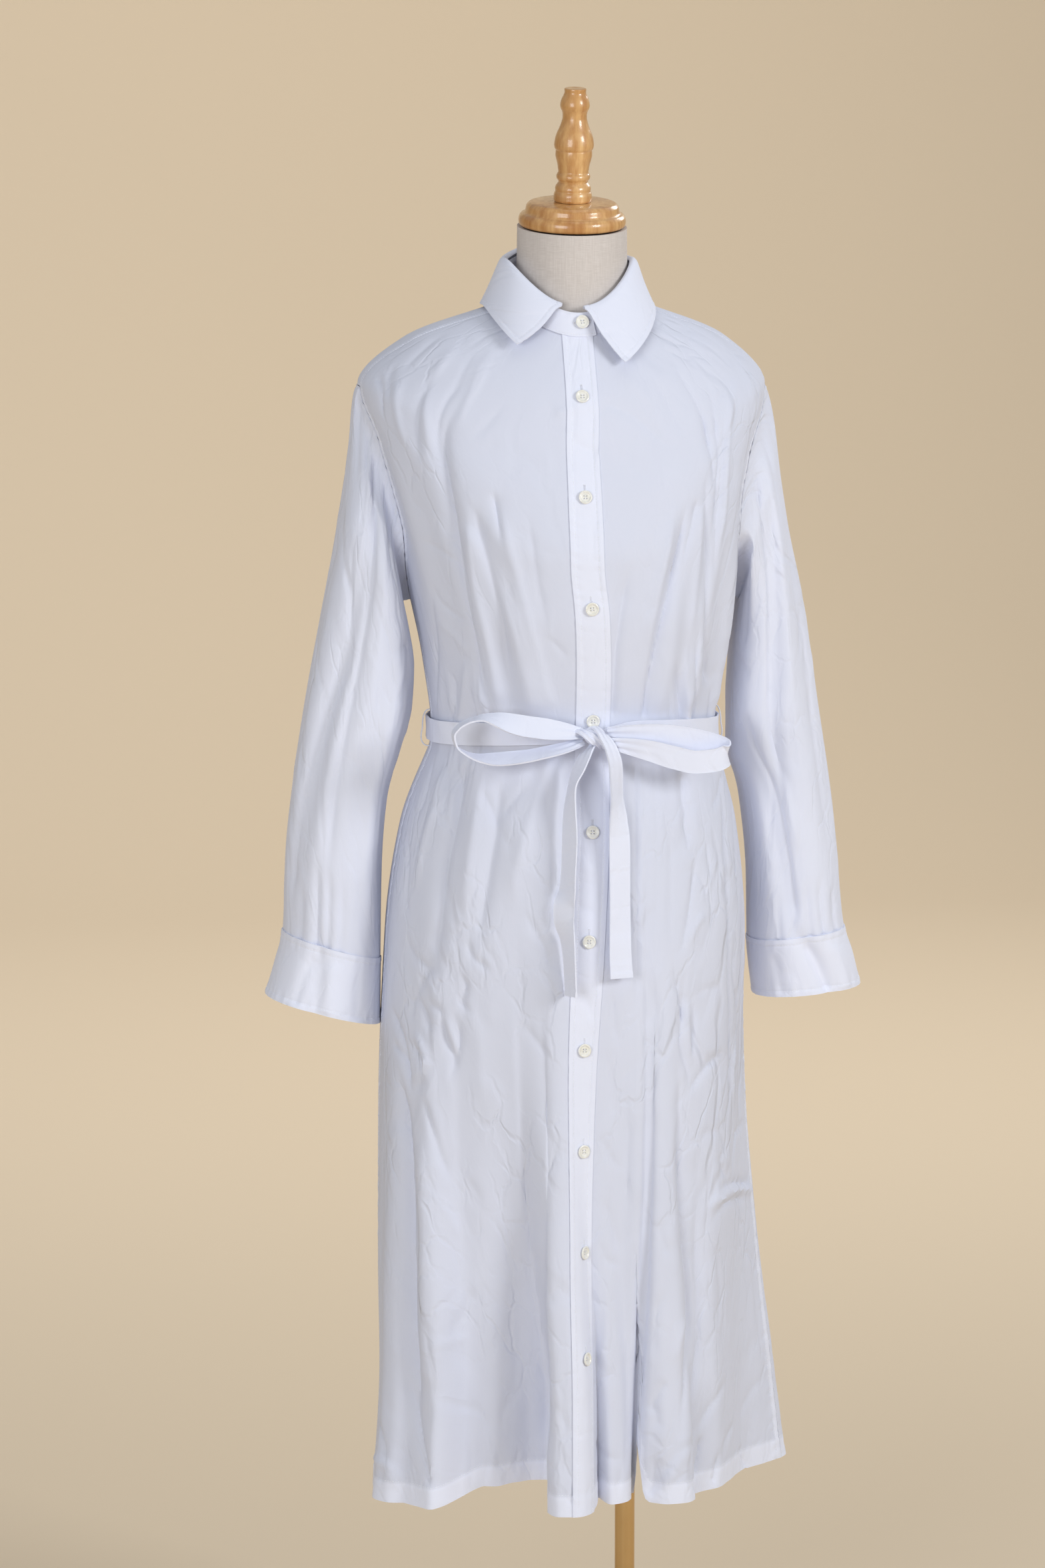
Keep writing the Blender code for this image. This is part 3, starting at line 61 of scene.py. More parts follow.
LIGHTS = (
    # name, place, aim, size, power, colour
    ("key", (2.8, -2.9, 2.4), (0.0, 0.0, 1.0), 1.2, 80.0, (0.965, 0.98, 1.0)),
    ("fill", (-2.2, -3.5, 1.6), (0.0, 0.0, 0.9), 1.8, 62.0, (0.95, 0.97, 1.0)),
    ("top", (0.3, -0.5, 3.6), (0.0, 0.1, 1.0), 1.6, 6.0, (1.0, 1.0, 1.0)),
    ("backdrop", (0.0, 3.2, 4.6), (0.0, 7.0, 1.0), 3.5, 140.0, (1.0, 0.98, 0.96)),
    ("rear", (2.8, 3.0, 3.4), (0.0, 0.0, 0.9), 1.6, 44.0, (0.97, 0.98, 1.0)),
)
SKY_COLOUR = (0.92, 0.955, 1.0)
SKY_STRENGTH = 0.36

# ---------------------------------------------------------------- tones and finishes
FLOOR_TONE = (0.69, 0.572, 0.418)
# Cloth tones with painted light and shade: one-layer cloth is painted darker, as shade where light passes
# through it into the dark inside, and cloth that lies double is painted lighter.
SHADED_SINGLE_CLOTH = (0.690, 0.716, 0.826)
LIT_DOUBLE_CLOTH = (0.785, 0.812, 0.928)
DULL_SHARE = 0.975         # tone of the duller clouds in single cloth
THREAD_TONE = (0.84, 0.85, 0.90)
LINEN_LIGHT = (0.66, 0.605, 0.565)
LINEN_DARK = (0.59, 0.535, 0.495)
WOOD_TONE = (0.72, 0.42, 0.16)
WOOD_GRAIN = ((0.60, 0.40, 0.22), (1.0, 1.0, 1.0))
WOOD_BROAD = ((0.62, 0.33, 0.11), (0.83, 0.53, 0.23))
BRASS_TONE = (0.70, 0.47, 0.22)
BRASS_CLOUDS = ((0.60, 0.39, 0.17), (0.76, 0.53, 0.27))
PEARL_TONE = (0.76, 0.74, 0.66)
PEARL_CLOUDS = ((0.80, 0.79, 0.72), (0.88, 0.87, 0.82))
WEAVE_HIGH = 0.00025       # bump of the weave
NAP_HIGH = 0.0012          # bump of its soft unevenness
WRINKLES = (
    # cells per metre along the texture's axes, width as a share of a cell, height
    ((19.0, 7.5, 1.0), 0.12, 0.00150),
    ((46.0, 24.0, 1.0), 0.13, 0.00060),
)
WRINKLE_BEND = (0.9, 0.9, 0.0)     # how far noise bends the wrinkle lines, in cells


def add(thing, name):
    made = bpy.data.objects.new(name, thing)
    bpy.context.scene.collection.objects.link(made)
    return made


def from_faces(name, points, faces, finish, sharp):
    """Object from points and faces, smooth except at edges past an angle in degrees."""
    mesh = bpy.data.meshes.new(name)
    mesh.from_pydata(points, [], faces)
    for face in mesh.polygons:
        face.use_smooth = True
    mesh.set_sharp_from_angle(angle=math.radians(sharp))
    mesh.materials.append(finish)
    return add(mesh, name)


def make_camera():
    turn = math.radians(CAMERA_TURN)
    lens = bpy.data.cameras.new("camera")
    lens.sensor_fit = "VERTICAL"
    lens.sensor_height = PHOTO_SIDE
    lens.lens = LENS
    lens.clip_end = 50.0
    camera = add(lens, "camera")
    camera.location = (TORSO_X + CAMERA_FAR * math.sin(turn), -CAMERA_FAR * math.cos(turn), CAMERA_HIGH)
    camera.rotation_euler = (math.radians(90.0 - CAMERA_DOWN), 0.0, turn + math.radians(CAMERA_ASIDE))
    bpy.context.scene.camera = camera


def make_lights():
    for name, place, aim, size, power, colour in LIGHTS:
        lamp = bpy.data.lights.new(name, "AREA")
        lamp.size = size
        lamp.energy = power
        lamp.color = colour
        made = add(lamp, name)
        made.location = place
        way = made.location - type(made.location)(aim)
        made.rotation_euler = way.to_track_quat("Z", "Y").to_euler()
    world = bpy.data.worlds.new("studio")
    world.use_nodes = True
    sky = world.node_tree.nodes["Background"]
    sky.inputs["Color"].default_value = (*SKY_COLOUR, 1.0)
    sky.inputs["Strength"].default_value = SKY_STRENGTH
    bpy.context.scene.world = world
    bpy.context.scene.view_settings.view_transform = "Standard"


def make_floor():
    """Floor that bends up into a backdrop."""
    turns = np.linspace(0.0, math.pi / 2, 25)
    y = np.concatenate([[-FLOOR_REACH], WALL_BACK - SWEEP + SWEEP * np.sin(turns), [WALL_BACK]])
    z = np.concatenate([[0.0], SWEEP - SWEEP * np.cos(turns), [WALL_HIGH]])
    points = [(x, b, c) for x in (-FLOOR_REACH, FLOOR_REACH) for b, c in zip(y, z)]
    count = len(y)
    faces = [(k, count + k, count + k + 1, k + 1) for k in range(count - 1)]
    from_faces("floor", points, faces, paint("floor", FLOOR_TONE, 0.9), 180.0)


# ---------------------------------------------------------------- finishes
def paint(name, colour, roughness, metallic=0.0):
    """A new material with its plain values set; its nodes are added by the caller."""
    made = bpy.data.materials.new(name)
    made.use_nodes = True
    shader = made.node_tree.nodes["Principled BSDF"]
    shader.inputs["Base Color"].default_value = (*colour, 1.0)
    shader.inputs["Roughness"].default_value = roughness
    shader.inputs["Metallic"].default_value = metallic
    return made


class Nodes:
    """Short way to add and join a material's nodes."""

    def __init__(self, material):
        self.tree = material.node_tree
        self.shader = self.tree.nodes["Principled BSDF"]

    def put(self, value, slot):
        """Links an output to a socket, or sets the socket's own value."""
        if hasattr(value, "is_output"):
            self.tree.links.new(value, slot)
        else:
            slot.default_value = value

    def add(self, kind, **inputs):
        node = self.tree.nodes.new("ShaderNode" + kind)
        for name, value in inputs.items():
            self.put(value, node.inputs[name.replace("_", " ")])
        return node

    def shade(self, **inputs):
        for name, value in inputs.items():
            self.put(value, self.shader.inputs[name.replace("_", " ")])

    def place(self, use_uv, stretch):
        """Texture coordinates in metres, scaled on each axis."""
        source = self.add("TexCoord")
        return self.add("Mapping", Vector=source.outputs["UV" if use_uv else "Object"],
                        Scale=stretch).outputs["Vector"]

    def noise(self, use_uv, stretch, detail=3.0, roughness=0.5):
        where = self.place(use_uv, stretch)
        node = self.add("TexNoise", Vector=where, Scale=1.0, Detail=detail, Roughness=roughness)
        return node.outputs["Fac"]

    def bump(self, height, strength, distance, below=None):
        node = self.add("Bump", Height=height, Strength=strength, Distance=distance)
        if below:
            self.put(below, node.inputs["Normal"])
        return node.outputs["Normal"]

    def times(self, first, second):
        node = self.add("Math")
        node.operation = "MULTIPLY"
        self.put(first, node.inputs[0])
        self.put(second, node.inputs[1])
        return node.outputs["Value"]

    def mark(self, name):
        """A value kept on the mesh's points."""
        node = self.add("Attribute")
        node.attribute_name = name
        return node.outputs["Fac"]

    def ramp(self, factor, low, high, first, last):
        node = self.add("ValToRGB", Fac=factor)
        for element, position, tone in zip(node.color_ramp.elements, (low, high), (first, last)):
            element.position = position
            element.color = (*tone, 1.0)
        return node.outputs["Color"]

    def mix(self, factor, first, last, blend="MIX"):
        """Two colours mixed; the sockets by number are the node's colour ones."""
        node = self.add("Mix")
        node.data_type = "RGBA"
        node.blend_type = blend
        for value, number in ((factor, 0), (first, 6), (last, 7)):
            self.put(value, node.inputs[number])
        return node.outputs[2]


def wrinkles(nodes, stretch, wide, high, worn, below):
    """Bump of thin bent wrinkle lines, in patches and where the cloth is worn."""
    where = nodes.place(True, stretch)
    bend = nodes.add("TexNoise", Vector=where, Scale=1.3, Detail=2.0, Roughness=0.5)
    shift = nodes.add("VectorMath")
    shift.operation = "MULTIPLY_ADD"
    nodes.put(bend.outputs["Color"], shift.inputs[0])
    nodes.put(WRINKLE_BEND, shift.inputs[1])
    nodes.put(where, shift.inputs[2])
    cells = nodes.add("TexVoronoi", Vector=shift.outputs["Vector"], Scale=1.0, Randomness=1.0)
    cells.feature = "DISTANCE_TO_EDGE"
    line = nodes.add("MapRange", Value=cells.outputs["Distance"], From_Max=wide)
    line.interpolation_type = "SMOOTHSTEP"
    patch = nodes.add("TexNoise", Vector=where, Scale=0.45, Detail=1.0)
    share = nodes.add("MapRange", Value=patch.outputs["Fac"], From_Min=0.42, From_Max=0.60)
    both = nodes.times(line.outputs["Result"], share.outputs["Result"])
    return nodes.bump(nodes.times(both, worn), 1.0, high, below)


def make_cloth_finish():
    """Plain-weave shirting with fine wrinkles, painted lighter where the cloth lies double and darker, as
    painted shade, where it is one layer.
    """
    made = paint("shirting", LIT_DOUBLE_CLOTH, 0.82)
    nodes = Nodes(made)
    nodes.shade(Sheen_Weight=0.10, Sheen_Roughness=0.5, Specular_IOR_Level=0.25)
    shape = nodes.bump(nodes.noise(True, (2600.0, 90.0, 1.0), 2.0), 0.10, WEAVE_HIGH)
    shape = nodes.bump(nodes.noise(True, (90.0, 2600.0, 1.0), 2.0), 0.10, WEAVE_HIGH, shape)
    shape = nodes.bump(nodes.noise(True, (55.0, 40.0, 1.0), 4.0, 0.55), 0.25, NAP_HIGH, shape)
    worn = nodes.mark("worn")
    for stretch, wide, high in WRINKLES:
        shape = wrinkles(nodes, stretch, wide, high, worn, shape)
    dull = tuple(c * DULL_SHARE for c in SHADED_SINGLE_CLOTH)
    shaded_single = nodes.ramp(nodes.noise(True, (9.0, 6.0, 1.0)), 0.35, 0.65, dull, SHADED_SINGLE_CLOTH)
    # painted light: the mark mixes the lighter tone of double cloth over the painted shade of one-layer cloth
    nodes.shade(Normal=shape, Base_Color=nodes.mix(nodes.mark("layers"), shaded_single, (*LIT_DOUBLE_CLOTH, 1.0)))
    return made


def make_linen_finish():
    """Cover of the form: fine linen with darker threads both ways."""
    made = paint("linen", LINEN_LIGHT, 0.9)
    nodes = Nodes(made)
    warp = nodes.noise(False, (1500.0, 1500.0, 60.0), 2.0)
    weft = nodes.noise(False, (120.0, 120.0, 1900.0), 2.0)
    both = nodes.times(warp, weft)
    nodes.shade(Base_Color=nodes.ramp(both, 0.16, 0.34, LINEN_DARK, LINEN_LIGHT),
                Normal=nodes.bump(both, 0.25, 0.0004))
    return made


def make_wood_finish():
    """Light turned wood with grain along its axis under a clear varnish."""
    made = paint("varnished_wood", WOOD_TONE, 0.38)
    nodes = Nodes(made)
    grain = nodes.noise(False, (150.0, 150.0, 14.0), 6.0, 0.62)
    broad = nodes.noise(False, (28.0, 28.0, 5.0))
    tone = nodes.mix(0.75, nodes.ramp(broad, 0.35, 0.68, *WOOD_BROAD),
                     nodes.ramp(grain, 0.36, 0.66, *WOOD_GRAIN), "MULTIPLY")
    nodes.shade(Coat_Weight=0.7, Coat_Roughness=0.12, Base_Color=tone, Normal=nodes.bump(grain, 0.12, 0.0004))
    return made


def make_brass_finish(name, roughness):
    """Drawn brass with fine scratches along the tube."""
    made = paint(name, BRASS_TONE, roughness, 1.0)
    nodes = Nodes(made)
    drawn = nodes.noise(False, (900.0, 900.0, 12.0))
    cloud = nodes.noise(False, (20.0, 20.0, 9.0), 4.0)
    nodes.shade(Normal=nodes.bump(drawn, 0.06, 0.0003), Base_Color=nodes.ramp(cloud, 0.3, 0.7, *BRASS_CLOUDS))
    return made


def make_button_finish():
    """Pearly off-white plastic, a little see-through."""
    made = paint("pearl_plastic", PEARL_TONE, 0.22)
    nodes = Nodes(made)
    cloud = nodes.noise(False, (240.0, 240.0, 240.0))
    nodes.shade(Subsurface_Weight=0.25, Subsurface_Radius=(0.002, 0.002, 0.0015), Coat_Weight=0.4,
                Base_Color=nodes.ramp(cloud, 0.3, 0.7, *PEARL_CLOUDS))
    return made


# ---------------------------------------------------------------- shape of the garment
# As in the part, but for the depth of the front fold.
SEAM = 0.0003          # gap between two pieces at a seam
WAIST_Z = 1.008        # middle of the belt at the sides
BELT_WIDE = 0.021
BELT_PRESS = 0.70      # share of the folds flattened under the belt
BUTTON_R = 0.0063
BUTTON_THICK = 0.0022
SIGHT = (0.1564, 0.9877)   # direction in plan of the deep front fold

# Rings of the bodice and skirt, neckline to hem, numbered from 0.
LEVEL_COLUMNS = ("z_front", "z_side", "z_back", "x_mid", "y_front", "y_mid", "y_back", "half", "square")
LEVELS = (
    ("neckline",   1.3705, 1.4020, 1.4120,  0.000, -0.066,  0.000, 0.062, 0.0640, 2.0),
    ("yoke",       1.3110, 1.3700, 1.3620, -0.004, -0.097,  0.017, 0.102, 0.1490, 2.0),
    ("shoulder",   1.2700, 1.3260, 1.3000, -0.006, -0.110,  0.026, 0.116, 0.1900, 2.1),
    ("chest",      1.2200, 1.2800, 1.2500, -0.006, -0.126,  0.020, 0.120, 0.1790, 2.2),
    ("armhole",    1.1700, 1.2050, 1.1950, -0.004, -0.136,  0.012, 0.118, 0.1620, 2.2),
    ("underarm",   1.1250, 1.1280, 1.1300, -0.002, -0.136,  0.004, 0.110, 0.1475, 2.2),
    ("under_bust", 1.0750, 1.0750, 1.0750,  0.000, -0.129,  0.000, 0.103, 0.1390, 2.2),
    ("belt_top",   1.0300, 1.0220, 1.0220,  0.000, -0.1185, -0.005, 0.0965, 0.1320, 2.2),
    ("waist",      1.0160, 1.0080, 1.0080,  0.000, -0.118, -0.006, 0.096, 0.1315, 2.2),
    ("belt_foot",  1.0020, 0.9940, 0.9940,  0.000, -0.1190, -0.006, 0.0968, 0.1323, 2.2),
    ("high_hip",   0.9200, 0.9200, 0.9200, -0.005, -0.141, -0.012, 0.112, 0.1560, 2.2),
    ("hip",        0.8200, 0.8200, 0.8200, -0.008, -0.153, -0.018, 0.118, 0.1680, 2.3),
    ("thigh",      0.6850, 0.6850, 0.6850, -0.0115, -0.163, -0.022, 0.122, 0.1705, 2.3),
    ("knee",       0.5250, 0.5250, 0.5250, -0.0073, -0.173, -0.026, 0.124, 0.1745, 2.3),
    ("shin",       0.3950, 0.3950, 0.3950,  0.0005, -0.180, -0.028, 0.126, 0.1780, 2.3),
    ("hem",        0.3000, 0.3000, 0.3000,  0.003, -0.185, -0.030, 0.127, 0.1830, 2.3),
)

YOKE_RING = 2.0
UNDERARM_RING = 5.0
WAIST_RING = 8.0
HEM_RING = 15.0
RING_SOFT = 0.2        # rings over which one seam gives way to the next

# Seams that run down the body, read at the same rings: placket edges and deep fold (x of the
# base ring), front yoke seam and armhole (quarter turns from centre front, right and left side).
GUIDE_COLUMNS = ("placket_right", "placket_left", "fold_x", "fold_depth", "cut_right", "cut_left",
                 "back_right", "back_left")
GUIDES = (
    ("neckline",   -0.0190, 0.0090, 0.0300, 0.00, 0.83, 0.83, 1.00, 1.00),
    ("yoke",       -0.0200, 0.0090, 0.0380, 0.00, 0.88, 0.88, 1.00, 1.00),
    ("shoulder",   -0.0220, 0.0075, 0.0450, 0.00, 0.93, 0.93, 1.07, 1.07),
    ("chest",      -0.0225, 0.0080, 0.0500, 0.00, 0.84, 0.74, 1.20, 1.20),
    ("armhole",    -0.0220, 0.0085, 0.0500, 0.00, 0.83, 0.71, 1.20, 1.20),
    ("underarm",   -0.0180, 0.0130, 0.0510, 0.00, 1.00, 1.00, 1.00, 1.00),
    ("under_bust", -0.0155, 0.0155, 0.0520, 0.00, 1.00, 1.00, 1.00, 1.00),
    ("belt_top",   -0.0145, 0.0165, 0.0515, 0.00, 1.00, 1.00, 1.00, 1.00),
    ("waist",      -0.0150, 0.0160, 0.0515, 0.00, 1.00, 1.00, 1.00, 1.00),
    ("belt_foot",  -0.0155, 0.0155, 0.0515, 0.01, 1.00, 1.00, 1.00, 1.00),
    ("high_hip",   -0.0185, 0.0125, 0.0505, 0.06, 1.00, 1.00, 1.00, 1.00),
    ("hip",        -0.0235, 0.0070, 0.0495, 0.14, 1.00, 1.00, 1.00, 1.00),
    ("thigh",      -0.0285, -0.0020, 0.0490, 0.36, 1.00, 1.00, 1.00, 1.00),
    ("knee",       -0.0285, -0.0065, 0.0460, 0.62, 1.00, 1.00, 1.00, 1.00),
    ("shin",       -0.0265, -0.0080, 0.0430, 0.84, 1.00, 1.00, 1.00, 1.00),
    ("hem",        -0.0270, -0.0090, 0.0410, 1.00, 1.00, 1.00, 1.00, 1.00),
)
FOLD_MOUTH = 0.011     # half of the base ring taken by the deep fold
FOLD_GAP = 0.0050      # half of the gap between its two walls
FOLD_CLOSE = 0.30      # share of the gap closed at the hem
FOLD_DEPTH = 0.0145    # at the hem

# Main folds of the body: height of top and foot, quarter turns from centre front at top,
# middle and foot (right side below 0), width at top and foot, rise outward at top, middle and foot.
FOLDS = (
    ("bust_ridge_right_outer", 1.235, 0.940, -0.56, -0.49, -0.52, 0.014, 0.012, 0.000, 0.006, 0.000),
    ("bust_ridge_right_inner", 1.235, 0.940, -0.42, -0.30, -0.12, 0.013, 0.009, 0.000, 0.005, 0.000),
    ("bust_ridge_left_inner",  1.235, 0.940,  0.53,  0.50,  0.42, 0.013, 0.008, 0.000, 0.006, 0.000),
    ("bust_ridge_left_outer",  1.235, 0.940,  0.69,  0.72,  0.74, 0.014, 0.010, 0.000, 0.006, 0.000),
    ("bust_ridge_left_near",   1.180, 0.980,  0.34,  0.33,  0.31, 0.012, 0.007, 0.000, 0.004, 0.000),
    ("arm_pleat_right",        1.300, 1.080, -0.74, -0.69, -0.68, 0.014, 0.018, 0.000, 0.005, 0.000),
    ("arm_pleat_left",         1.300, 1.060,  0.60,  0.64,  0.78, 0.014, 0.018, 0.000, 0.005, 0.000),
    ("back_ridge_right",       0.960, 0.300, -1.34, -1.35, -1.36, 0.020, 0.032, 0.000, 0.007, 0.012),
    ("back_valley_right",      0.900, 0.300, -1.55, -1.55, -1.55, 0.020, 0.034, 0.000, -0.010, -0.022),
    ("back_ridge_mid_right",   0.960, 0.300, -1.72, -1.74, -1.76, 0.018, 0.030, 0.000, 0.008, 0.018),
    ("back_valley_mid",        0.900, 0.300,  2.00,  2.00,  2.00, 0.018, 0.034, 0.000, -0.010, -0.024),
    ("back_ridge_mid_left",    0.960, 0.300,  1.70,  1.72,  1.75, 0.018, 0.030, 0.000, 0.009, 0.018),
    ("back_valley_left",       0.900, 0.300,  1.46,  1.46,  1.47, 0.020, 0.034, 0.000, -0.010, -0.022),
    ("back_ridge_left",        0.960, 0.300,  1.24,  1.22,  1.20, 0.020, 0.032, 0.000, 0.010, 0.020),
    ("back_bodice_right",      1.200, 0.940, -1.55, -1.60, -1.62, 0.016, 0.010, 0.000, 0.005, 0.000),
    ("back_bodice_left",       1.200, 0.940,  1.52,  1.58,  1.61, 0.016, 0.010, 0.000, 0.005, 0.000),
)

# The skirt at its hem, from the right side round the front to the left: place in quarter turns,
# rise over the base ring and lift of the hem. Folds fade out upward to DRAPE_TOP.
DRAPE_COLUMNS = ("q", "rise", "lift")
DRAPE = (
    ("right_back",      -1.200,  0.0000, 0.000),
    ("right_side",      -1.000,  0.0080, 0.000),
    ("right_hollow",    -0.900,  0.0170, 0.000),
    ("corner_start",    -0.810,  0.0240, 0.000),
    ("corner",          -0.726,  0.0370, 0.000),
    ("corner_end",      -0.680,  0.0340, 0.000),
    ("small_valley",    -0.635,  0.0225, 0.000),
    ("ridge_start",     -0.580,  0.0225, 0.000),
    ("ridge",           -0.535,  0.0240, 0.000),
    ("ridge_end",       -0.512,  0.0120, 0.002),
    ("valley_wall",     -0.500, -0.0080, 0.005),
    ("valley_start",    -0.488, -0.0220, 0.008),
    ("valley_right",    -0.450, -0.0330, 0.012),
    ("valley_swell",    -0.405, -0.0370, 0.012),
    ("valley_mid",      -0.350, -0.0470, 0.014),
    ("valley_left",     -0.280, -0.0600, 0.014),
    ("valley_end",      -0.215, -0.0620, 0.014),
    ("panel_wall_in",   -0.192, -0.0590, 0.011),
    ("panel_wall_out",  -0.178,  0.0000, 0.000),
    ("panel_right",     -0.145,  0.0144, 0.000),
    ("panel_mid",       -0.091,  0.0152, 0.000),
    ("panel_left",      -0.052,  0.0056, 0.000),
    ("step_out",        -0.022, -0.0180, 0.001),
    ("step_in",         -0.004, -0.0350, 0.004),
    ("second_mid",       0.038, -0.0220, 0.000),
    ("second_left",      0.086, -0.0260, 0.000),
    ("fold_right",       0.120, -0.0350, 0.002),
    ("fold_left",        0.190, -0.0180, 0.000),
    ("third_right",      0.227, -0.0090, 0.000),
    ("third_left",       0.287, -0.0070, 0.000),
    ("third_wall_out",   0.325, -0.0120, 0.000),
    ("third_wall_in",    0.370, -0.0285, 0.000),
    ("left_valley",      0.430, -0.0310, 0.000),
    ("left_swell",       0.500, -0.0290, 0.000),
    ("left_mid",         0.600, -0.0330, 0.000),
    ("left_hollow",      0.700, -0.0340, 0.000),
    ("left_front",       0.780, -0.0310, 0.000),
    ("left_rise",        0.850, -0.0230, 0.000),
    ("left_side",        0.925, -0.0070, 0.000),
    ("left_corner",      1.040,  0.0160, 0.000),
    ("left_back",        1.200,  0.0050, 0.000),
    ("left_end",         1.350,  0.0000, 0.000),
)
DRAPE_TOP = 0.930
DRAPE_FOOT = 0.300
DRAPE_BLUR = 0.070     # quarter turns the folds soften by at their top
DRAPE_TAPS = 15

# Small gathers drawn in by the belt: part of the girth and height. Each runs into a fold of the
# skirt in front; the back has them at an even step.
GATHERS = (
    ("front_right", -0.90, -0.20, 0.0024),
    ("front_left",   0.25,  0.92, 0.0024),
    ("back_right",  -1.87, -1.23, 0.0022),
    ("back_left",    1.23,  1.87, 0.0022),
)
GATHER_REACH = 0.045
BACK_START = 1.25      # first gather column of the back and the step of its columns
BACK_STEP = 0.06
FRONT_END = 1.1        # quarter turns from centre front where places are read round the back

# Hem lifted further in from the outline: quarter turns, width in quarter turns, lift.
HEM_LIFTS = (
    ("deep_fold",    0.155, 0.009, 0.060),
)


def smooth(low, high, value):
    t = np.clip((value - low) / (high - low), 0.0, 1.0)
    return t * t * (3.0 - 2.0 * t)


def unit(vectors):
    return vectors / np.maximum(np.linalg.norm(vectors, axis=-1, keepdims=True), 1e-12)


def curve(values, v):
    """Smooth curve through values at 0, 1, 2 ... without overshoot, read at v."""
    y = np.asarray(values, float)
    v = np.asarray(v, float)
    step = np.diff(y)
    slope = np.zeros(len(y))
    same = step[:-1] * step[1:] > 0
    slope[1:-1][same] = (2 * step[:-1] * step[1:])[same] / (step[:-1] + step[1:])[same]
    slope[0] = step[0]
    slope[-1] = step[-1]
    i = np.clip(np.floor(v).astype(int), 0, len(y) - 2)
    t = v - i
    a = 1 + t * t * (2 * t - 3)
    b = t * (t - 1) * (t - 1)
    c = t * t * (t - 1)
    return a * y[i] + (1 - a) * y[i + 1] + b * slope[i] + c * slope[i + 1]


def column(table, columns, name, v):
    k = columns.index(name) + 1
    return curve([row[k] for row in table], v)


def level(name, v):
    return column(LEVELS, LEVEL_COLUMNS, name, v)


def guide(name, v):
    return column(GUIDES, GUIDE_COLUMNS, name, v)


def table_ring(table, q, v):
    """Point of a ring of a table laid out as LEVELS, q quarter turns from centre front."""
    z_front, z_side, z_back, x_mid, y_front, y_mid, y_back, half, m = (
        column(table, LEVEL_COLUMNS, name, v) for name in LEVEL_COLUMNS)
    turn = np.asarray(q, float) * math.pi / 2
    s = np.sin(turn)
    c = np.cos(turn)
    size = (np.abs(s) ** m + np.abs(c) ** m) ** (-1 / m)
    deep = np.where(c > 0, y_mid - y_front, y_back - y_mid)
    z = z_side + (np.where(c > 0, z_front, z_back) - z_side) * c * c
    return np.stack([x_mid + half * s * size, y_mid - deep * c * size, z], axis=-1)


def three(top, middle, low, t):
    """Curve through three values at t = 0, 1/2 and 1."""
    return top * (1 - t) * (1 - 2 * t) + middle * 4 * t * (1 - t) + low * t * (2 * t - 1)


def quarter(x, v):
    """Quarter turns of the point of the front half ring that stands at x."""
    a = np.clip(np.abs(x - level("x_mid", v)) / level("half", v), 0, 0.999)
    m = level("square", v)
    power = a ** m
    turn = np.arctan((power / (1 - power)) ** (1 / m))
    return np.sign(x - level("x_mid", v)) * turn / (math.pi / 2)


def reach(v):
    """Metres of ring in a quarter turn."""
    return 0.5 * math.pi * (0.56 * level("half", v) + 0.44 * (level("y_back", v) - level("y_front", v)) / 2)


def near(q, centre):
    return (q - centre + 2.0) % 4.0 - 2.0


def drape_row(q):
    """Row number of the drape table at q, between rows by share."""
    return np.interp(near(q, 0.0), [row[1] for row in DRAPE], np.arange(len(DRAPE)))


def drape(name, q):
    return column(DRAPE, DRAPE_COLUMNS, name, drape_row(q))


def rise(q, v):
    """Folds and gathers: height over the base ring, outward."""
    h = level("z_side", v)
    long = reach(v)
    total = np.zeros(np.broadcast(q, v).shape)
    for row in FOLDS:
        z_top, z_low, q_top, q_mid, q_low, w_top, w_low, r_top, r_mid, r_low = row[1:]
        t = np.clip((z_top - h) / (z_top - z_low), 0.0, 1.0)
        wide = w_top + (w_low - w_top) * t
        d = near(q, three(q_top, q_mid, q_low, t)) * long / wide
        total = total + three(r_top, r_mid, r_low, t) * np.exp(-d * d)
    low = np.clip((DRAPE_TOP - h) / (DRAPE_TOP - DRAPE_FOOT), 0.0, 1.0)
    for tap in np.linspace(-1.0, 1.0, DRAPE_TAPS):
        total = total + low ** 1.6 * drape("rise", q + tap * DRAPE_BLUR * (1 - low)) / DRAPE_TAPS
    close = np.exp(-((h - WAIST_Z) / GATHER_REACH) ** 2)
    turn = near(q, 0.0)
    front_wave = 0.5 - 0.5 * np.cos(math.pi * drape_row(q))
    back_wave = 0.5 - 0.5 * np.cos(math.pi * (np.abs(turn) - BACK_START) / BACK_STEP)
    wave = np.where(np.abs(turn) < FRONT_END, front_wave, back_wave)
    for name, q_low, q_high, height in GATHERS:
        f = (turn - q_low) / (q_high - q_low)
        total = total + height * close * smooth(0.0, 0.15, f) * smooth(1.0, 0.85, f) * wave
    return total * (1 - BELT_PRESS * np.exp(-((h - WAIST_Z) / 0.024) ** 4))


def fold_wall(a):
    """Deep fold in plan for a in -1 to 1: across and inward, as a U with rounded lips."""
    half = 0.5 * math.pi * FOLD_GAP
    lip = FOLD_MOUTH - FOLD_GAP
    arc = 0.5 * math.pi * lip
    straight = FOLD_DEPTH - lip - FOLD_GAP
    far = np.abs(a) * (half + straight + arc)
    turn = np.clip(far / FOLD_GAP, 0, 0.5 * math.pi)
    side = np.clip(far - half, 0, straight)
    bend = np.clip((far - half - straight) / lip, 0, 0.5 * math.pi)
    across = FOLD_GAP * np.sin(turn) + lip * (1 - np.cos(bend))
    inward = FOLD_DEPTH - FOLD_GAP * (1 - np.cos(turn)) - side - lip * np.sin(bend)
    return np.sign(a) * across, inward


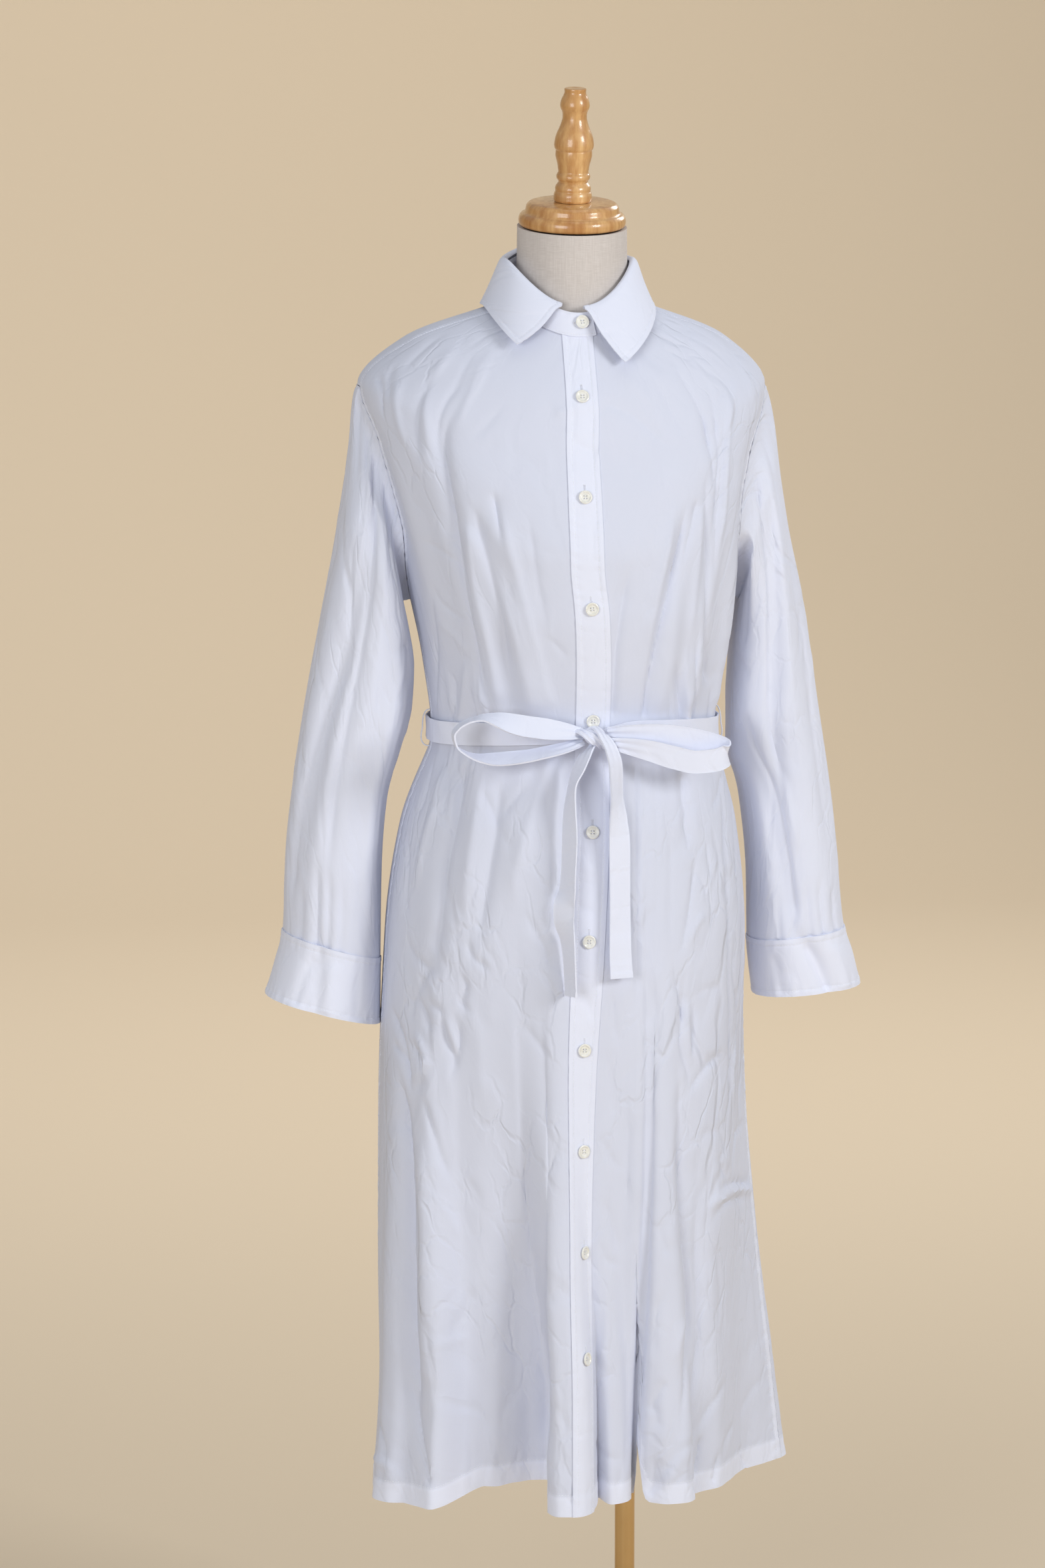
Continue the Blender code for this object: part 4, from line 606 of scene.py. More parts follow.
def body(q, v):
    """Point of the body cloth, inner face: q quarter turns from centre front, v ring number."""
    q = np.asarray(q, float)
    v = np.asarray(v, float)
    x, y, z = np.moveaxis(table_ring(LEVELS, q, v), -1, 0)
    turn = q * math.pi / 2
    front = level("y_mid", v) - level("y_front", v)
    deep = np.where(np.cos(turn) > 0, front, level("y_back", v) - level("y_mid", v))
    nx = np.sin(turn) / level("half", v)
    ny = -np.cos(turn) / deep
    out = np.hypot(nx, ny)
    high = rise(q, v)
    x = x + high * nx / out
    y = y + high * ny / out
    low = smooth(11.0, HEM_RING, v)
    z = z + low * drape("lift", q)
    for name, q_at, wide, lift in HEM_LIFTS:
        z = z + lift * low * np.exp(-(near(q, q_at) / wide) ** 2)
    # the deep fold is let in along the line of sight
    fold = quarter(guide("fold_x", v), v)
    mouth = FOLD_MOUTH / reach(v)
    a = near(q, fold) / mouth
    inside = np.abs(a) < 1
    across, inward = fold_wall(np.clip(a, -1, 1))
    across = across * (1 - FOLD_CLOSE * smooth(12.4, 14.6, v) * (1 - np.clip(a, -1, 1) ** 4))
    weight = guide("fold_depth", v) * inside
    slip = (across - FOLD_MOUTH * np.clip(a, -1, 1)) * inside * guide("fold_depth", v) ** 0.3
    x = x + slip * SIGHT[1] + inward * weight * SIGHT[0]
    y = y - slip * SIGHT[0] + inward * weight * SIGHT[1]
    return np.stack([x, y, z], axis=-1)


# ---------------------------------------------------------------- small folds of the body
# Creases, listed one by one: rise over the cloth (a trough below 0), half width, how much wider its
# second side is, share of its length over which it starts and ends, then its points as metres
# along the girth from centre front (the right side below 0) and height.
FRONT_CREASES = (
    ("shoulder_draw_right", -0.0018, 0.0037, 1.5, 0.30, 0.30,
     ((-0.119, 1.352), (-0.128, 1.329), (-0.132, 1.311), (-0.136, 1.286), (-0.142, 1.256))),
    ("shoulder_ridge_right", 0.0016, 0.0050, 1.2, 0.30, 0.30,
     ((-0.112, 1.372), (-0.124, 1.343), (-0.128, 1.322), (-0.126, 1.293), (-0.128, 1.263))),
    ("arm_draw_right", -0.0013, 0.0031, 1.3, 0.30, 0.30,
     ((-0.097, 1.336), (-0.109, 1.317), (-0.115, 1.293), (-0.122, 1.254))),
    ("arm_valley_right", -0.0042, 0.0050, 1.8, 0.25, 0.12,
     ((-0.093, 1.323), (-0.102, 1.304), (-0.109, 1.284), (-0.112, 1.261), (-0.112, 1.231), (-0.112, 1.198),
      (-0.109, 1.167), (-0.105, 1.131), (-0.100, 1.100), (-0.094, 1.069), (-0.086, 1.037))),
    ("bust_ridge_right", 0.0026, 0.0081, 1.0, 0.30, 0.10,
     ((-0.097, 1.231), (-0.101, 1.168), (-0.092, 1.107), (-0.079, 1.037))),
    ("bust_valley_right", -0.0028, 0.0062, 1.1, 0.20, 0.25,
     ((-0.092, 1.231), (-0.089, 1.198), (-0.083, 1.163), (-0.077, 1.126), (-0.074, 1.089),
      (-0.068, 1.048))),
    ("bust_dart_right", -0.0018, 0.0031, 0.7, 0.20, 0.50,
     ((-0.073, 1.238), (-0.072, 1.214), (-0.071, 1.186))),
    ("inner_ridge_right", 0.0018, 0.0043, 2.2, 0.20, 0.10,
     ((-0.069, 1.229), (-0.065, 1.187), (-0.058, 1.145), (-0.050, 1.102), (-0.040, 1.058),
      (-0.031, 1.032))),
    ("inner_line_right", -0.0009, 0.0025, 1.5, 0.30, 0.30,
     ((-0.047, 1.223), (-0.045, 1.169), (-0.042, 1.136), (-0.038, 1.108))),
    ("side_tuck_1", -0.0009, 0.0025, 1.6, 0.30, 0.40,
     ((-0.158, 1.192), (-0.128, 1.180), (-0.111, 1.167), (-0.105, 1.154))),
    ("side_tuck_2", -0.0013, 0.0025, 1.6, 0.30, 0.30,
     ((-0.147, 1.153), (-0.137, 1.133), (-0.118, 1.121), (-0.104, 1.117))),
    ("side_tuck_3", 0.0011, 0.0031, 1.2, 0.30, 0.30, ((-0.147, 1.116), (-0.127, 1.104), (-0.105, 1.084))),
    ("side_line_right", -0.0016, 0.0031, 1.5, 0.40, 0.10,
     ((-0.144, 1.159), (-0.151, 1.108), (-0.164, 1.027))),
    ("waist_tuck_1", -0.0017, 0.0025, 1.4, 0.40, 0.10,
     ((-0.143, 1.072), (-0.128, 1.058), (-0.127, 1.040), (-0.134, 1.016))),
    ("waist_tuck_2", 0.0016, 0.0043, 1.0, 0.30, 0.10, ((-0.111, 1.084), (-0.114, 1.052), (-0.121, 1.017))),
    ("waist_tuck_3", -0.0016, 0.0025, 1.3, 0.50, 0.05,
     ((-0.105, 1.052), (-0.101, 1.037), (-0.103, 1.017))),
    ("waist_tuck_4", -0.0014, 0.0025, 1.3, 0.50, 0.05,
     ((-0.094, 1.048), (-0.093, 1.031), (-0.096, 1.017))),
    ("waist_tuck_5", -0.0013, 0.0025, 1.3, 0.50, 0.05,
     ((-0.086, 1.045), (-0.086, 1.032), (-0.088, 1.018))),
    ("yoke_streak_1", -0.0008, 0.0025, 1.5, 0.30, 0.30,
     ((-0.135, 1.375), (-0.147, 1.362), (-0.157, 1.348), (-0.159, 1.338))),
    ("yoke_streak_2", -0.0012, 0.0025, 1.2, 0.30, 0.30,
     ((-0.178, 1.348), (-0.173, 1.332), (-0.165, 1.314))),
    ("yoke_streak_3", -0.0015, 0.0025, 1.2, 0.20, 0.30,
     ((-0.195, 1.339), (-0.179, 1.321), (-0.179, 1.297))),
    ("yoke_ridge_1", 0.0016, 0.0056, 1.0, 0.30, 0.40,
     ((-0.160, 1.342), (-0.159, 1.322), (-0.156, 1.292), (-0.148, 1.262))),
    ("chest_streak_1", 0.0008, 0.0031, 1.3, 0.30, 0.30,
     ((-0.084, 1.364), (-0.091, 1.323), (-0.096, 1.296), (-0.101, 1.287))),
    ("chest_streak_2", 0.0006, 0.0025, 1.3, 0.30, 0.30,
     ((-0.078, 1.376), (-0.084, 1.336), (-0.094, 1.307))),
    ("chest_streak_3", -0.0007, 0.0031, 1.2, 0.30, 0.40,
     ((-0.095, 1.364), (-0.103, 1.335), (-0.108, 1.313))),
    ("chest_streak_4", -0.0007, 0.0031, 1.5, 0.40, 0.40,
     ((-0.061, 1.317), (-0.074, 1.294), (-0.091, 1.279))),
    ("small_bodice_1", -0.0008, 0.0025, 1.3, 0.40, 0.40,
     ((-0.042, 1.108), (-0.030, 1.096), (-0.020, 1.082))),
    ("left_draw_1", -0.0012, 0.0031, 1.3, 0.40, 0.20,
     ((0.081, 1.363), (0.087, 1.339), (0.096, 1.315), (0.102, 1.290), (0.108, 1.261))),
    ("left_draw_2", -0.0016, 0.0025, 1.3, 0.40, 0.20,
     ((0.091, 1.321), (0.100, 1.305), (0.103, 1.285), (0.111, 1.255), (0.115, 1.230))),
    ("left_draw_3", -0.0017, 0.0025, 1.3, 0.30, 0.30,
     ((0.113, 1.340), (0.112, 1.314), (0.113, 1.289), (0.118, 1.255), (0.118, 1.218), (0.116, 1.176))),
    ("left_draw_4", -0.0014, 0.0025, 1.2, 0.30, 0.30,
     ((0.125, 1.314), (0.121, 1.284), (0.123, 1.242), (0.120, 1.194), (0.117, 1.132))),
    ("left_draw_ridge", 0.0018, 0.0037, 1.0, 0.30, 0.30,
     ((0.159, 1.339), (0.131, 1.308), (0.126, 1.278), (0.128, 1.218), (0.119, 1.163))),
    ("left_arm_valley", -0.0034, 0.0056, 1.2, 0.40, 0.10,
     ((0.101, 1.261), (0.106, 1.219), (0.110, 1.164), (0.110, 1.102), (0.123, 1.047))),
    ("left_chest_1", -0.0009, 0.0043, 1.2, 0.40, 0.40,
     ((0.055, 1.347), (0.068, 1.317), (0.077, 1.293), (0.086, 1.279))),
    ("left_chest_2", -0.0010, 0.0056, 0.8, 0.10, 0.50,
     ((0.013, 1.316), (0.039, 1.302), (0.059, 1.280), (0.072, 1.266))),
    ("left_chest_3", 0.0007, 0.0037, 1.2, 0.30, 0.30, ((0.068, 1.374), (0.119, 1.365), (0.156, 1.355))),
    ("left_chest_4", -0.0007, 0.0037, 1.2, 0.30, 0.50, ((0.044, 1.366), (0.066, 1.348), (0.087, 1.339))),
    ("left_chest_5", 0.0006, 0.0050, 1.2, 0.30, 0.50, ((0.031, 1.341), (0.049, 1.322), (0.061, 1.303))),
    ("left_fold_dark", -0.0040, 0.0037, 1.8, 0.20, 0.05,
     ((0.084, 1.231), (0.082, 1.200), (0.073, 1.160), (0.063, 1.125), (0.055, 1.097), (0.048, 1.061),
      (0.044, 1.021))),
    ("left_fold_ridge", 0.0026, 0.0056, 1.0, 0.25, 0.05,
     ((0.074, 1.230), (0.067, 1.185), (0.056, 1.137), (0.046, 1.075), (0.041, 1.022))),
    ("left_fold_second", -0.0018, 0.0037, 1.2, 0.20, 0.40,
     ((0.096, 1.230), (0.090, 1.196), (0.081, 1.163))),
    ("left_fold_outer", 0.0018, 0.0050, 1.0, 0.20, 0.30,
     ((0.102, 1.228), (0.100, 1.183), (0.095, 1.134), (0.089, 1.085))),
    ("placket_shade", -0.0026, 0.0043, 1.3, 0.25, 0.05,
     ((0.034, 1.175), (0.029, 1.150), (0.024, 1.120), (0.019, 1.083), (0.018, 1.026))),
    ("left_waist_1", -0.0024, 0.0037, 1.2, 0.40, 0.05, ((0.073, 1.083), (0.080, 1.048), (0.084, 1.017))),
    ("left_waist_2", -0.0026, 0.0037, 1.2, 0.40, 0.05, ((0.101, 1.115), (0.096, 1.066), (0.100, 1.016))),
    ("left_waist_3", -0.0018, 0.0031, 1.2, 0.40, 0.05, ((0.128, 1.055), (0.128, 1.012))),
    ("left_waist_4", 0.0018, 0.0043, 1.0, 0.40, 0.05, ((0.086, 1.098), (0.087, 1.053), (0.091, 1.017))),
    ("left_waist_5", -0.0010, 0.0031, 1.2, 0.50, 0.05, ((0.066, 1.062), (0.072, 1.018))),
    ("skirt_valley_right", -0.0038, 0.0074, 1.2, 0.10, 0.30,
     ((-0.110, 0.990), (-0.120, 0.928), (-0.127, 0.892), (-0.130, 0.843), (-0.135, 0.806),
      (-0.139, 0.774))),
    ("skirt_tuck_1", 0.0020, 0.0043, 1.1, 0.15, 0.30,
     ((-0.140, 0.978), (-0.147, 0.940), (-0.155, 0.914), (-0.160, 0.888), (-0.163, 0.860))),
    ("skirt_tuck_2", -0.0016, 0.0031, 1.2, 0.20, 0.40,
     ((-0.162, 0.988), (-0.166, 0.953), (-0.179, 0.919))),
    ("skirt_tuck_3", -0.0015, 0.0031, 1.2, 0.30, 0.30,
     ((-0.195, 0.920), (-0.181, 0.885), (-0.179, 0.861), (-0.165, 0.837))),
    ("skirt_tuck_4", -0.0010, 0.0022, 1.2, 0.10, 0.40,
     ((-0.126, 0.992), (-0.117, 0.963), (-0.122, 0.937))),
    ("skirt_tuck_5", -0.0010, 0.0022, 1.2, 0.10, 0.40,
     ((-0.140, 0.990), (-0.132, 0.962), (-0.133, 0.921))),
    ("skirt_ridge_2", 0.0030, 0.0105, 1.0, 0.10, 0.40,
     ((-0.087, 1.002), (-0.094, 0.962), (-0.099, 0.926), (-0.104, 0.875), (-0.106, 0.827))),
    ("skirt_valley_2", -0.0028, 0.0062, 1.2, 0.20, 0.30,
     ((-0.076, 0.977), (-0.079, 0.931), (-0.084, 0.892), (-0.091, 0.843), (-0.097, 0.808))),
    ("skirt_thin_1", -0.0012, 0.0022, 1.3, 0.30, 0.30,
     ((-0.094, 0.965), (-0.086, 0.950), (-0.078, 0.929))),
    ("skirt_thin_2", -0.0010, 0.0022, 1.3, 0.30, 0.30,
     ((-0.050, 0.971), (-0.065, 0.953), (-0.075, 0.936))),
    ("skirt_ridge_3", 0.0024, 0.0074, 1.3, 0.10, 0.40,
     ((-0.031, 0.997), (-0.042, 0.964), (-0.053, 0.925), (-0.062, 0.887), (-0.067, 0.853))),
    ("skirt_crease_4", -0.0011, 0.0025, 1.5, 0.30, 0.30,
     ((-0.055, 0.858), (-0.044, 0.837), (-0.035, 0.818), (-0.032, 0.797))),
    ("crumple_1", -0.0014, 0.0022, 1.4, 0.30, 0.30,
     ((-0.105, 0.830), (-0.097, 0.811), (-0.087, 0.803), (-0.081, 0.796))),
    ("crumple_2", -0.0017, 0.0022, 1.4, 0.30, 0.30,
     ((-0.110, 0.800), (-0.104, 0.785), (-0.107, 0.770), (-0.097, 0.757))),
    ("crumple_3", -0.0014, 0.0025, 1.4, 0.30, 0.30,
     ((-0.173, 0.829), (-0.162, 0.811), (-0.144, 0.800), (-0.131, 0.790))),
    ("crumple_4", -0.0018, 0.0028, 1.4, 0.30, 0.30,
     ((-0.135, 0.803), (-0.148, 0.782), (-0.158, 0.765), (-0.160, 0.743))),
    ("crumple_5", -0.0018, 0.0025, 1.4, 0.30, 0.30, ((-0.156, 0.775), (-0.141, 0.754), (-0.135, 0.736))),
    ("crumple_6", -0.0024, 0.0031, 1.3, 0.20, 0.30,
     ((-0.141, 0.771), (-0.126, 0.757), (-0.122, 0.735), (-0.116, 0.719), (-0.123, 0.706))),
    ("crumple_7", -0.0016, 0.0025, 1.3, 0.30, 0.30,
     ((-0.116, 0.762), (-0.110, 0.738), (-0.114, 0.715), (-0.122, 0.693))),
    ("crumple_8", 0.0016, 0.0037, 1.0, 0.30, 0.30, ((-0.136, 0.770), (-0.119, 0.743), (-0.111, 0.710))),
    ("side_crumple_1", -0.0024, 0.0031, 1.2, 0.20, 0.30,
     ((-0.199, 0.756), (-0.173, 0.734), (-0.163, 0.705), (-0.157, 0.675))),
    ("side_crumple_2", -0.0018, 0.0025, 1.2, 0.20, 0.30,
     ((-0.190, 0.726), (-0.167, 0.711), (-0.161, 0.686))),
    ("side_crumple_3", -0.0018, 0.0025, 1.2, 0.20, 0.30,
     ((-0.163, 0.733), (-0.148, 0.714), (-0.144, 0.697), (-0.155, 0.679))),
    ("side_crumple_4", 0.0018, 0.0031, 1.0, 0.20, 0.30,
     ((-0.156, 0.740), (-0.141, 0.714), (-0.147, 0.684))),
    ("side_valley_long", -0.0055, 0.0056, 1.3, 0.15, 0.25,
     ((-0.178, 0.710), (-0.165, 0.656), (-0.160, 0.595), (-0.160, 0.521), (-0.161, 0.460), (-0.159, 0.397),
      (-0.151, 0.344))),
    ("side_ridge_long", 0.0024, 0.0056, 1.2, 0.20, 0.20,
     ((-0.146, 0.653), (-0.145, 0.585), (-0.145, 0.524), (-0.147, 0.462), (-0.147, 0.401))),
    ("sharp_line", -0.0018, 0.0022, 1.3, 0.20, 0.25,
     ((-0.144, 0.684), (-0.135, 0.653), (-0.129, 0.628), (-0.123, 0.601))),
    ("crease_below", 0.0009, 0.0031, 1.2, 0.30, 0.30, ((-0.134, 0.591), (-0.126, 0.569), (-0.120, 0.545))),
    ("soft_mid_1", -0.0009, 0.0025, 1.5, 0.30, 0.40, ((-0.057, 0.757), (-0.038, 0.731), (-0.025, 0.713))),
    ("valley_wall", -0.0034, 0.0074, 1.0, 0.30, 0.10,
     ((-0.043, 0.796), (-0.037, 0.744), (-0.035, 0.689), (-0.035, 0.628), (-0.041, 0.560), (-0.046, 0.496),
      (-0.049, 0.430), (-0.058, 0.340))),
    ("valley_rise", 0.0022, 0.0124, 1.2, 0.30, 0.30,
     ((-0.068, 0.803), (-0.062, 0.737), (-0.060, 0.662), (-0.062, 0.586), (-0.071, 0.490))),
    ("panel_crease_1", -0.0010, 0.0025, 1.4, 0.30, 0.30,
     ((-0.033, 0.659), (-0.027, 0.635), (-0.031, 0.613))),
    ("panel_crease_2", -0.0008, 0.0031, 1.4, 0.30, 0.30,
     ((-0.042, 0.409), (-0.034, 0.391), (-0.030, 0.376))),
    ("hem_left_1", -0.0016, 0.0025, 1.2, 0.30, 0.20, ((-0.230, 0.383), (-0.192, 0.361), (-0.184, 0.337))),
    ("hem_left_2", 0.0018, 0.0043, 1.1, 0.30, 0.20, ((-0.232, 0.337), (-0.185, 0.334), (-0.174, 0.310))),
    ("hem_left_3", -0.0022, 0.0028, 1.3, 0.20, 0.10,
     ((-0.169, 0.419), (-0.161, 0.386), (-0.150, 0.350), (-0.143, 0.318))),
    ("valley_soft_1", 0.0007, 0.0037, 1.5, 0.30, 0.30,
     ((-0.141, 0.449), (-0.131, 0.454), (-0.120, 0.456))),
    ("valley_soft_2", -0.0006, 0.0031, 1.5, 0.30, 0.40,
     ((-0.099, 0.452), (-0.086, 0.449), (-0.082, 0.424))),
    ("valley_soft_3", -0.0008, 0.0037, 1.5, 0.30, 0.40,
     ((-0.112, 0.607), (-0.102, 0.592), (-0.099, 0.576))),
    ("valley_soft_4", 0.0008, 0.0056, 1.5, 0.30, 0.30,
     ((-0.104, 0.785), (-0.092, 0.723), (-0.092, 0.660))),
    ("channel_left", -0.0016, 0.0028, 1.5, 0.10, 0.20,
     ((0.037, 0.996), (0.040, 0.924), (0.041, 0.863), (0.043, 0.802), (0.045, 0.753))),
    ("right_soft_1", -0.0008, 0.0031, 1.3, 0.30, 0.30,
     ((0.069, 0.943), (0.072, 0.892), (0.071, 0.843), (0.074, 0.812))),
    ("right_dark_1", -0.0022, 0.0050, 1.2, 0.10, 0.40, ((0.083, 0.975), (0.086, 0.939), (0.092, 0.899))),
    ("right_thin_1", -0.0015, 0.0022, 1.4, 0.20, 0.30,
     ((0.100, 0.901), (0.094, 0.871), (0.089, 0.840), (0.084, 0.818), (0.074, 0.807))),
    ("right_thin_2", 0.0015, 0.0031, 1.1, 0.20, 0.40, ((0.107, 0.847), (0.095, 0.831), (0.090, 0.814))),
    ("right_thin_3", -0.0010, 0.0022, 1.4, 0.30, 0.30, ((0.113, 0.913), (0.114, 0.890), (0.121, 0.873))),
    ("right_thin_4", -0.0010, 0.0022, 1.4, 0.30, 0.30, ((0.095, 0.890), (0.109, 0.868), (0.113, 0.843))),
    ("right_thin_5", -0.0013, 0.0025, 1.4, 0.10, 0.40, ((0.148, 0.968), (0.134, 0.948), (0.117, 0.937))),
    ("right_edge", -0.0022, 0.0037, 0.7, 0.15, 0.20,
     ((0.144, 0.967), (0.143, 0.929), (0.140, 0.890), (0.142, 0.848), (0.147, 0.791), (0.160, 0.727),
      (0.165, 0.670), (0.147, 0.635))),
    ("right_side_1", -0.0015, 0.0025, 1.3, 0.30, 0.30,
     ((0.181, 0.951), (0.173, 0.916), (0.166, 0.881), (0.168, 0.838))),
    ("right_side_2", -0.0015, 0.0025, 1.3, 0.30, 0.30,
     ((0.161, 0.826), (0.158, 0.790), (0.177, 0.750), (0.198, 0.714))),
    ("right_side_3", 0.0014, 0.0031, 1.1, 0.30, 0.30, ((0.182, 0.717), (0.172, 0.688), (0.183, 0.654))),
    ("right_crumple_1", -0.0019, 0.0028, 1.2, 0.30, 0.30,
     ((0.083, 0.800), (0.088, 0.769), (0.086, 0.733), (0.095, 0.703), (0.100, 0.679))),
    ("right_crumple_2", -0.0016, 0.0025, 1.2, 0.30, 0.30,
     ((0.074, 0.806), (0.084, 0.769), (0.095, 0.728))),
    ("right_crumple_3", -0.0016, 0.0025, 1.2, 0.30, 0.30,
     ((0.092, 0.775), (0.101, 0.748), (0.099, 0.704))),
    ("right_crumple_4", 0.0016, 0.0031, 1.1, 0.30, 0.30, ((0.089, 0.769), (0.095, 0.730), (0.102, 0.704))),
    ("right_diag_1", -0.0016, 0.0025, 1.5, 0.20, 0.20, ((0.151, 0.714), (0.119, 0.701), (0.098, 0.681))),
    ("right_diag_2", -0.0008, 0.0025, 1.4, 0.40, 0.40, ((0.143, 0.774), (0.114, 0.775), (0.094, 0.766))),
    ("right_valley", -0.0040, 0.0056, 1.2, 0.30, 0.20,
     ((0.081, 0.731), (0.087, 0.676), (0.088, 0.613), (0.092, 0.551), (0.099, 0.486), (0.085, 0.426),
      (0.076, 0.384), (0.073, 0.352))),
    ("right_valley_2", -0.0022, 0.0043, 1.2, 0.30, 0.20,
     ((0.109, 0.591), (0.108, 0.547), (0.110, 0.484), (0.104, 0.422), (0.087, 0.375))),
    ("right_small_1", -0.0011, 0.0025, 1.4, 0.30, 0.30, ((0.063, 0.571), (0.065, 0.549), (0.071, 0.528))),
    ("right_small_2", -0.0013, 0.0025, 1.3, 0.30, 0.30,
     ((0.065, 0.505), (0.058, 0.481), (0.055, 0.456), (0.054, 0.430))),
    ("right_small_3", 0.0014, 0.0031, 1.2, 0.30, 0.30, ((0.091, 0.476), (0.077, 0.453), (0.070, 0.429))),
    ("right_small_4", -0.0015, 0.0025, 1.2, 0.20, 0.20, ((0.062, 0.418), (0.054, 0.401), (0.049, 0.384))),
    ("right_small_5", -0.0012, 0.0025, 1.2, 0.30, 0.30, ((0.053, 0.394), (0.054, 0.379), (0.056, 0.368))),
    ("pinch_ridge", 0.0022, 0.0037, 1.2, 0.05, 0.30,
     ((0.253, 0.563), (0.171, 0.575), (0.127, 0.571), (0.116, 0.551))),
    ("pinch_dark", -0.0020, 0.0031, 1.2, 0.02, 0.30, ((0.245, 0.570), (0.170, 0.583), (0.134, 0.585))),
    ("pinch_low", -0.0016, 0.0031, 1.2, 0.10, 0.40,
     ((0.231, 0.560), (0.162, 0.567), (0.132, 0.558), (0.125, 0.541))),
    ("right_upper_1", -0.0015, 0.0025, 1.3, 0.30, 0.30,
     ((0.141, 0.643), (0.154, 0.620), (0.144, 0.608), (0.165, 0.585))),
    ("right_upper_2", -0.0016, 0.0025, 1.3, 0.20, 0.30,
     ((0.237, 0.631), (0.191, 0.626), (0.181, 0.605), (0.182, 0.581))),
    ("right_upper_3", -0.0010, 0.0031, 1.3, 0.30, 0.30, ((0.101, 0.635), (0.124, 0.640), (0.160, 0.640))),
    ("right_low_1", -0.0013, 0.0050, 1.3, 0.30, 0.30, ((0.136, 0.535), (0.144, 0.484), (0.133, 0.445))),
    ("right_low_2", -0.0013, 0.0031, 1.4, 0.30, 0.30, ((0.157, 0.401), (0.122, 0.378), (0.104, 0.356))),
    ("right_low_3", -0.0008, 0.0037, 1.4, 0.30, 0.30, ((0.257, 0.386), (0.230, 0.371), (0.204, 0.350))),
    ("right_low_4", -0.0010, 0.0031, 1.4, 0.30, 0.30, ((0.193, 0.354), (0.150, 0.337), (0.147, 0.318))),
    ("hem_right_1", -0.0024, 0.0031, 1.2, 0.20, 0.05, ((0.112, 0.356), (0.106, 0.330), (0.087, 0.307))),
    ("hem_right_2", -0.0016, 0.0028, 1.3, 0.30, 0.05, ((0.137, 0.335), (0.127, 0.305))),
    ("hem_right_3", -0.0016, 0.0028, 1.3, 0.30, 0.05, ((0.205, 0.326), (0.224, 0.302))),
    ("hem_right_4", -0.0016, 0.0028, 1.3, 0.30, 0.05, ((0.054, 0.345), (0.048, 0.306))),
    ("hem_right_5", 0.0014, 0.0043, 1.2, 0.30, 0.20, ((0.083, 0.355), (0.068, 0.335), (0.055, 0.315))),
    ("hem_right_6", -0.0012, 0.0028, 1.3, 0.30, 0.10, ((0.066, 0.349), (0.059, 0.330), (0.051, 0.310))),
    ("mid_crease_1", -0.0011, 0.0025, 1.4, 0.30, 0.30, ((0.014, 0.595), (0.022, 0.563), (0.029, 0.535))),
    ("mid_crease_2", -0.0009, 0.0025, 1.4, 0.30, 0.30, ((0.009, 0.551), (0.016, 0.531), (0.032, 0.524))),
    ("mid_crease_3", -0.0009, 0.0025, 1.4, 0.30, 0.30, ((-0.006, 0.364), (0.007, 0.346), (0.025, 0.340))),
    ("mid_crease_4", -0.0009, 0.0025, 1.4, 0.30, 0.30, ((0.012, 0.649), (0.024, 0.625), (0.034, 0.614))),
    ("mid_crease_5", -0.0011, 0.0031, 1.4, 0.30, 0.30,
     ((0.036, 0.686), (0.039, 0.649), (0.037, 0.608), (0.039, 0.567))),
    ("mid_crease_6", -0.0009, 0.0025, 1.4, 0.30, 0.30, ((0.021, 0.784), (0.025, 0.748), (0.030, 0.729))),
    ("mid_crease_7", -0.0008, 0.0031, 1.4, 0.30, 0.30, ((0.016, 0.736), (0.023, 0.698), (0.026, 0.650))),
    ("placket_1", 0.0010, 0.0037, 1.3, 0.20, 0.20, ((-0.026, 1.305), (-0.005, 1.310), (0.011, 1.314))),
    ("placket_2", -0.0007, 0.0025, 1.3, 0.20, 0.20, ((-0.017, 1.359), (-0.004, 1.365), (0.010, 1.366))),
    ("placket_3", -0.0008, 0.0031, 1.3, 0.20, 0.20, ((-0.007, 1.282), (0.004, 1.272), (0.012, 1.270))),
    ("placket_4", 0.0007, 0.0043, 1.3, 0.30, 0.30, ((-0.011, 0.902), (-0.003, 0.895), (0.006, 0.889))),
    ("placket_5", -0.0008, 0.0031, 1.3, 0.30, 0.30, ((-0.012, 0.865), (-0.002, 0.856), (0.008, 0.858))),
    ("placket_6", -0.0008, 0.0031, 1.3, 0.30, 0.30, ((-0.010, 0.787), (-0.001, 0.774), (0.006, 0.755))),
)
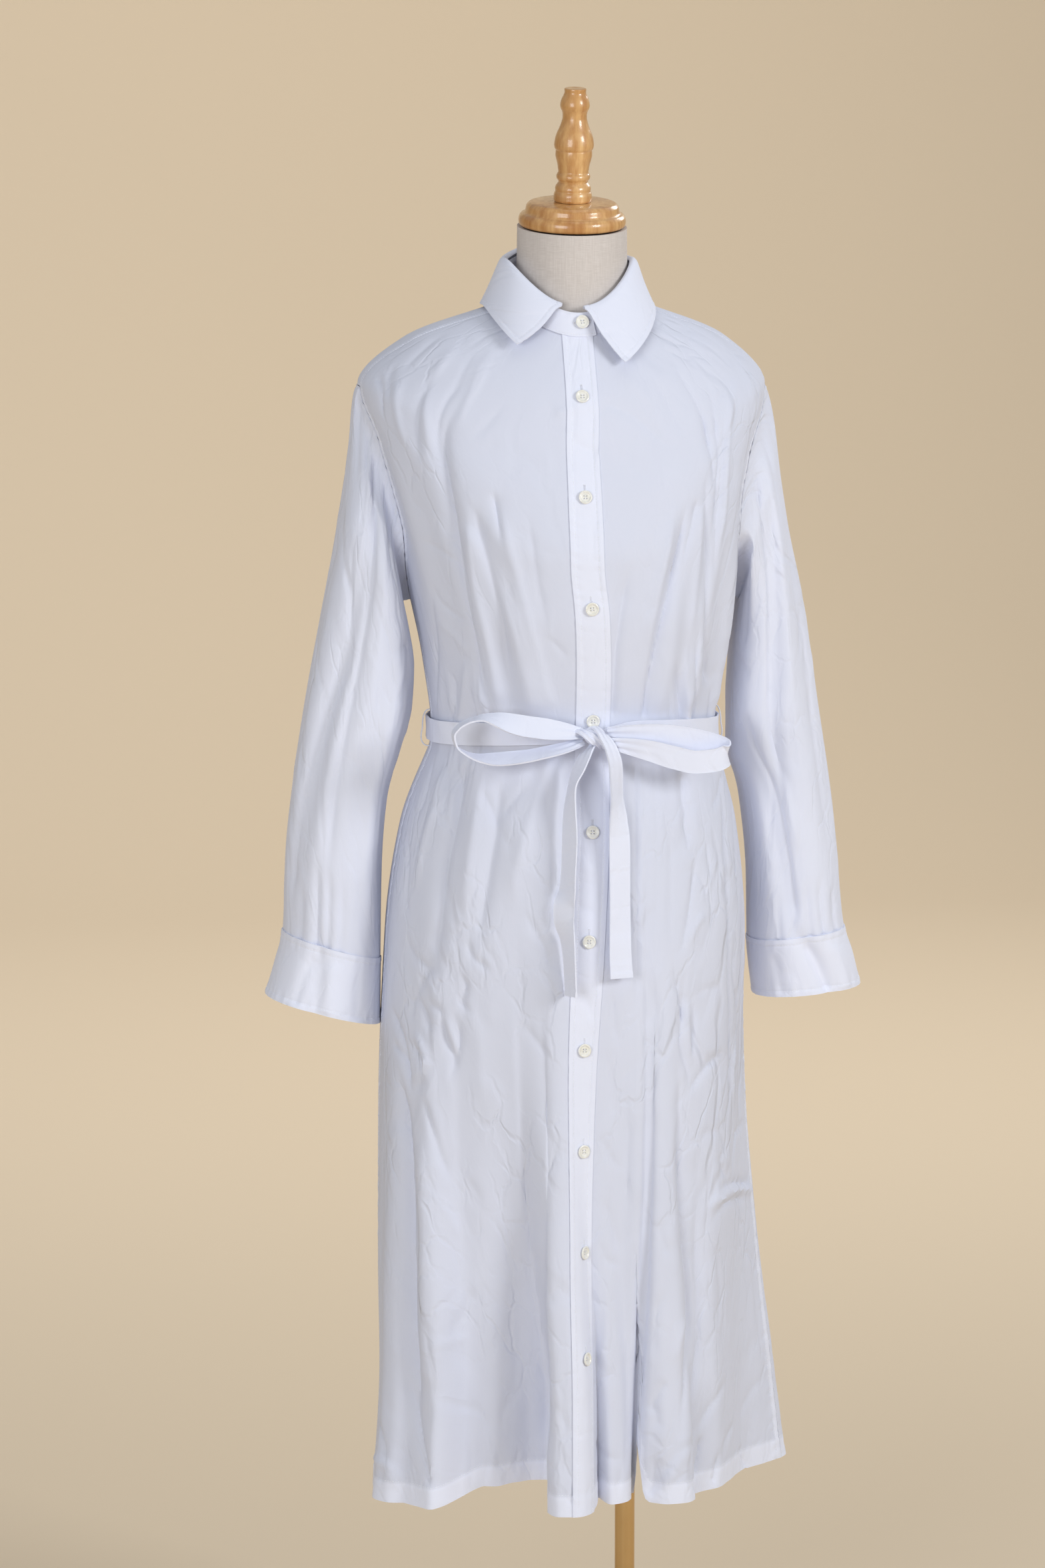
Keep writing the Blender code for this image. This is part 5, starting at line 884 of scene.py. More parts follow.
BACK_CREASES = (
    ("blade_valley_left", -0.0036, 0.0080, 1.3, 0.25, 0.10,
     ((0.268, 1.262), (0.276, 1.200), (0.288, 1.130), (0.300, 1.040))),
    ("blade_ridge_left", 0.0026, 0.0090, 1.1, 0.30, 0.10, ((0.290, 1.240), (0.300, 1.150), (0.316, 1.040))),
    ("blade_valley_left_in", -0.0024, 0.0060, 1.2, 0.30, 0.10,
     ((0.312, 1.220), (0.322, 1.140), (0.336, 1.040))),
    ("centre_ridge", 0.0018, 0.0120, 1.2, 0.30, 0.15, ((0.388, 1.260), (0.392, 1.160), (0.386, 1.045))),
    ("centre_valley", -0.0020, 0.0070, 1.2, 0.35, 0.05, ((0.412, 1.190), (0.408, 1.110), (0.404, 1.036))),
    ("blade_valley_right", -0.0034, 0.0080, 0.9, 0.25, 0.10,
     ((0.506, 1.268), (0.498, 1.200), (0.486, 1.120), (0.472, 1.040))),
    ("blade_ridge_right", 0.0024, 0.0090, 1.0, 0.30, 0.10, ((0.486, 1.236), (0.474, 1.150), (0.458, 1.040))),
    ("blade_valley_right_in", -0.0022, 0.0060, 1.2, 0.30, 0.05,
     ((0.462, 1.210), (0.452, 1.130), (0.440, 1.038))),
    ("arm_draw_left", -0.0016, 0.0045, 1.3, 0.30, 0.40, ((0.252, 1.322), (0.246, 1.280), (0.238, 1.230))),
    ("arm_draw_left_2", -0.0012, 0.0040, 1.3, 0.30, 0.40, ((0.268, 1.330), (0.262, 1.296), (0.258, 1.258))),
    ("arm_draw_right", -0.0016, 0.0045, 1.3, 0.30, 0.40, ((0.530, 1.322), (0.536, 1.276), (0.544, 1.232))),
    ("arm_draw_right_2", -0.0012, 0.0040, 1.3, 0.30, 0.40, ((0.512, 1.328), (0.518, 1.292), (0.520, 1.252))),
    ("side_tuck_left", -0.0013, 0.0032, 1.4, 0.30, 0.30, ((0.214, 1.160), (0.232, 1.142), (0.256, 1.132))),
    ("side_tuck_left_2", -0.0013, 0.0032, 1.4, 0.30, 0.30, ((0.212, 1.104), (0.228, 1.086), (0.246, 1.062))),
    ("side_tuck_right", -0.0013, 0.0032, 1.4, 0.30, 0.30, ((0.570, 1.154), (0.552, 1.138), (0.528, 1.130))),
    ("side_tuck_right_2", -0.0013, 0.0032, 1.4, 0.30, 0.30, ((0.568, 1.096), (0.554, 1.078), (0.538, 1.052))),
    ("seat_valley_left", -0.0034, 0.0085, 1.2, 0.10, 0.35,
     ((0.268, 0.985), (0.262, 0.900), (0.258, 0.800), (0.250, 0.700))),
    ("seat_valley_left_2", -0.0024, 0.0065, 1.2, 0.10, 0.40,
     ((0.318, 0.985), (0.316, 0.900), (0.310, 0.820))),
    ("seat_ridge_left", 0.0026, 0.0110, 1.1, 0.10, 0.40, ((0.294, 0.985), (0.290, 0.900), (0.284, 0.780))),
    ("seat_valley_mid", -0.0026, 0.0070, 1.2, 0.10, 0.40, ((0.366, 0.985), (0.368, 0.890), (0.372, 0.790))),
    ("seat_valley_mid_2", -0.0024, 0.0070, 1.2, 0.10, 0.35, ((0.420, 0.985), (0.418, 0.880), (0.424, 0.760))),
    ("seat_valley_right", -0.0034, 0.0085, 1.2, 0.10, 0.35,
     ((0.512, 0.985), (0.520, 0.900), (0.524, 0.790), (0.534, 0.690))),
    ("seat_valley_right_2", -0.0022, 0.0065, 1.2, 0.10, 0.40,
     ((0.468, 0.985), (0.472, 0.890), (0.470, 0.800))),
    ("seat_ridge_right", 0.0024, 0.0110, 1.1, 0.10, 0.40, ((0.492, 0.985), (0.496, 0.900), (0.498, 0.770))),
    ("press_line_1", -0.0015, 0.0028, 1.4, 0.30, 0.30, ((0.330, 0.720), (0.344, 0.668), (0.340, 0.610))),
    ("press_line_2", -0.0015, 0.0028, 1.4, 0.30, 0.30, ((0.446, 0.690), (0.438, 0.630), (0.448, 0.570))),
    ("press_line_3", -0.0013, 0.0026, 1.4, 0.30, 0.30, ((0.300, 0.560), (0.318, 0.528), (0.312, 0.478))),
    ("press_line_4", -0.0013, 0.0030, 1.4, 0.30, 0.30, ((0.480, 0.520), (0.462, 0.484), (0.468, 0.430))),
    ("hem_crease_1", -0.0018, 0.0038, 1.3, 0.30, 0.05, ((0.280, 0.395), (0.286, 0.350), (0.284, 0.305))),
    ("hem_crease_2", -0.0016, 0.0034, 1.3, 0.30, 0.05, ((0.356, 0.385), (0.350, 0.345), (0.354, 0.305))),
    ("hem_crease_3", -0.0018, 0.0036, 1.3, 0.30, 0.05, ((0.436, 0.390), (0.442, 0.350), (0.438, 0.305))),
    ("hem_crease_4", -0.0016, 0.0036, 1.3, 0.30, 0.05, ((0.512, 0.380), (0.506, 0.340), (0.510, 0.305))),
    ("side_line_left", -0.0020, 0.0045, 1.2, 0.15, 0.25,
     ((0.206, 0.960), (0.210, 0.880), (0.204, 0.780), (0.212, 0.680), (0.208, 0.600))),
    ("side_line_right", -0.0020, 0.0045, 1.2, 0.15, 0.25,
     ((0.578, 0.960), (0.574, 0.880), (0.582, 0.780), (0.574, 0.680), (0.580, 0.600))),
)

# Small crumples strewn by a seeded draw: girth from and to, height from and to, how many, lean
# and its spread in degrees, length, half width and rise.
CRUMPLES = (
    ("right_front", -0.190, -0.020, 0.320, 0.960, 90, 8, 32, 0.060, 0.0055, 0.0007),
    ("left_front",   0.030,  0.200, 0.320, 0.960, 120, -6, 34, 0.058, 0.0052, 0.0008),
    ("right_bodice", -0.190, -0.030, 1.040, 1.300, 60, 14, 40, 0.045, 0.0050, 0.0006),
    ("left_bodice",  0.030,  0.190, 1.040, 1.300, 60, -14, 40, 0.045, 0.0050, 0.0006),
    ("back_skirt",   0.210,  0.570, 0.320, 0.980, 130, 0, 30, 0.060, 0.0060, 0.0008),
    ("back_bodice",  0.230,  0.560, 1.040, 1.300, 60, 0, 35, 0.050, 0.0055, 0.0006),
)
SEED = 41
CREASE_GAIN = 1.55     # all listed creases stand this much over their tables
CREST = 0.30           # roundness of a crease's crest, as a share of its half width
CREASE_FALL = 1.3      # how steeply its sides fall away
CREASE_ROOM = 3.5      # half widths past which it counts as nothing
STREWN_SIZE = (0.35, 1.3)      # least and greatest length of a strewn crease, as shares of its table's
STREWN_WIDE = (0.6, 1.3)       # and width
STREWN_BEND = 0.16     # greatest bend, as a share of its length
STREWN_FADE = 0.4      # share of its length over which it starts and ends


def smooth_path(path, count):
    """Points of a smooth curve through a short path."""
    t = np.linspace(0, len(path) - 1, count)
    return np.stack([curve([p[k] for p in path], t) for k in range(len(path[0]))], axis=-1)


def crease(across, along, rise_by, wide, other, start, end, path):
    """Height of one crease at the points (across, along), all in metres."""
    line = smooth_path(path, 2 + 5 * (len(path) - 1)) if len(path) > 2 else np.array(path, float)
    room = CREASE_ROOM * wide * max(1.0, other)
    low = line.min(axis=0) - room
    high = line.max(axis=0) + room
    at = np.nonzero((across > low[0]) & (across < high[0]) & (along > low[1]) & (along < high[1]))
    total = np.zeros(across.shape)
    if not len(at[0]):
        return total
    p = np.stack([across[at], along[at]], axis=-1)
    steps = np.diff(line, axis=0)
    sizes = np.linalg.norm(steps, axis=1)
    far = np.full(len(p), 1e9)
    side = np.zeros(len(p))
    place = np.zeros(len(p))
    gone = 0.0
    for first, step, size in zip(line[:-1], steps, sizes):
        t = np.clip(((p - first) @ step) / size ** 2, 0, 1)
        away = p - first - t[:, None] * step
        d = np.hypot(away[:, 0], away[:, 1])
        closer = d < far
        far[closer] = d[closer]
        side[closer] = (step[0] * away[:, 1] - step[1] * away[:, 0])[closer]
        place[closer] = (gone + t * size)[closer]
        gone += size
    place /= gone
    width = np.where(side > 0, wide, wide * other)
    fade = smooth(0.0, start, place) * smooth(1.0, 1.0 - end, place)
    total[at] = rise_by * fade * np.exp(CREASE_FALL * (CREST - np.hypot(far / width, CREST)))
    return total


def creases(table, across, along):
    total = np.zeros(across.shape)
    for name, rise_by, wide, other, start, end, path in table:
        total += crease(across, along, CREASE_GAIN * rise_by, wide, other, start, end, path)
    return total


def strewn(across, along, seed, count, box, lean, spread, long, wide, high, down):
    """Small bent creases strewn in a box, the same ones at every run; down is 1 if along grows down."""
    across_low, across_high, along_low, along_high = box
    draw = np.random.default_rng(seed)
    total = np.zeros(across.shape)
    for number in range(count):
        middle = np.array([draw.uniform(across_low, across_high), draw.uniform(along_low, along_high)])
        angle = math.radians(lean + draw.uniform(-spread, spread))
        size = long * draw.uniform(*STREWN_SIZE)
        bend = draw.uniform(-STREWN_BEND, STREWN_BEND) * size
        tall = high * draw.uniform(-1.0, 1.0)
        way = np.array([math.sin(angle), down * math.cos(angle)]) * size / 2
        side = np.array([math.cos(angle), -down * math.sin(angle)]) * bend
        path = (middle - way, middle + side, middle + way)
        width = wide * draw.uniform(*STREWN_WIDE)
        total += crease(across, along, tall, width, 1.0, STREWN_FADE, STREWN_FADE, path)
    return total


def small_folds(q, v, z):
    """Height of the small folds of the body cloth at q, v; z is its height there."""
    turn = near(q, 0.0)
    across = turn * reach(v)
    round_back = np.where(turn < 0, turn + 4.0, turn) * reach(v)
    total = creases(FRONT_CREASES, across, z) + creases(BACK_CREASES, round_back, z)
    girth = np.where(np.abs(turn) < FRONT_END, across, round_back)
    for number, (name, *box, count, lean, spread, long, wide, high) in enumerate(CRUMPLES):
        total += strewn(girth, z, SEED + number, count, box, lean, spread, long, wide, high, -1)
    return total


# ---------------------------------------------------------------- cloth meshes
CLOTH_THICK = 0.0006
PLACKET_THICK = 0.0007
RIBBON_THICK = 0.0011
BELT_THICK = 0.0012
BAND_THICK = 0.0013    # collar stand and cuffs
LEAF_THICK = 0.0014
KNOT_THICK = 0.0008
COVER_THICK = 0.0040
FACE = 0.0012          # outer face of one layer over the garment's surface
LAID_FACE = 0.0018     # outer face of a piece laid on another
GROOVE = 0.00035       # dip along a line of stitches
BAND = 0.00036         # rise of a folded or felled band
PUCKER = 0.00022
PUCKER_WAVES = ((1.0, 0.0094, 0.0), (0.7, 0.0137, 1.3), (0.5, 0.0229, 0.4))   # size, length, start


def grid_normals(grid, around=False):
    """Unit normals of a grid: first axis anticlockwise from above, second downwards."""
    if around:
        du = np.roll(grid, -1, 0) - np.roll(grid, 1, 0)
    else:
        du = np.gradient(grid, axis=0)
    return unit(np.cross(np.gradient(grid, axis=1), du))


def edge_far(grid, edge):
    """Metres from one edge of a grid to each of its points."""
    turned = grid if edge in ("first", "last") else grid.transpose(1, 0, 2)
    back = edge in ("last", "foot")
    if back:
        turned = turned[::-1]
    step = np.linalg.norm(np.diff(turned, axis=0), axis=2)
    far = np.concatenate([np.zeros((1, turned.shape[1])), np.cumsum(step, axis=0)])
    if back:
        far = far[::-1]
    return far if edge in ("first", "last") else far.T


def edge_along(grid, edge):
    """Metres along an edge to each point of a grid."""
    axis = 1 if edge in ("first", "last") else 0
    step = np.linalg.norm(np.diff(grid, axis=axis), axis=2)
    start = np.zeros((grid.shape[0], 1)) if axis else np.zeros((1, grid.shape[1]))
    return np.concatenate([start, np.cumsum(step, axis=axis)], axis=axis)


def seam_relief(grid, edge, far, pucker):
    """Band along an edge with a line of stitches at far from it, drawn in with small puckers."""
    d = edge_far(grid, edge)
    t = edge_along(grid, edge)
    wave = sum(size * np.sin(t * 2 * math.pi / long + start) for size, long, start in PUCKER_WAVES)
    band = BAND * smooth(far + 0.0008, far - 0.0008, d)
    groove = GROOVE * np.exp(-((d - far) / 0.0009) ** 2)
    draw = PUCKER * pucker * wave * np.exp(-((d - far) / (0.0045 + 0.3 * far)) ** 2)
    return band - groove + draw


THREAD_LINES = {}      # group of stitches: list of (points, normals)


def thread_line(group, grid, edge, far, around=False, first=0.0, last=1.0):
    """Keeps the line at far from an edge of a finished grid for its stitches."""
    d = edge_far(grid, edge)
    n = grid_normals(grid, around)
    if edge in ("top", "foot"):
        d, grid, n = d.T, grid.transpose(1, 0, 2), n.transpose(1, 0, 2)
    line = []
    ways = []
    order = slice(None, None, -1) if edge in ("last", "foot") else slice(None)
    count = grid.shape[1]
    for c in range(int(first * count), int(last * count)):
        at = d[order, c]
        if at[-1] < far:
            continue
        line.append([np.interp(far, at, grid[order, c, k]) for k in range(3)])
        ways.append([np.interp(far, at, n[order, c, k]) for k in range(3)])
    if around and line:
        line.append(line[0])
        ways.append(ways[0])
    THREAD_LINES.setdefault(group, []).append((np.array(line), np.array(ways)))


def make_mesh(name, points, quads, uv, finish, sharp=50.0, marks=()):
    """Object from arrays: points, four-cornered faces, and texture places for each corner."""
    mesh = bpy.data.meshes.new(name)
    corner = points[quads]
    faces_out = np.cross(corner[:, 2] - corner[:, 0], corner[:, 3] - corner[:, 1])
    if np.sum(faces_out * (corner.mean(axis=1) - points.mean(axis=0))) < 0:
        quads = quads[:, ::-1]
        uv = uv[:, ::-1]
    count = len(quads)
    mesh.vertices.add(len(points))
    mesh.vertices.foreach_set("co", np.ascontiguousarray(points, np.float32).ravel())
    mesh.loops.add(4 * count)
    mesh.loops.foreach_set("vertex_index", np.ascontiguousarray(quads, np.int32).ravel())
    mesh.polygons.add(count)
    mesh.polygons.foreach_set("loop_start", np.arange(0, 4 * count, 4, dtype=np.int32))
    mesh.polygons.foreach_set("use_smooth", np.ones(count, bool))
    layer = mesh.uv_layers.new(name="UVMap")
    layer.uv.foreach_set("vector", np.ascontiguousarray(uv, np.float32).ravel())
    for mark, values in marks:
        kept = mesh.attributes.new(mark, "FLOAT", "POINT")
        kept.data.foreach_set("value", np.ascontiguousarray(values, np.float32).ravel())
    mesh.update(calc_edges=True)
    mesh.validate()
    mesh.set_sharp_from_angle(angle=math.radians(sharp))
    mesh.materials.append(finish)
    return add(mesh, name)


def shell(name, outer, thick, finish, around=False, uv=None, inner=None, layers=1.0, worn=0.3):
    """Closed thin wall under a grid of outer points, given in the torso's axes.

    The first mark is the share of the painted light of double cloth, 1 where the cloth lies double; worn is
    how wrinkled it is.
    """
    nu, nv = outer.shape[:2]
    if inner is None:
        inner = outer - grid_normals(outer, around) * thick
    if uv is None:
        flat = np.concatenate([outer, outer[:1]]) if around else outer
        uv = np.stack([edge_along(flat, "top"), -edge_along(flat, "first")], axis=-1)
    last = nu if around else nu - 1
    faces = []

    def wall(i, k, corners):
        """Faces from four corners, each steps along both axes and its side: 0 inner, 1 outer."""
        faces.append(np.stack([[i + a, k + b, c + 0 * i] for a, b, c in corners], axis=0))

    i, k = (a.ravel() for a in np.meshgrid(np.arange(last), np.arange(nv - 1), indexing="ij"))
    wall(i, k, ((0, 0, 0), (1, 0, 0), (1, 1, 0), (0, 1, 0)))
    wall(i, k, ((0, 0, 1), (0, 1, 1), (1, 1, 1), (1, 0, 1)))
    i = np.arange(last)
    for end, turn in ((0, 1), (nv - 1, -1)):
        wall(i, end + 0 * i, ((0, 0, 0), (0, 0, 1), (1, 0, 1), (1, 0, 0))[::turn])
    if not around:
        k = np.arange(nv - 1)
        for end, turn in ((0, -1), (nu - 1, 1)):
            wall(end + 0 * k, k, ((0, 0, 0), (0, 0, 1), (0, 1, 1), (0, 1, 0))[::turn])
    corners = np.concatenate([f.transpose(2, 0, 1) for f in faces])
    quads = corners[..., 2] * nu * nv + (corners[..., 0] % nu) * nv + corners[..., 1]
    points = np.concatenate([inner.reshape(-1, 3), outer.reshape(-1, 3)]) + (TORSO_X, 0.0, 0.0)
    # marks on the points: the share of the painted light of double cloth, and how wrinkled the cloth is
    marks = [(mark, np.tile(np.broadcast_to(values, (nu, nv)).ravel(), 2))
             for mark, values in (("layers", layers), ("worn", worn))]
    return make_mesh(name, points, quads, uv[corners[..., 0], corners[..., 1]], finish, marks=marks)


# ---------------------------------------------------------------- body panels
BAND_LAP = 0.13        # the right front ends this share of the placket's width under it
ROW_STEPS = ((0.0, 0.0013), (0.33, 0.0030), (0.60, 0.0036), (0.98, 0.0028), (1.4, 0.0025))   # height, step
EVEN = (2.0, 2.0, 1.0)     # columns with no sparser stretch
SPARSE_FOLD = (0.24, 0.50, 0.4)    # shares of the left front with sparser columns, and their share there
SEAM_BAND = 0.0055     # topstitched band along the armhole
FELL_BAND = 0.0062     # felled side seam
EDGE_STITCH = 0.0050   # placket and collar
YOKE_STITCH = 0.0016
HEM_DEEP = 0.0200
CUFF_STITCH = 0.0055
HEAD_STITCH = 0.0012   # sleeve head
NECK_UNDER = -0.06     # ring number where the body's top edge ends, under the collar stand

# Metres from an edge to the closely spaced columns along it.
EDGES = np.array([0.0, 0.0007, 0.0014, 0.0021, 0.0030, 0.0040, 0.0048, 0.0055, 0.0062, 0.0070, 0.0085])


def inset(v):
    return SEAM / 2 / reach(v)


def strip_q(u, v):
    """Front edges: u is 0 at the stitched edge of the placket and 1 at its free edge."""
    start = quarter(guide("placket_right", v), v)
    end = quarter(guide("placket_left", v), v)
    return start + (end - start) * u


def front_right_q(u, v):
    start = -guide("cut_right", v) + inset(v)
    end = strip_q(BAND_LAP, v) - inset(v)
    return start + (end - start) * u


def front_left_q(u, v):
    """Columns keep to the deep fold: it takes u from 0.22 to 0.52 at every ring."""
    start = strip_q(1 - BAND_LAP, v) + inset(v)
    end = guide("cut_left", v) - inset(v)
    fold = quarter(guide("fold_x", v), v)
    mouth = FOLD_MOUTH / reach(v)
    first = start + (fold - mouth - start) * u / 0.22
    second = fold + mouth * (u - 0.37) / 0.15
    third = fold + mouth + (end - fold - mouth) * (u - 0.52) / 0.48
    return np.where(u < 0.22, first, np.where(u < 0.52, second, third))


def back_q(u, v):
    start = guide("back_left", v) + inset(v)
    end = 4.0 - guide("back_right", v) - inset(v)
    return start + (end - start) * u


def yoke_q(u, v):
    start = guide("cut_left", v) + inset(v)
    end = 4.0 - guide("cut_right", v) - inset(v)
    return start + (end - start) * u


def even_columns(across, count, sparse=EVEN):
    """Shares u of columns even along the cloth, closer near both edges and sparser in a stretch."""
    fine = np.linspace(0, 1, 2401)
    low, high, share_there = sparse
    weight = np.where((fine[1:] > low) & (fine[1:] < high), share_there, 1.0)
    share = np.zeros(len(fine))
    for v in (HEM_RING, 13.5, 12.0, 10.5, 6.5, 4.0):
        p = body(across(fine, v + 0 * fine), v + 0 * fine)
        far = np.concatenate([[0], np.cumsum(weight * np.linalg.norm(np.diff(p, axis=0), axis=1))])
        share += far / far[-1]
        if v == 6.5:
            long = far[-1]
    share /= share[-1]
    main = np.interp(np.linspace(0, 1, count), share, fine)
    close = np.interp(EDGES / long, share, fine)
    far_edge = np.interp(1 - EDGES / long, share, fine)
    inner = main[(main > close[-1]) & (main < far_edge[-1])]
    return np.concatenate([close, inner, far_edge[::-1]])


def rows_down(v_low, v_high, finest=1.0):
    """Ring numbers of the rows, spaced by the table of steps down the height."""
    fine = np.linspace(v_low, v_high, 4001)
    z = level("z_side", fine)
    steps = np.interp(z, *zip(*ROW_STEPS))
    rate = np.concatenate([[0], np.cumsum(np.abs(np.diff(z)) / (steps[1:] * finest))])
    return np.interp(np.linspace(0, rate[-1], int(rate[-1]) + 2), rate, fine)


def body_grid(across, u, v):
    """Grid of the body cloth with its small folds: places q, ring numbers and points."""
    u, v = np.meshgrid(u, v, indexing="ij")
    q = across(u, v)
    p = body(q, v)
    n = grid_normals(p)
    return q, v, p + n * small_folds(q, v, p[..., 2])[..., None]


def raised(p, relief, face):
    return p + grid_normals(p) * (face + relief)[..., None]


def cloth_uv(q, p):
    """Texture places: metres along the girth and down."""
    return np.stack([q * reach(12.0), -edge_along(p, "first") + 0 * q], axis=-1)


def carried(piece):
    """Piece on the part's one body."""
    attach(piece, "root")
    return piece


def sewn(piece, node):
    """The same for a piece that takes the place of a node of the part."""
    piece.name = node + "_look"
    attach(piece, "root")
    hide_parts(node)
    return piece


def cloth_piece(node, outer, thick, around=False, **more):
    """Shell of shirting in the place of a node; more goes on to shell."""
    return sewn(shell(node, outer, thick, CLOTH, around, **more), node)


def past(ring, v):
    """0 above a ring and 1 below it."""
    return smooth(ring - RING_SOFT, ring + RING_SOFT, v)


def side_edges(p, v, edge):
    """Relief of a front's outer edge: yoke seam, armhole and side seam one below the other."""
    over = 1 - past(YOKE_RING, v)
    under = past(UNDERARM_RING, v)
    plain = seam_relief(p, edge, YOKE_STITCH, 0.6) * over
    arm = seam_relief(p, edge, SEAM_BAND, 1.2) * (1 - over) * (1 - under)
    return plain + arm + seam_relief(p, edge, FELL_BAND, 1.4) * under


def double(grid, edge, far):
    """1 where the cloth lies double along an edge, to far from it."""
    return smooth(far + 0.0006, far - 0.0006, edge_far(grid, edge))


def wear(q, p):
    """How wrinkled the body cloth is: the skirt most, the middle of the bodice least."""
    turn = np.abs(near(q, 0.0))
    skirt = smooth(0.98, 0.88, p[..., 2]) * (1 - 0.45 * smooth(0.55, 0.35, p[..., 2]))
    return 0.22 + 0.78 * np.maximum(skirt, 0.65 * smooth(0.35, 0.60, turn))


def make_front(name, across, count, outer_edge, sparse=EVEN):
    q, v, p = body_grid(across, even_columns(across, count, sparse), rows_down(NECK_UNDER, HEM_RING))
    relief = side_edges(p, v, outer_edge) + seam_relief(p, "foot", HEM_DEEP, 1.6)
    outer = raised(p, relief, FACE)
    rows = v[0]
    top = np.searchsorted(rows, YOKE_RING) / len(rows)
    low = np.searchsorted(rows, UNDERARM_RING) / len(rows)
    thread_line("thread_seams", outer, outer_edge, YOKE_STITCH, last=top)
    thread_line("thread_seams", outer, outer_edge, SEAM_BAND, first=top, last=low)
    thread_line("thread_sides", outer, outer_edge, FELL_BAND, first=low)
    thread_line("thread_hem", outer, "foot", HEM_DEEP)
    # painted light of double cloth along the hem and the armhole band
    layers = np.maximum(double(p, "foot", HEM_DEEP), double(p, outer_edge, SEAM_BAND) * past(YOKE_RING, v))
    return cloth_piece(name, outer, CLOTH_THICK, uv=cloth_uv(q, p), layers=layers, worn=wear(q, p))


def make_back():
    q, v, p = body_grid(back_q, even_columns(back_q, 88), rows_down(2.006, HEM_RING, 1.45))
    relief = seam_relief(p, "foot", HEM_DEEP, 1.6)
    under = past(UNDERARM_RING, v)
    for edge in ("first", "last"):
        relief = relief + seam_relief(p, edge, SEAM_BAND, 1.0) * (1 - under)
        relief = relief + seam_relief(p, edge, YOKE_STITCH, 0.8) * under
    outer = raised(p, relief, FACE)
    rows = v[0]
    low = np.searchsorted(rows, UNDERARM_RING) / len(rows)
    for edge in ("first", "last"):
        thread_line("thread_seams", outer, edge, SEAM_BAND, last=low)
        thread_line("thread_sides", outer, edge, YOKE_STITCH, first=low)
    thread_line("thread_hem", outer, "foot", HEM_DEEP)
    # painted light of double cloth along the hem
    layers = double(p, "foot", HEM_DEEP)
    return cloth_piece("back", outer, CLOTH_THICK, uv=cloth_uv(q, p), layers=layers, worn=wear(q, p))


def make_yoke():
    u = np.concatenate([EDGES / 0.9, np.linspace(0.012, 0.988, 110), 1 - EDGES[::-1] / 0.9])
    q, v, p = body_grid(yoke_q, u, np.interp(np.linspace(0, 1, 38), [0, 0.9, 1], [NECK_UNDER, 1.85, 1.996]))
    relief = sum(seam_relief(p, edge, YOKE_STITCH, 0.6) for edge in ("foot", "first", "last"))
    outer = raised(p, relief, FACE)
    for edge in ("first", "last", "foot"):
        thread_line("thread_seams", outer, edge, YOKE_STITCH)
    # the yoke gets a little of the painted light of double cloth
    return cloth_piece("yoke", outer, CLOTH_THICK, uv=cloth_uv(q, p), layers=0.15)


STRIP_SHARES = np.array([
    0.0, 0.02, 0.05, 0.09, 0.125, 0.15, 0.18, 0.22, 0.30, 0.38, 0.46, 0.54, 0.62, 0.70, 0.78, 0.82, 0.85,
    0.875, 0.91, 0.95, 0.98, 1.0,
])


def make_placket():
    """The stitched band of the right front edge, and the plain one under it."""
    q, v, p = body_grid(strip_q, STRIP_SHARES, rows_down(NECK_UNDER, HEM_RING, 1.15))
    relief = seam_relief(p, "first", EDGE_STITCH, 0.8) + seam_relief(p, "last", EDGE_STITCH, 0.8)
    relief = relief + seam_relief(p, "foot", HEM_DEEP, 1.0)
    outer = raised(p, relief, LAID_FACE)
    thread_line("thread_placket", outer, "first", EDGE_STITCH)
    thread_line("thread_placket", outer, "last", EDGE_STITCH)
    made = cloth_piece("placket", outer, PLACKET_THICK, uv=cloth_uv(q, p))
    shares = np.concatenate([[BAND_LAP + 0.004], np.linspace(0.2, 0.9, 8), [0.95, 0.985]])
    q, v, p = body_grid(strip_q, shares, rows_down(0.0, HEM_RING, 2.0))
    outer = raised(p, seam_relief(p, "foot", HEM_DEEP, 1.0), FACE - PLACKET_THICK)
    return made, cloth_piece("button_band", outer, CLOTH_THICK, uv=cloth_uv(q, p))


# ---------------------------------------------------------------- sleeves and cuffs
SLEEVE_GIRTH = 0.36    # metres round a sleeve, for the places of its creases
SLEEVE_STEP = 0.068    # metres of sleeve to a ring

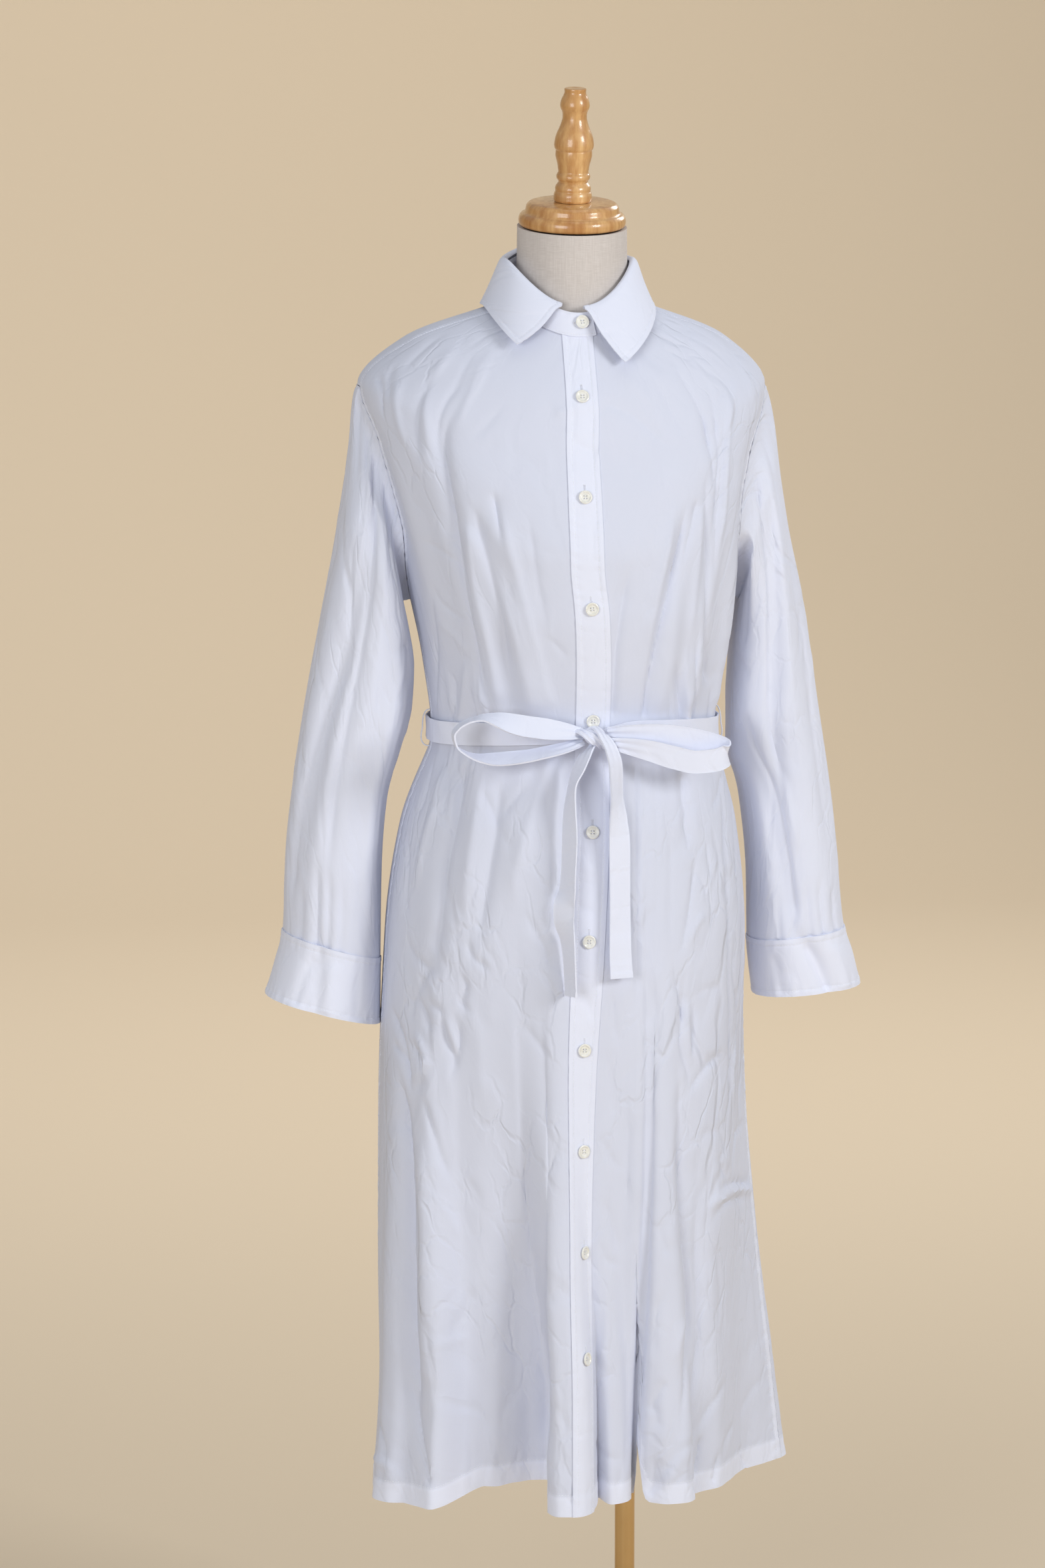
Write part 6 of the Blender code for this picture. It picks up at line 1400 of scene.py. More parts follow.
# Creases of the sleeves, laid out as those of the body; a point is (place round, ring number).
SLEEVE_CREASES = {
    "right": (
        ("long_crease", -0.0042, 0.0055, 1.4, 0.10, 0.15,
         ((0.185, 0.3), (0.200, 2.5), (0.205, 5.0), (0.215, 7.4))),
        ("long_ridge", 0.0022, 0.0085, 1.1, 0.15, 0.20, ((0.245, 0.6), (0.255, 3.0), (0.250, 5.5))),
        ("outer_crease", -0.0034, 0.0055, 1.3, 0.20, 0.15,
         ((0.175, 3.6), (0.135, 5.0), (0.095, 6.4), (0.075, 7.7))),
        ("outer_pinch_1", -0.0016, 0.0034, 1.3, 0.20, 0.30, ((0.020, 5.2), (0.060, 5.6), (0.090, 6.1))),
        ("outer_pinch_2", -0.0016, 0.0034, 1.3, 0.20, 0.30, ((0.005, 6.0), (0.045, 6.3), (0.075, 6.9))),
        ("outer_pinch_3", -0.0014, 0.0032, 1.3, 0.20, 0.30, ((0.010, 6.7), (0.045, 6.9), (0.065, 7.4))),
        ("outer_pinch_4", -0.0013, 0.0032, 1.3, 0.20, 0.30, ((0.015, 4.2), (0.050, 4.6), (0.085, 4.8))),
        ("inner_ridge", 0.0020, 0.0070, 1.1, 0.20, 0.15, ((0.325, 2.4), (0.330, 4.8), (0.335, 7.6))),
        ("inner_crease", -0.0026, 0.0055, 1.3, 0.25, 0.15, ((0.375, 2.2), (0.370, 4.6), (0.375, 7.6))),
        ("head_crease_1", -0.0022, 0.0045, 1.3, 0.10, 0.40, ((0.120, 0.1), (0.130, 1.2), (0.150, 2.6))),
        ("head_crease_2", -0.0016, 0.0040, 1.3, 0.10, 0.40, ((0.060, 0.1), (0.075, 0.9), (0.095, 1.9))),
        ("head_crease_3", -0.0016, 0.0040, 1.3, 0.10, 0.40, ((0.300, 0.2), (0.280, 1.2), (0.275, 2.2))),
        ("elbow_tuck_1", -0.0018, 0.0040, 1.4, 0.25, 0.30, ((0.400, 2.6), (0.350, 2.9), (0.300, 3.5))),
        ("elbow_tuck_2", -0.0015, 0.0038, 1.4, 0.25, 0.30, ((0.410, 3.3), (0.360, 3.7), (0.330, 4.3))),
        ("elbow_tuck_3", -0.0014, 0.0038, 1.4, 0.25, 0.30, ((0.100, 3.0), (0.140, 3.3), (0.165, 3.9))),
        ("cuff_pleat_1", -0.0034, 0.0042, 1.2, 0.40, 0.02, ((0.175, 6.9), (0.180, 7.5), (0.180, 8.05))),
        ("cuff_pleat_2", -0.0030, 0.0040, 1.2, 0.40, 0.02, ((0.215, 7.0), (0.218, 7.5), (0.215, 8.05))),
        ("cuff_pleat_3", -0.0024, 0.0038, 1.2, 0.40, 0.02, ((0.260, 7.1), (0.262, 7.6), (0.258, 8.05))),
        ("cuff_pleat_4", -0.0024, 0.0038, 1.2, 0.40, 0.02, ((0.120, 7.2), (0.124, 7.6), (0.122, 8.05))),
        ("cuff_pleat_5", -0.0028, 0.0040, 1.2, 0.40, 0.02, ((0.700, 7.0), (0.705, 7.5), (0.700, 8.05))),
        ("cuff_pleat_6", -0.0028, 0.0040, 1.2, 0.40, 0.02, ((0.780, 7.0), (0.785, 7.5), (0.780, 8.05))),
        ("cuff_fold_1", -0.0026, 0.0050, 1.3, 0.25, 0.10, ((0.185, 8.1), (0.160, 9.0), (0.150, 10.0))),
        ("cuff_fold_2", 0.0018, 0.0070, 1.2, 0.25, 0.10, ((0.240, 8.2), (0.235, 9.0), (0.240, 10.0))),
        ("cuff_fold_3", -0.0018, 0.0050, 1.3, 0.30, 0.10, ((0.330, 8.3), (0.322, 9.1), (0.330, 10.0))),
        ("back_crease", -0.0034, 0.0065, 1.3, 0.15, 0.15, ((0.690, 1.0), (0.700, 4.0), (0.710, 7.4))),
        ("back_ridge", 0.0022, 0.0085, 1.1, 0.15, 0.20, ((0.760, 1.4), (0.770, 4.2), (0.765, 7.0))),
        ("back_tuck_1", -0.0017, 0.0040, 1.4, 0.25, 0.30, ((0.560, 3.2), (0.610, 3.5), (0.660, 4.1))),
        ("back_tuck_2", -0.0015, 0.0038, 1.4, 0.25, 0.30, ((0.860, 2.8), (0.820, 3.3), (0.790, 4.0))),
        ("back_outer", -0.0026, 0.0055, 1.3, 0.20, 0.20, ((0.880, 2.2), (0.875, 4.6), (0.890, 7.2))),
    ),
    "left": (
        ("long_crease", -0.0040, 0.0055, 1.4, 0.10, 0.20,
         ((0.215, 0.3), (0.250, 2.5), (0.275, 4.6), (0.290, 6.6))),
        ("long_ridge", 0.0024, 0.0085, 1.1, 0.15, 0.20, ((0.155, 0.6), (0.185, 3.0), (0.205, 5.5))),
        ("head_fold", -0.0036, 0.0045, 0.8, 0.05, 0.30, ((0.365, 0.9), (0.385, 1.8), (0.395, 3.0))),
        ("head_ridge", 0.0022, 0.0060, 1.1, 0.10, 0.40, ((0.335, 0.9), (0.345, 1.8), (0.350, 3.0))),
        ("low_fold", -0.0036, 0.0052, 1.4, 0.20, 0.10,
         ((0.390, 4.2), (0.345, 5.2), (0.300, 6.4), (0.275, 7.7))),
        ("low_ridge", 0.0022, 0.0070, 1.1, 0.20, 0.15, ((0.330, 4.6), (0.290, 5.6), (0.250, 6.8))),
        ("outer_ridge", 0.0018, 0.0085, 1.1, 0.20, 0.20, ((0.080, 2.4), (0.075, 4.6), (0.070, 7.2))),
        ("outer_crease", -0.0020, 0.0055, 1.3, 0.20, 0.20, ((0.125, 2.0), (0.120, 4.4), (0.130, 7.0))),
        ("head_crease_1", -0.0018, 0.0042, 1.3, 0.10, 0.40, ((0.120, 0.1), (0.135, 1.0), (0.150, 2.2))),
        ("head_crease_2", -0.0015, 0.0040, 1.3, 0.10, 0.40, ((0.060, 0.1), (0.070, 0.9), (0.085, 1.8))),
        ("elbow_tuck_1", -0.0017, 0.0040, 1.4, 0.25, 0.30, ((0.430, 2.8), (0.390, 3.3), (0.350, 3.7))),
        ("elbow_tuck_2", -0.0015, 0.0038, 1.4, 0.25, 0.30, ((0.070, 3.5), (0.110, 3.8), (0.150, 4.4))),
        ("elbow_tuck_3", -0.0014, 0.0038, 1.4, 0.25, 0.30, ((0.190, 4.4), (0.215, 5.0), (0.225, 5.8))),
        ("cuff_pleat_1", -0.0032, 0.0042, 1.2, 0.40, 0.02, ((0.180, 7.0), (0.184, 7.5), (0.180, 8.05))),
        ("cuff_pleat_2", -0.0030, 0.0040, 1.2, 0.40, 0.02, ((0.230, 7.0), (0.233, 7.5), (0.230, 8.05))),
        ("cuff_pleat_3", -0.0022, 0.0038, 1.2, 0.40, 0.02, ((0.130, 7.2), (0.134, 7.6), (0.130, 8.05))),
        ("cuff_pleat_4", -0.0022, 0.0038, 1.2, 0.40, 0.02, ((0.330, 7.1), (0.334, 7.6), (0.330, 8.05))),
        ("cuff_pleat_5", -0.0028, 0.0040, 1.2, 0.40, 0.02, ((0.700, 7.0), (0.705, 7.5), (0.700, 8.05))),
        ("cuff_pleat_6", -0.0028, 0.0040, 1.2, 0.40, 0.02, ((0.790, 7.0), (0.785, 7.5), (0.790, 8.05))),
        ("cuff_fold_1", -0.0030, 0.0052, 1.3, 0.20, 0.10, ((0.250, 8.1), (0.225, 9.0), (0.205, 10.0))),
        ("cuff_fold_2", 0.0018, 0.0070, 1.2, 0.25, 0.10, ((0.170, 8.2), (0.150, 9.0), (0.140, 10.0))),
        ("cuff_fold_3", -0.0018, 0.0050, 1.3, 0.30, 0.10, ((0.360, 8.3), (0.350, 9.1), (0.345, 10.0))),
        ("back_crease", -0.0034, 0.0065, 1.3, 0.15, 0.15, ((0.680, 1.0), (0.690, 4.0), (0.700, 7.4))),
        ("back_ridge", 0.0022, 0.0085, 1.1, 0.15, 0.20, ((0.760, 1.4), (0.765, 4.2), (0.770, 7.0))),
        ("back_tuck_1", -0.0017, 0.0040, 1.4, 0.25, 0.30, ((0.570, 3.4), (0.615, 3.7), (0.660, 4.4))),
        ("back_tuck_2", -0.0015, 0.0038, 1.4, 0.25, 0.30, ((0.850, 2.6), (0.815, 3.1), (0.790, 3.7))),
        ("back_outer", -0.0026, 0.0055, 1.3, 0.20, 0.20, ((0.880, 2.2), (0.890, 4.6), (0.885, 7.2))),
    ),
}

# Strewn crumples of each sleeve: how many, box, lean, spread, length, half width, rise.
SLEEVE_STREWN = (110, (0.0, SLEEVE_GIRTH, 0.03, 0.53), 0, 38, 0.055, 0.0050, 0.0008)
SLEEVE_SEEDS = {"right": SEED + 50, "left": SEED + 51}

# Rings of each sleeve: outer and inner point, depth to the front and back of y_mid.
SLEEVE_COLUMNS = ("x_out", "z_out", "x_in", "z_in", "y_mid", "front", "back")
SLEEVE_RIGHT = (
    ("armhole",   -0.1975, 1.3220, -0.1500, 1.1270,  0.016, 0.066, 0.060),
    ("head",      -0.2040, 1.2820, -0.1570, 1.1180,  0.016, 0.066, 0.060),
    ("upper",     -0.2120, 1.2320, -0.1520, 1.0950,  0.014, 0.064, 0.058),
    ("biceps",    -0.2220, 1.1740, -0.1480, 1.0640,  0.012, 0.062, 0.056),
    ("elbow",     -0.2355, 1.1060, -0.1500, 1.0270,  0.010, 0.060, 0.054),
    ("forearm",   -0.2495, 1.0330, -0.1615, 0.9860,  0.008, 0.058, 0.052),
    ("lower",     -0.2610, 0.9610, -0.1740, 0.9420,  0.006, 0.056, 0.050),
    ("wrist",     -0.2690, 0.8930, -0.1795, 0.8790,  0.004, 0.054, 0.048),
    ("end",       -0.2725, 0.8190, -0.1815, 0.7930,  0.002, 0.052, 0.046),
    ("cuff_mid",  -0.2800, 0.7890, -0.1820, 0.7620,  0.001, 0.053, 0.047),
    ("cuff_edge", -0.2890, 0.7590, -0.1825, 0.7310,  0.000, 0.054, 0.048),
)
SLEEVE_LEFT = (
    ("armhole",    0.1800, 1.3220,  0.1440, 1.1270,  0.016, 0.066, 0.060),
    ("head",       0.1920, 1.2820,  0.1570, 1.1180,  0.020, 0.066, 0.058),
    ("upper",      0.2010, 1.2320,  0.1570, 1.0950,  0.024, 0.064, 0.056),
    ("biceps",     0.2125, 1.1660,  0.1560, 1.0640,  0.026, 0.062, 0.054),
    ("elbow",      0.2245, 1.0980,  0.1540, 1.0270,  0.028, 0.060, 0.052),
    ("forearm",    0.2340, 1.0350,  0.1540, 0.9850,  0.028, 0.058, 0.050),
    ("lower",      0.2460, 0.9540,  0.1660, 0.9350,  0.026, 0.056, 0.048),
    ("wrist",      0.2570, 0.8700,  0.1730, 0.8600,  0.022, 0.052, 0.046),
    ("end",        0.2655, 0.8090,  0.1735, 0.7990,  0.020, 0.050, 0.044),
    ("cuff_mid",   0.2740, 0.7830,  0.1755, 0.7720,  0.020, 0.048, 0.044),
    ("cuff_edge",  0.2815, 0.7530,  0.1795, 0.7440,  0.020, 0.046, 0.044),
)
CUFF_TOP = 8.0
CUFF_TUCK = 0.0007     # how far the sleeve dips under the cuff
CUFF_END = 10.0
SLEEVE_SQUARE = 2.25

# Folds of the sleeves: from ring to ring, place round the sleeve at both (0 outer, 0.25 front,
# 0.5 inner), width, rise.
SLEEVE_FOLDS = {
    "right": (
        ("long_crease",   0.6, 7.6, 0.20, 0.11, 0.011, -0.0050),
        ("outer_ridge",   1.5, 8.0, 0.10, 0.05, 0.012, 0.0030),
        ("inner_ridge",   2.5, 8.0, 0.33, 0.37, 0.014, 0.0035),
        ("inner_crease",  3.0, 8.0, 0.42, 0.43, 0.010, -0.0040),
        ("back_crease",   1.0, 8.0, 0.72, 0.74, 0.014, -0.0050),
        ("back_ridge",    1.5, 8.0, 0.84, 0.86, 0.014, 0.0030),
        ("cuff_fold",     7.6, 10.0, 0.19, 0.21, 0.010, -0.0035),
    ),
    "left": (
        ("long_crease",   0.6, 6.6, 0.18, 0.30, 0.012, -0.0050),
        ("inner_ridge",   2.0, 8.0, 0.38, 0.36, 0.012, 0.0035),
        ("low_crease",    4.5, 8.4, 0.40, 0.27, 0.010, -0.0040),
        ("outer_ridge",   2.5, 8.0, 0.08, 0.07, 0.014, 0.0025),
        ("back_crease",   1.0, 8.0, 0.70, 0.73, 0.014, -0.0050),
        ("back_ridge",    1.5, 8.0, 0.85, 0.83, 0.014, 0.0030),
        ("cuff_fold",     7.7, 10.0, 0.26, 0.20, 0.011, -0.0045),
    ),
}


def body_frame(q, v):
    """Points of the body and unit normals there."""
    e = 2e-4
    f = 2e-3
    n = np.cross(body(q, v + f) - body(q, v - f), body(q + e, v) - body(q - e, v))
    return body(q, v), unit(n)


ARM_STEPS = 240
ARMHOLES = {}          # side: points of its seam and ways out
PEEL_TOP = 22.0        # degrees the sleeve lifts off the body's own surface at its head
PEEL_FOOT = 88.0       # and at the underarm
PEEL_LENGTH = 0.022


def armhole(side):
    """Armhole seam on the body from the shoulder to the front and round, and the way out of it."""
    sign = -1.0 if side == "right" else 1.0
    v = np.linspace(YOKE_RING, UNDERARM_RING, 121)
    halves = []
    for edge in ("cut_", "back_"):
        q = np.concatenate([[1.0], guide(edge + side, v)])
        w = np.concatenate([[YOKE_RING], v])
        p, n = body_frame(sign * q, w)
        p = p + n * (FACE + 0.0004)
        step = np.linalg.norm(np.diff(p, axis=0), axis=1)
        far = np.concatenate([[0], np.cumsum(step)]) / step.sum()
        even = np.linspace(0, 1, ARM_STEPS // 2 + 1)
        both = np.concatenate([p, n], axis=1)
        halves.append(np.stack([np.interp(even, far, both[:, k]) for k in range(6)], axis=-1))
    loop = np.concatenate([halves[0], halves[1][-2:0:-1]])
    p = loop[:, :3]
    n = loop[:, 3:]
    along = np.roll(p, -1, 0) - np.roll(p, 1, 0)
    into = unit(np.cross(n, along))
    into *= np.sign(np.sum(into * (p.mean(axis=0) - p), axis=1, keepdims=True))
    steps = np.arange(ARM_STEPS)
    a = np.minimum(steps, ARM_STEPS - steps) / ARM_STEPS
    open_out = np.radians(PEEL_TOP + (PEEL_FOOT - PEEL_TOP) * smooth(0.24, 0.46, a))[:, None]
    for smoothing in range(24):
        into = (np.roll(into, 1, 0) + 2 * into + np.roll(into, -1, 0)) / 4
    return p, into * np.cos(open_out) + n * np.sin(open_out)


def sleeve_ring(side, a, s):
    """Plain sleeve ring before it meets the armhole; a in 0 to 1 round it."""
    table = SLEEVE_RIGHT if side == "right" else SLEEVE_LEFT
    x_out, z_out, x_in, z_in, y_mid, front, back = (
        column(table, SLEEVE_COLUMNS, name, s) for name in SLEEVE_COLUMNS)
    c = np.cos(2 * math.pi * a)
    d = np.sin(2 * math.pi * a)
    size = (np.abs(c) ** SLEEVE_SQUARE + np.abs(d) ** SLEEVE_SQUARE) ** (-1 / SLEEVE_SQUARE)
    x = (x_out + x_in) / 2 + (x_out - x_in) / 2 * c * size
    z = (z_out + z_in) / 2 + (z_out - z_in) / 2 * c * size
    y = y_mid - np.where(d > 0, front, back) * d * size
    return np.stack([x, y, z], axis=-1)


def sleeve(side, a, s):
    """Outer face of a sleeve and its cuff, from the armhole at s = 0."""
    place = (a % 1.0) * ARM_STEPS
    i = np.floor(place).astype(int) % ARM_STEPS
    f = (place - np.floor(place))[..., None]
    start, way = (w[i] * (1 - f) + w[(i + 1) % ARM_STEPS] * f for w in ARMHOLES[side])
    base = sleeve_ring(side, a, s)
    left = (start - sleeve_ring(side, a, 0 * s)) * (1 - smooth(0.0, 2.6, s))[..., None]
    leave = smooth(0.0, 1.3, s)[..., None]
    p = (base + left) * leave + (start + way * (PEEL_LENGTH * s)[..., None]) * (1 - leave)
    out = unit(base - sleeve_ring(side, a + 0.5, s))
    high = np.zeros(np.broadcast(a, s).shape)
    for name, s_top, s_low, a_top, a_low, wide, height in SLEEVE_FOLDS[side]:
        t = (s - s_top) / (s_low - s_top)
        fade = smooth(0.0, 0.25, t)
        if s_low < CUFF_END:
            fade = fade * smooth(1.0, 0.75, t)
        centre = a_top + (a_low - a_top) * np.clip(t, 0, 1)
        d = ((a - centre + 0.5) % 1.0 - 0.5) * SLEEVE_GIRTH / wide
        high = high + height * fade * np.exp(-d * d)
    return p + out * high[..., None]


def sleeve_folds(side, a, s):
    """Small folds of a sleeve, strewn and listed one by one."""
    along = s * SLEEVE_STEP
    total = strewn(a * SLEEVE_GIRTH, along, SLEEVE_SEEDS[side], *SLEEVE_STREWN, 1)
    for shift in (-1.0, 0.0):
        across = (a + shift) * SLEEVE_GIRTH
        for name, rise_by, wide, other, start, end, path in SLEEVE_CREASES[side]:
            line = [(SLEEVE_GIRTH * at, SLEEVE_STEP * down) for at, down in path]
            total += crease(across, along, rise_by, wide, other, start, end, line)
    return total


# Ring numbers of the rows of a sleeve and of its cuff, whose rows are closer near both edges.
SLEEVE_ROWS = np.concatenate([
    np.linspace(0.02, 1.6, 32), np.linspace(1.64, 7.75, 128), np.linspace(7.78, 8.04, 9),
])
CUFF_EDGES = np.array([
    0.0, 0.012, 0.03, 0.05, 0.07, 0.085, 0.10, 0.115, 0.14, 0.18, 0.23, 0.29, 0.35, 0.41, 0.47,
])
CUFF_ROWS = CUFF_TOP + (CUFF_END - CUFF_TOP) * np.concatenate([CUFF_EDGES, 1 - CUFF_EDGES[::-1]])


def make_sleeves():
    """Each sleeve and its cuff, the right ones first."""
    made = []
    around = np.linspace(0, 1, 133)[:-1]
    for side, places in (("right", around), ("left", around[::-1])):
        ARMHOLES[side] = armhole(side)
        a, s = np.meshgrid(places, SLEEVE_ROWS, indexing="ij")
        p = sleeve(side, a, s)
        relief = seam_relief(p, "top", HEAD_STITCH, 1.6) - CUFF_TUCK * smooth(7.95, CUFF_TOP, s)
        relief = relief + sleeve_folds(side, a, s) * smooth(0.0, 0.5, s)
        outer = p + grid_normals(p, True) * relief[..., None]
        # the sleeves get part of the painted light of double cloth
        made.append(cloth_piece("sleeve_" + side, outer, CLOTH_THICK, True, layers=0.55, worn=0.55))
        a, s = np.meshgrid(places, CUFF_ROWS, indexing="ij")
        p = sleeve(side, a, s)
        relief = seam_relief(p, "top", CUFF_STITCH, 1.3) + seam_relief(p, "foot", CUFF_STITCH, 1.8) + 0.0004
        relief = relief + sleeve_folds(side, a, s) * smooth(CUFF_TOP, 8.3, s)
        outer = p + grid_normals(p, True) * relief[..., None]
        thread_line("thread_cuffs", outer, "top", CUFF_STITCH, True)
        thread_line("thread_cuffs", outer, "foot", CUFF_STITCH, True)
        made.append(cloth_piece("cuff_" + side, outer, BAND_THICK, True))
    return made


# ---------------------------------------------------------------- collar
COLLAR = (
    ("foot",      1.3730, 1.4040, 1.4145, -0.0010, -0.0655, 0.000, 0.0615, 0.0635, 2.0),
    ("top",       1.3950, 1.4375, 1.4510, -0.0035, -0.0600, 0.000, 0.0570, 0.0580, 2.0),
    ("crest_in",  1.3980, 1.4403, 1.4540, -0.0035, -0.0600, 0.000, 0.0570, 0.0580, 2.0),
    ("crest",     1.3992, 1.4422, 1.4556, -0.0035, -0.0623, 0.000, 0.0593, 0.0600, 2.0),
    ("crest_out", 1.3975, 1.4403, 1.4535, -0.0035, -0.0648, 0.000, 0.0618, 0.0622, 2.0),
    ("leaf",      1.3700, 1.4200, 1.4300, -0.0040, -0.0790, 0.001, 0.0720, 0.0700, 2.2),
    ("edge",      1.3350, 1.4000, 1.4000, -0.0040, -0.0950, 0.003, 0.0850, 0.0785, 2.4),
)
STAND_LAP = 0.13       # each end of the stand passes centre front by this, quarter turns
LEAF_RIGHT = (-0.167, -0.490)      # right front edge at the fold and at the tip, quarter turns
LEAF_LEFT = (0.054, 0.320)
STAND_STITCH = 0.0022
STAND_OVER = 0.0022    # the over end of the stand lies this far out
LEAF_FACE = 0.0016     # outer face of the leaf over the collar's surface


def collar(q, k):
    """Collar surface: q quarter turns from centre front, k row of the collar table."""
    return table_ring(COLLAR, q, k)


def make_collar():
    """Stand from its under end round the back to its over end, and the turned-down leaf."""
    w = np.linspace(-STAND_LAP, 4 + STAND_LAP, 190)
    u, k = np.meshgrid(w, np.linspace(0.0, 1.0, 12), indexing="ij")
    p = collar(u, k)
    over = STAND_OVER * smooth(3.3, 3.9, u)
    relief = seam_relief(p, "foot", STAND_STITCH, 1.2) + seam_relief(p, "last", STAND_STITCH, 0.5)
    stand = (p - grid_normals(p) * (over + relief)[..., None])[:, ::-1]
    thread_line("thread_collar", stand, "foot", STAND_STITCH)
    piece = cloth_piece("collar_stand", stand, BAND_THICK)
    f = np.concatenate([EDGES / 0.40, np.linspace(0.026, 0.974, 150), 1 - EDGES[::-1] / 0.40])
    rows = np.concatenate([np.linspace(2.0, 4.0, 14), np.linspace(4.15, 5.6, 14), np.linspace(5.66, 6.0, 11)])
    f, k = np.meshgrid(f, rows, indexing="ij")
    t = np.clip((k - 4.0) / 2.0, 0, 1)
    start = LEAF_LEFT[0] + (LEAF_LEFT[1] - LEAF_LEFT[0]) * t
    end = 4 + LEAF_RIGHT[0] + (LEAF_RIGHT[1] - LEAF_RIGHT[0]) * t
    p = collar(start + (end - start) * f, k)
    relief = sum(seam_relief(p, edge, EDGE_STITCH, 0.9) for edge in ("foot", "first", "last"))
    leaf = p + grid_normals(p) * (LEAF_FACE + relief)[..., None]
    for edge in ("foot", "first", "last"):
        thread_line("thread_collar", leaf, edge, EDGE_STITCH)
    return piece, cloth_piece("collar_leaf", leaf, LEAF_THICK)


# ---------------------------------------------------------------- belt and bow
BELT_OUT = 0.0042      # room between the base ring and the belt
BELT_FACE = 0.0014     # outer face of the belt over that
BELT_DRAWN = 0.60      # share of its width lost where the knot gathers it
BELT_DIP = 0.0030      # and how far its middle drops there
KNOT_AT = (0.0010, -0.1313, 1.0135)
KNOT_RADII = (0.0115, 0.0080, 0.0095)
KNOT_LEAN = -18.0      # degrees
PLEAT = 0.0006         # height of the gathers where a strip is drawn in
TAIL_STITCH = 0.0060   # from the end of a tail


def belt_surface(q, h):
    """Belt face on the waist ring; h metres above its middle. The knot draws it in."""
    p = table_ring(LEVELS, q, WAIST_RING + 0 * q)
    drawn = np.exp(-(q / 0.12) ** 2)
    p[..., 2] += h * (1 - BELT_DRAWN * drawn) - BELT_DIP * drawn
    return p


# Ribbons of the bow: points of the middle line, lean of the width in degrees, share of the width.
BOW_LOOP_RIGHT = (
    (-0.0103, -0.1325, 1.0160, -58, 0.50),
    (-0.0290, -0.1395, 1.0195, -60, 0.82),
    (-0.0490, -0.1420, 1.0226, -60, 1.00),
    (-0.0645, -0.1415, 1.0249, -60, 1.00),
    (-0.0770, -0.1405, 1.0276, -52, 1.00),
    (-0.0895, -0.1390, 1.0310, -32, 1.00),
    (-0.1014, -0.1370, 1.0330, -10, 1.00),
    (-0.1130, -0.1345, 1.0305,   0, 1.00),
    (-0.1240, -0.1320, 1.0245,   0, 1.00),
    (-0.1290, -0.1305, 1.0165,   0, 1.00),
    (-0.1270, -0.1305, 1.0075,   0, 1.00),
    (-0.1185, -0.1320, 1.0005,   4, 1.00),
    (-0.1060, -0.1345, 0.9960,  12, 1.00),
    (-0.0920, -0.1370, 0.9948,  24, 1.00),
    (-0.0780, -0.1395, 0.9958,  26, 1.00),
    (-0.0630, -0.1410, 0.9975,  22, 1.00),
    (-0.0480, -0.1415, 1.0004,  20, 1.00),
    (-0.0310, -0.1400, 1.0040,  24, 0.82),
    (-0.0106, -0.1335, 1.0095,  34, 0.45),
)
BOW_LOOP_LEFT = (
    (0.0125, -0.1325, 1.0160,   4, 0.50),
    (0.0310, -0.1390, 1.0165,   4, 0.75),
    (0.0491, -0.1415, 1.0158,   4, 0.90),
    (0.0722, -0.1410, 1.0131,   4, 1.00),
    (0.0916, -0.1395, 1.0095,   4, 1.00),
    (0.1080, -0.1385, 1.0050,   4, 1.00),
    (0.1185, -0.1400, 1.0005,   4, 1.00),
    (0.1215, -0.1440, 0.9965,   2, 1.00),
    (0.1165, -0.1480, 0.9935,   0, 1.00),
    (0.1060, -0.1500, 0.9912,   0, 1.00),
    (0.0910, -0.1510, 0.9905,   0, 1.00),
    (0.0722, -0.1500, 0.9945,   0, 1.00),
    (0.0491, -0.1480, 1.0012,  -4, 0.90),
    (0.0330, -0.1440, 1.0045,  -6, 0.75),
    (0.0130, -0.1365, 1.0075,  -8, 0.45),
)
TAIL_RIGHT = (
    (-0.0010, -0.1340, 1.0060, 30, 0.45),
    (-0.0085, -0.1430, 1.0000, 52, 0.75),
    (-0.0165, -0.1480, 0.9860, 66, 0.95),
    (-0.0228, -0.1500, 0.9700, 80, 1.00),
    (-0.0254, -0.1530, 0.9465, 68, 1.00),
    (-0.0261, -0.1570, 0.9212, 60, 1.00),
    (-0.0275, -0.1600, 0.8940, 62, 1.00),
    (-0.0291, -0.1620, 0.8757, 56, 1.00),
    (-0.0323, -0.1630, 0.8610, 36, 1.00),
    (-0.0325, -0.1640, 0.8500, 40, 1.00),
    (-0.0294, -0.1660, 0.8320, 62, 1.00),
    (-0.0281, -0.1680, 0.8157, 68, 1.00),
    (-0.0268, -0.1700, 0.7800, 71, 1.00),
)
TAIL_LEFT = (
    (0.0010, -0.1350, 1.0215, -36, 0.40),
    (0.0062, -0.1425, 1.0160, -38, 0.58),
    (0.0138, -0.1475, 1.0028, -42, 0.80),
    (0.0173, -0.1500, 0.9867, -46, 0.95),
    (0.0181, -0.1515, 0.9614, -52, 1.00),
    (0.0193, -0.1525, 0.9397, -34, 1.00),
    (0.0203, -0.1540, 0.9121, -18, 1.00),
    (0.0202, -0.1570, 0.8663, -20, 1.00),
    (0.0199, -0.1620, 0.8207, -12, 1.00),
    (0.0208, -0.1650, 0.7947, -4, 1.00),
)
KNOT_WRAP = (
    (-0.0150, -0.1300, 1.0200, 0, 0.45),
    (-0.0105, -0.1378, 1.0186, 0, 0.50),
    (-0.0050, -0.1420, 1.0158, 0, 0.56),
    (0.0005, -0.1436, 1.0118, 0, 0.58),
    (0.0050, -0.1418, 1.0068, 0, 0.52),
    (0.0072, -0.1345, 1.0028, 0, 0.42),
)


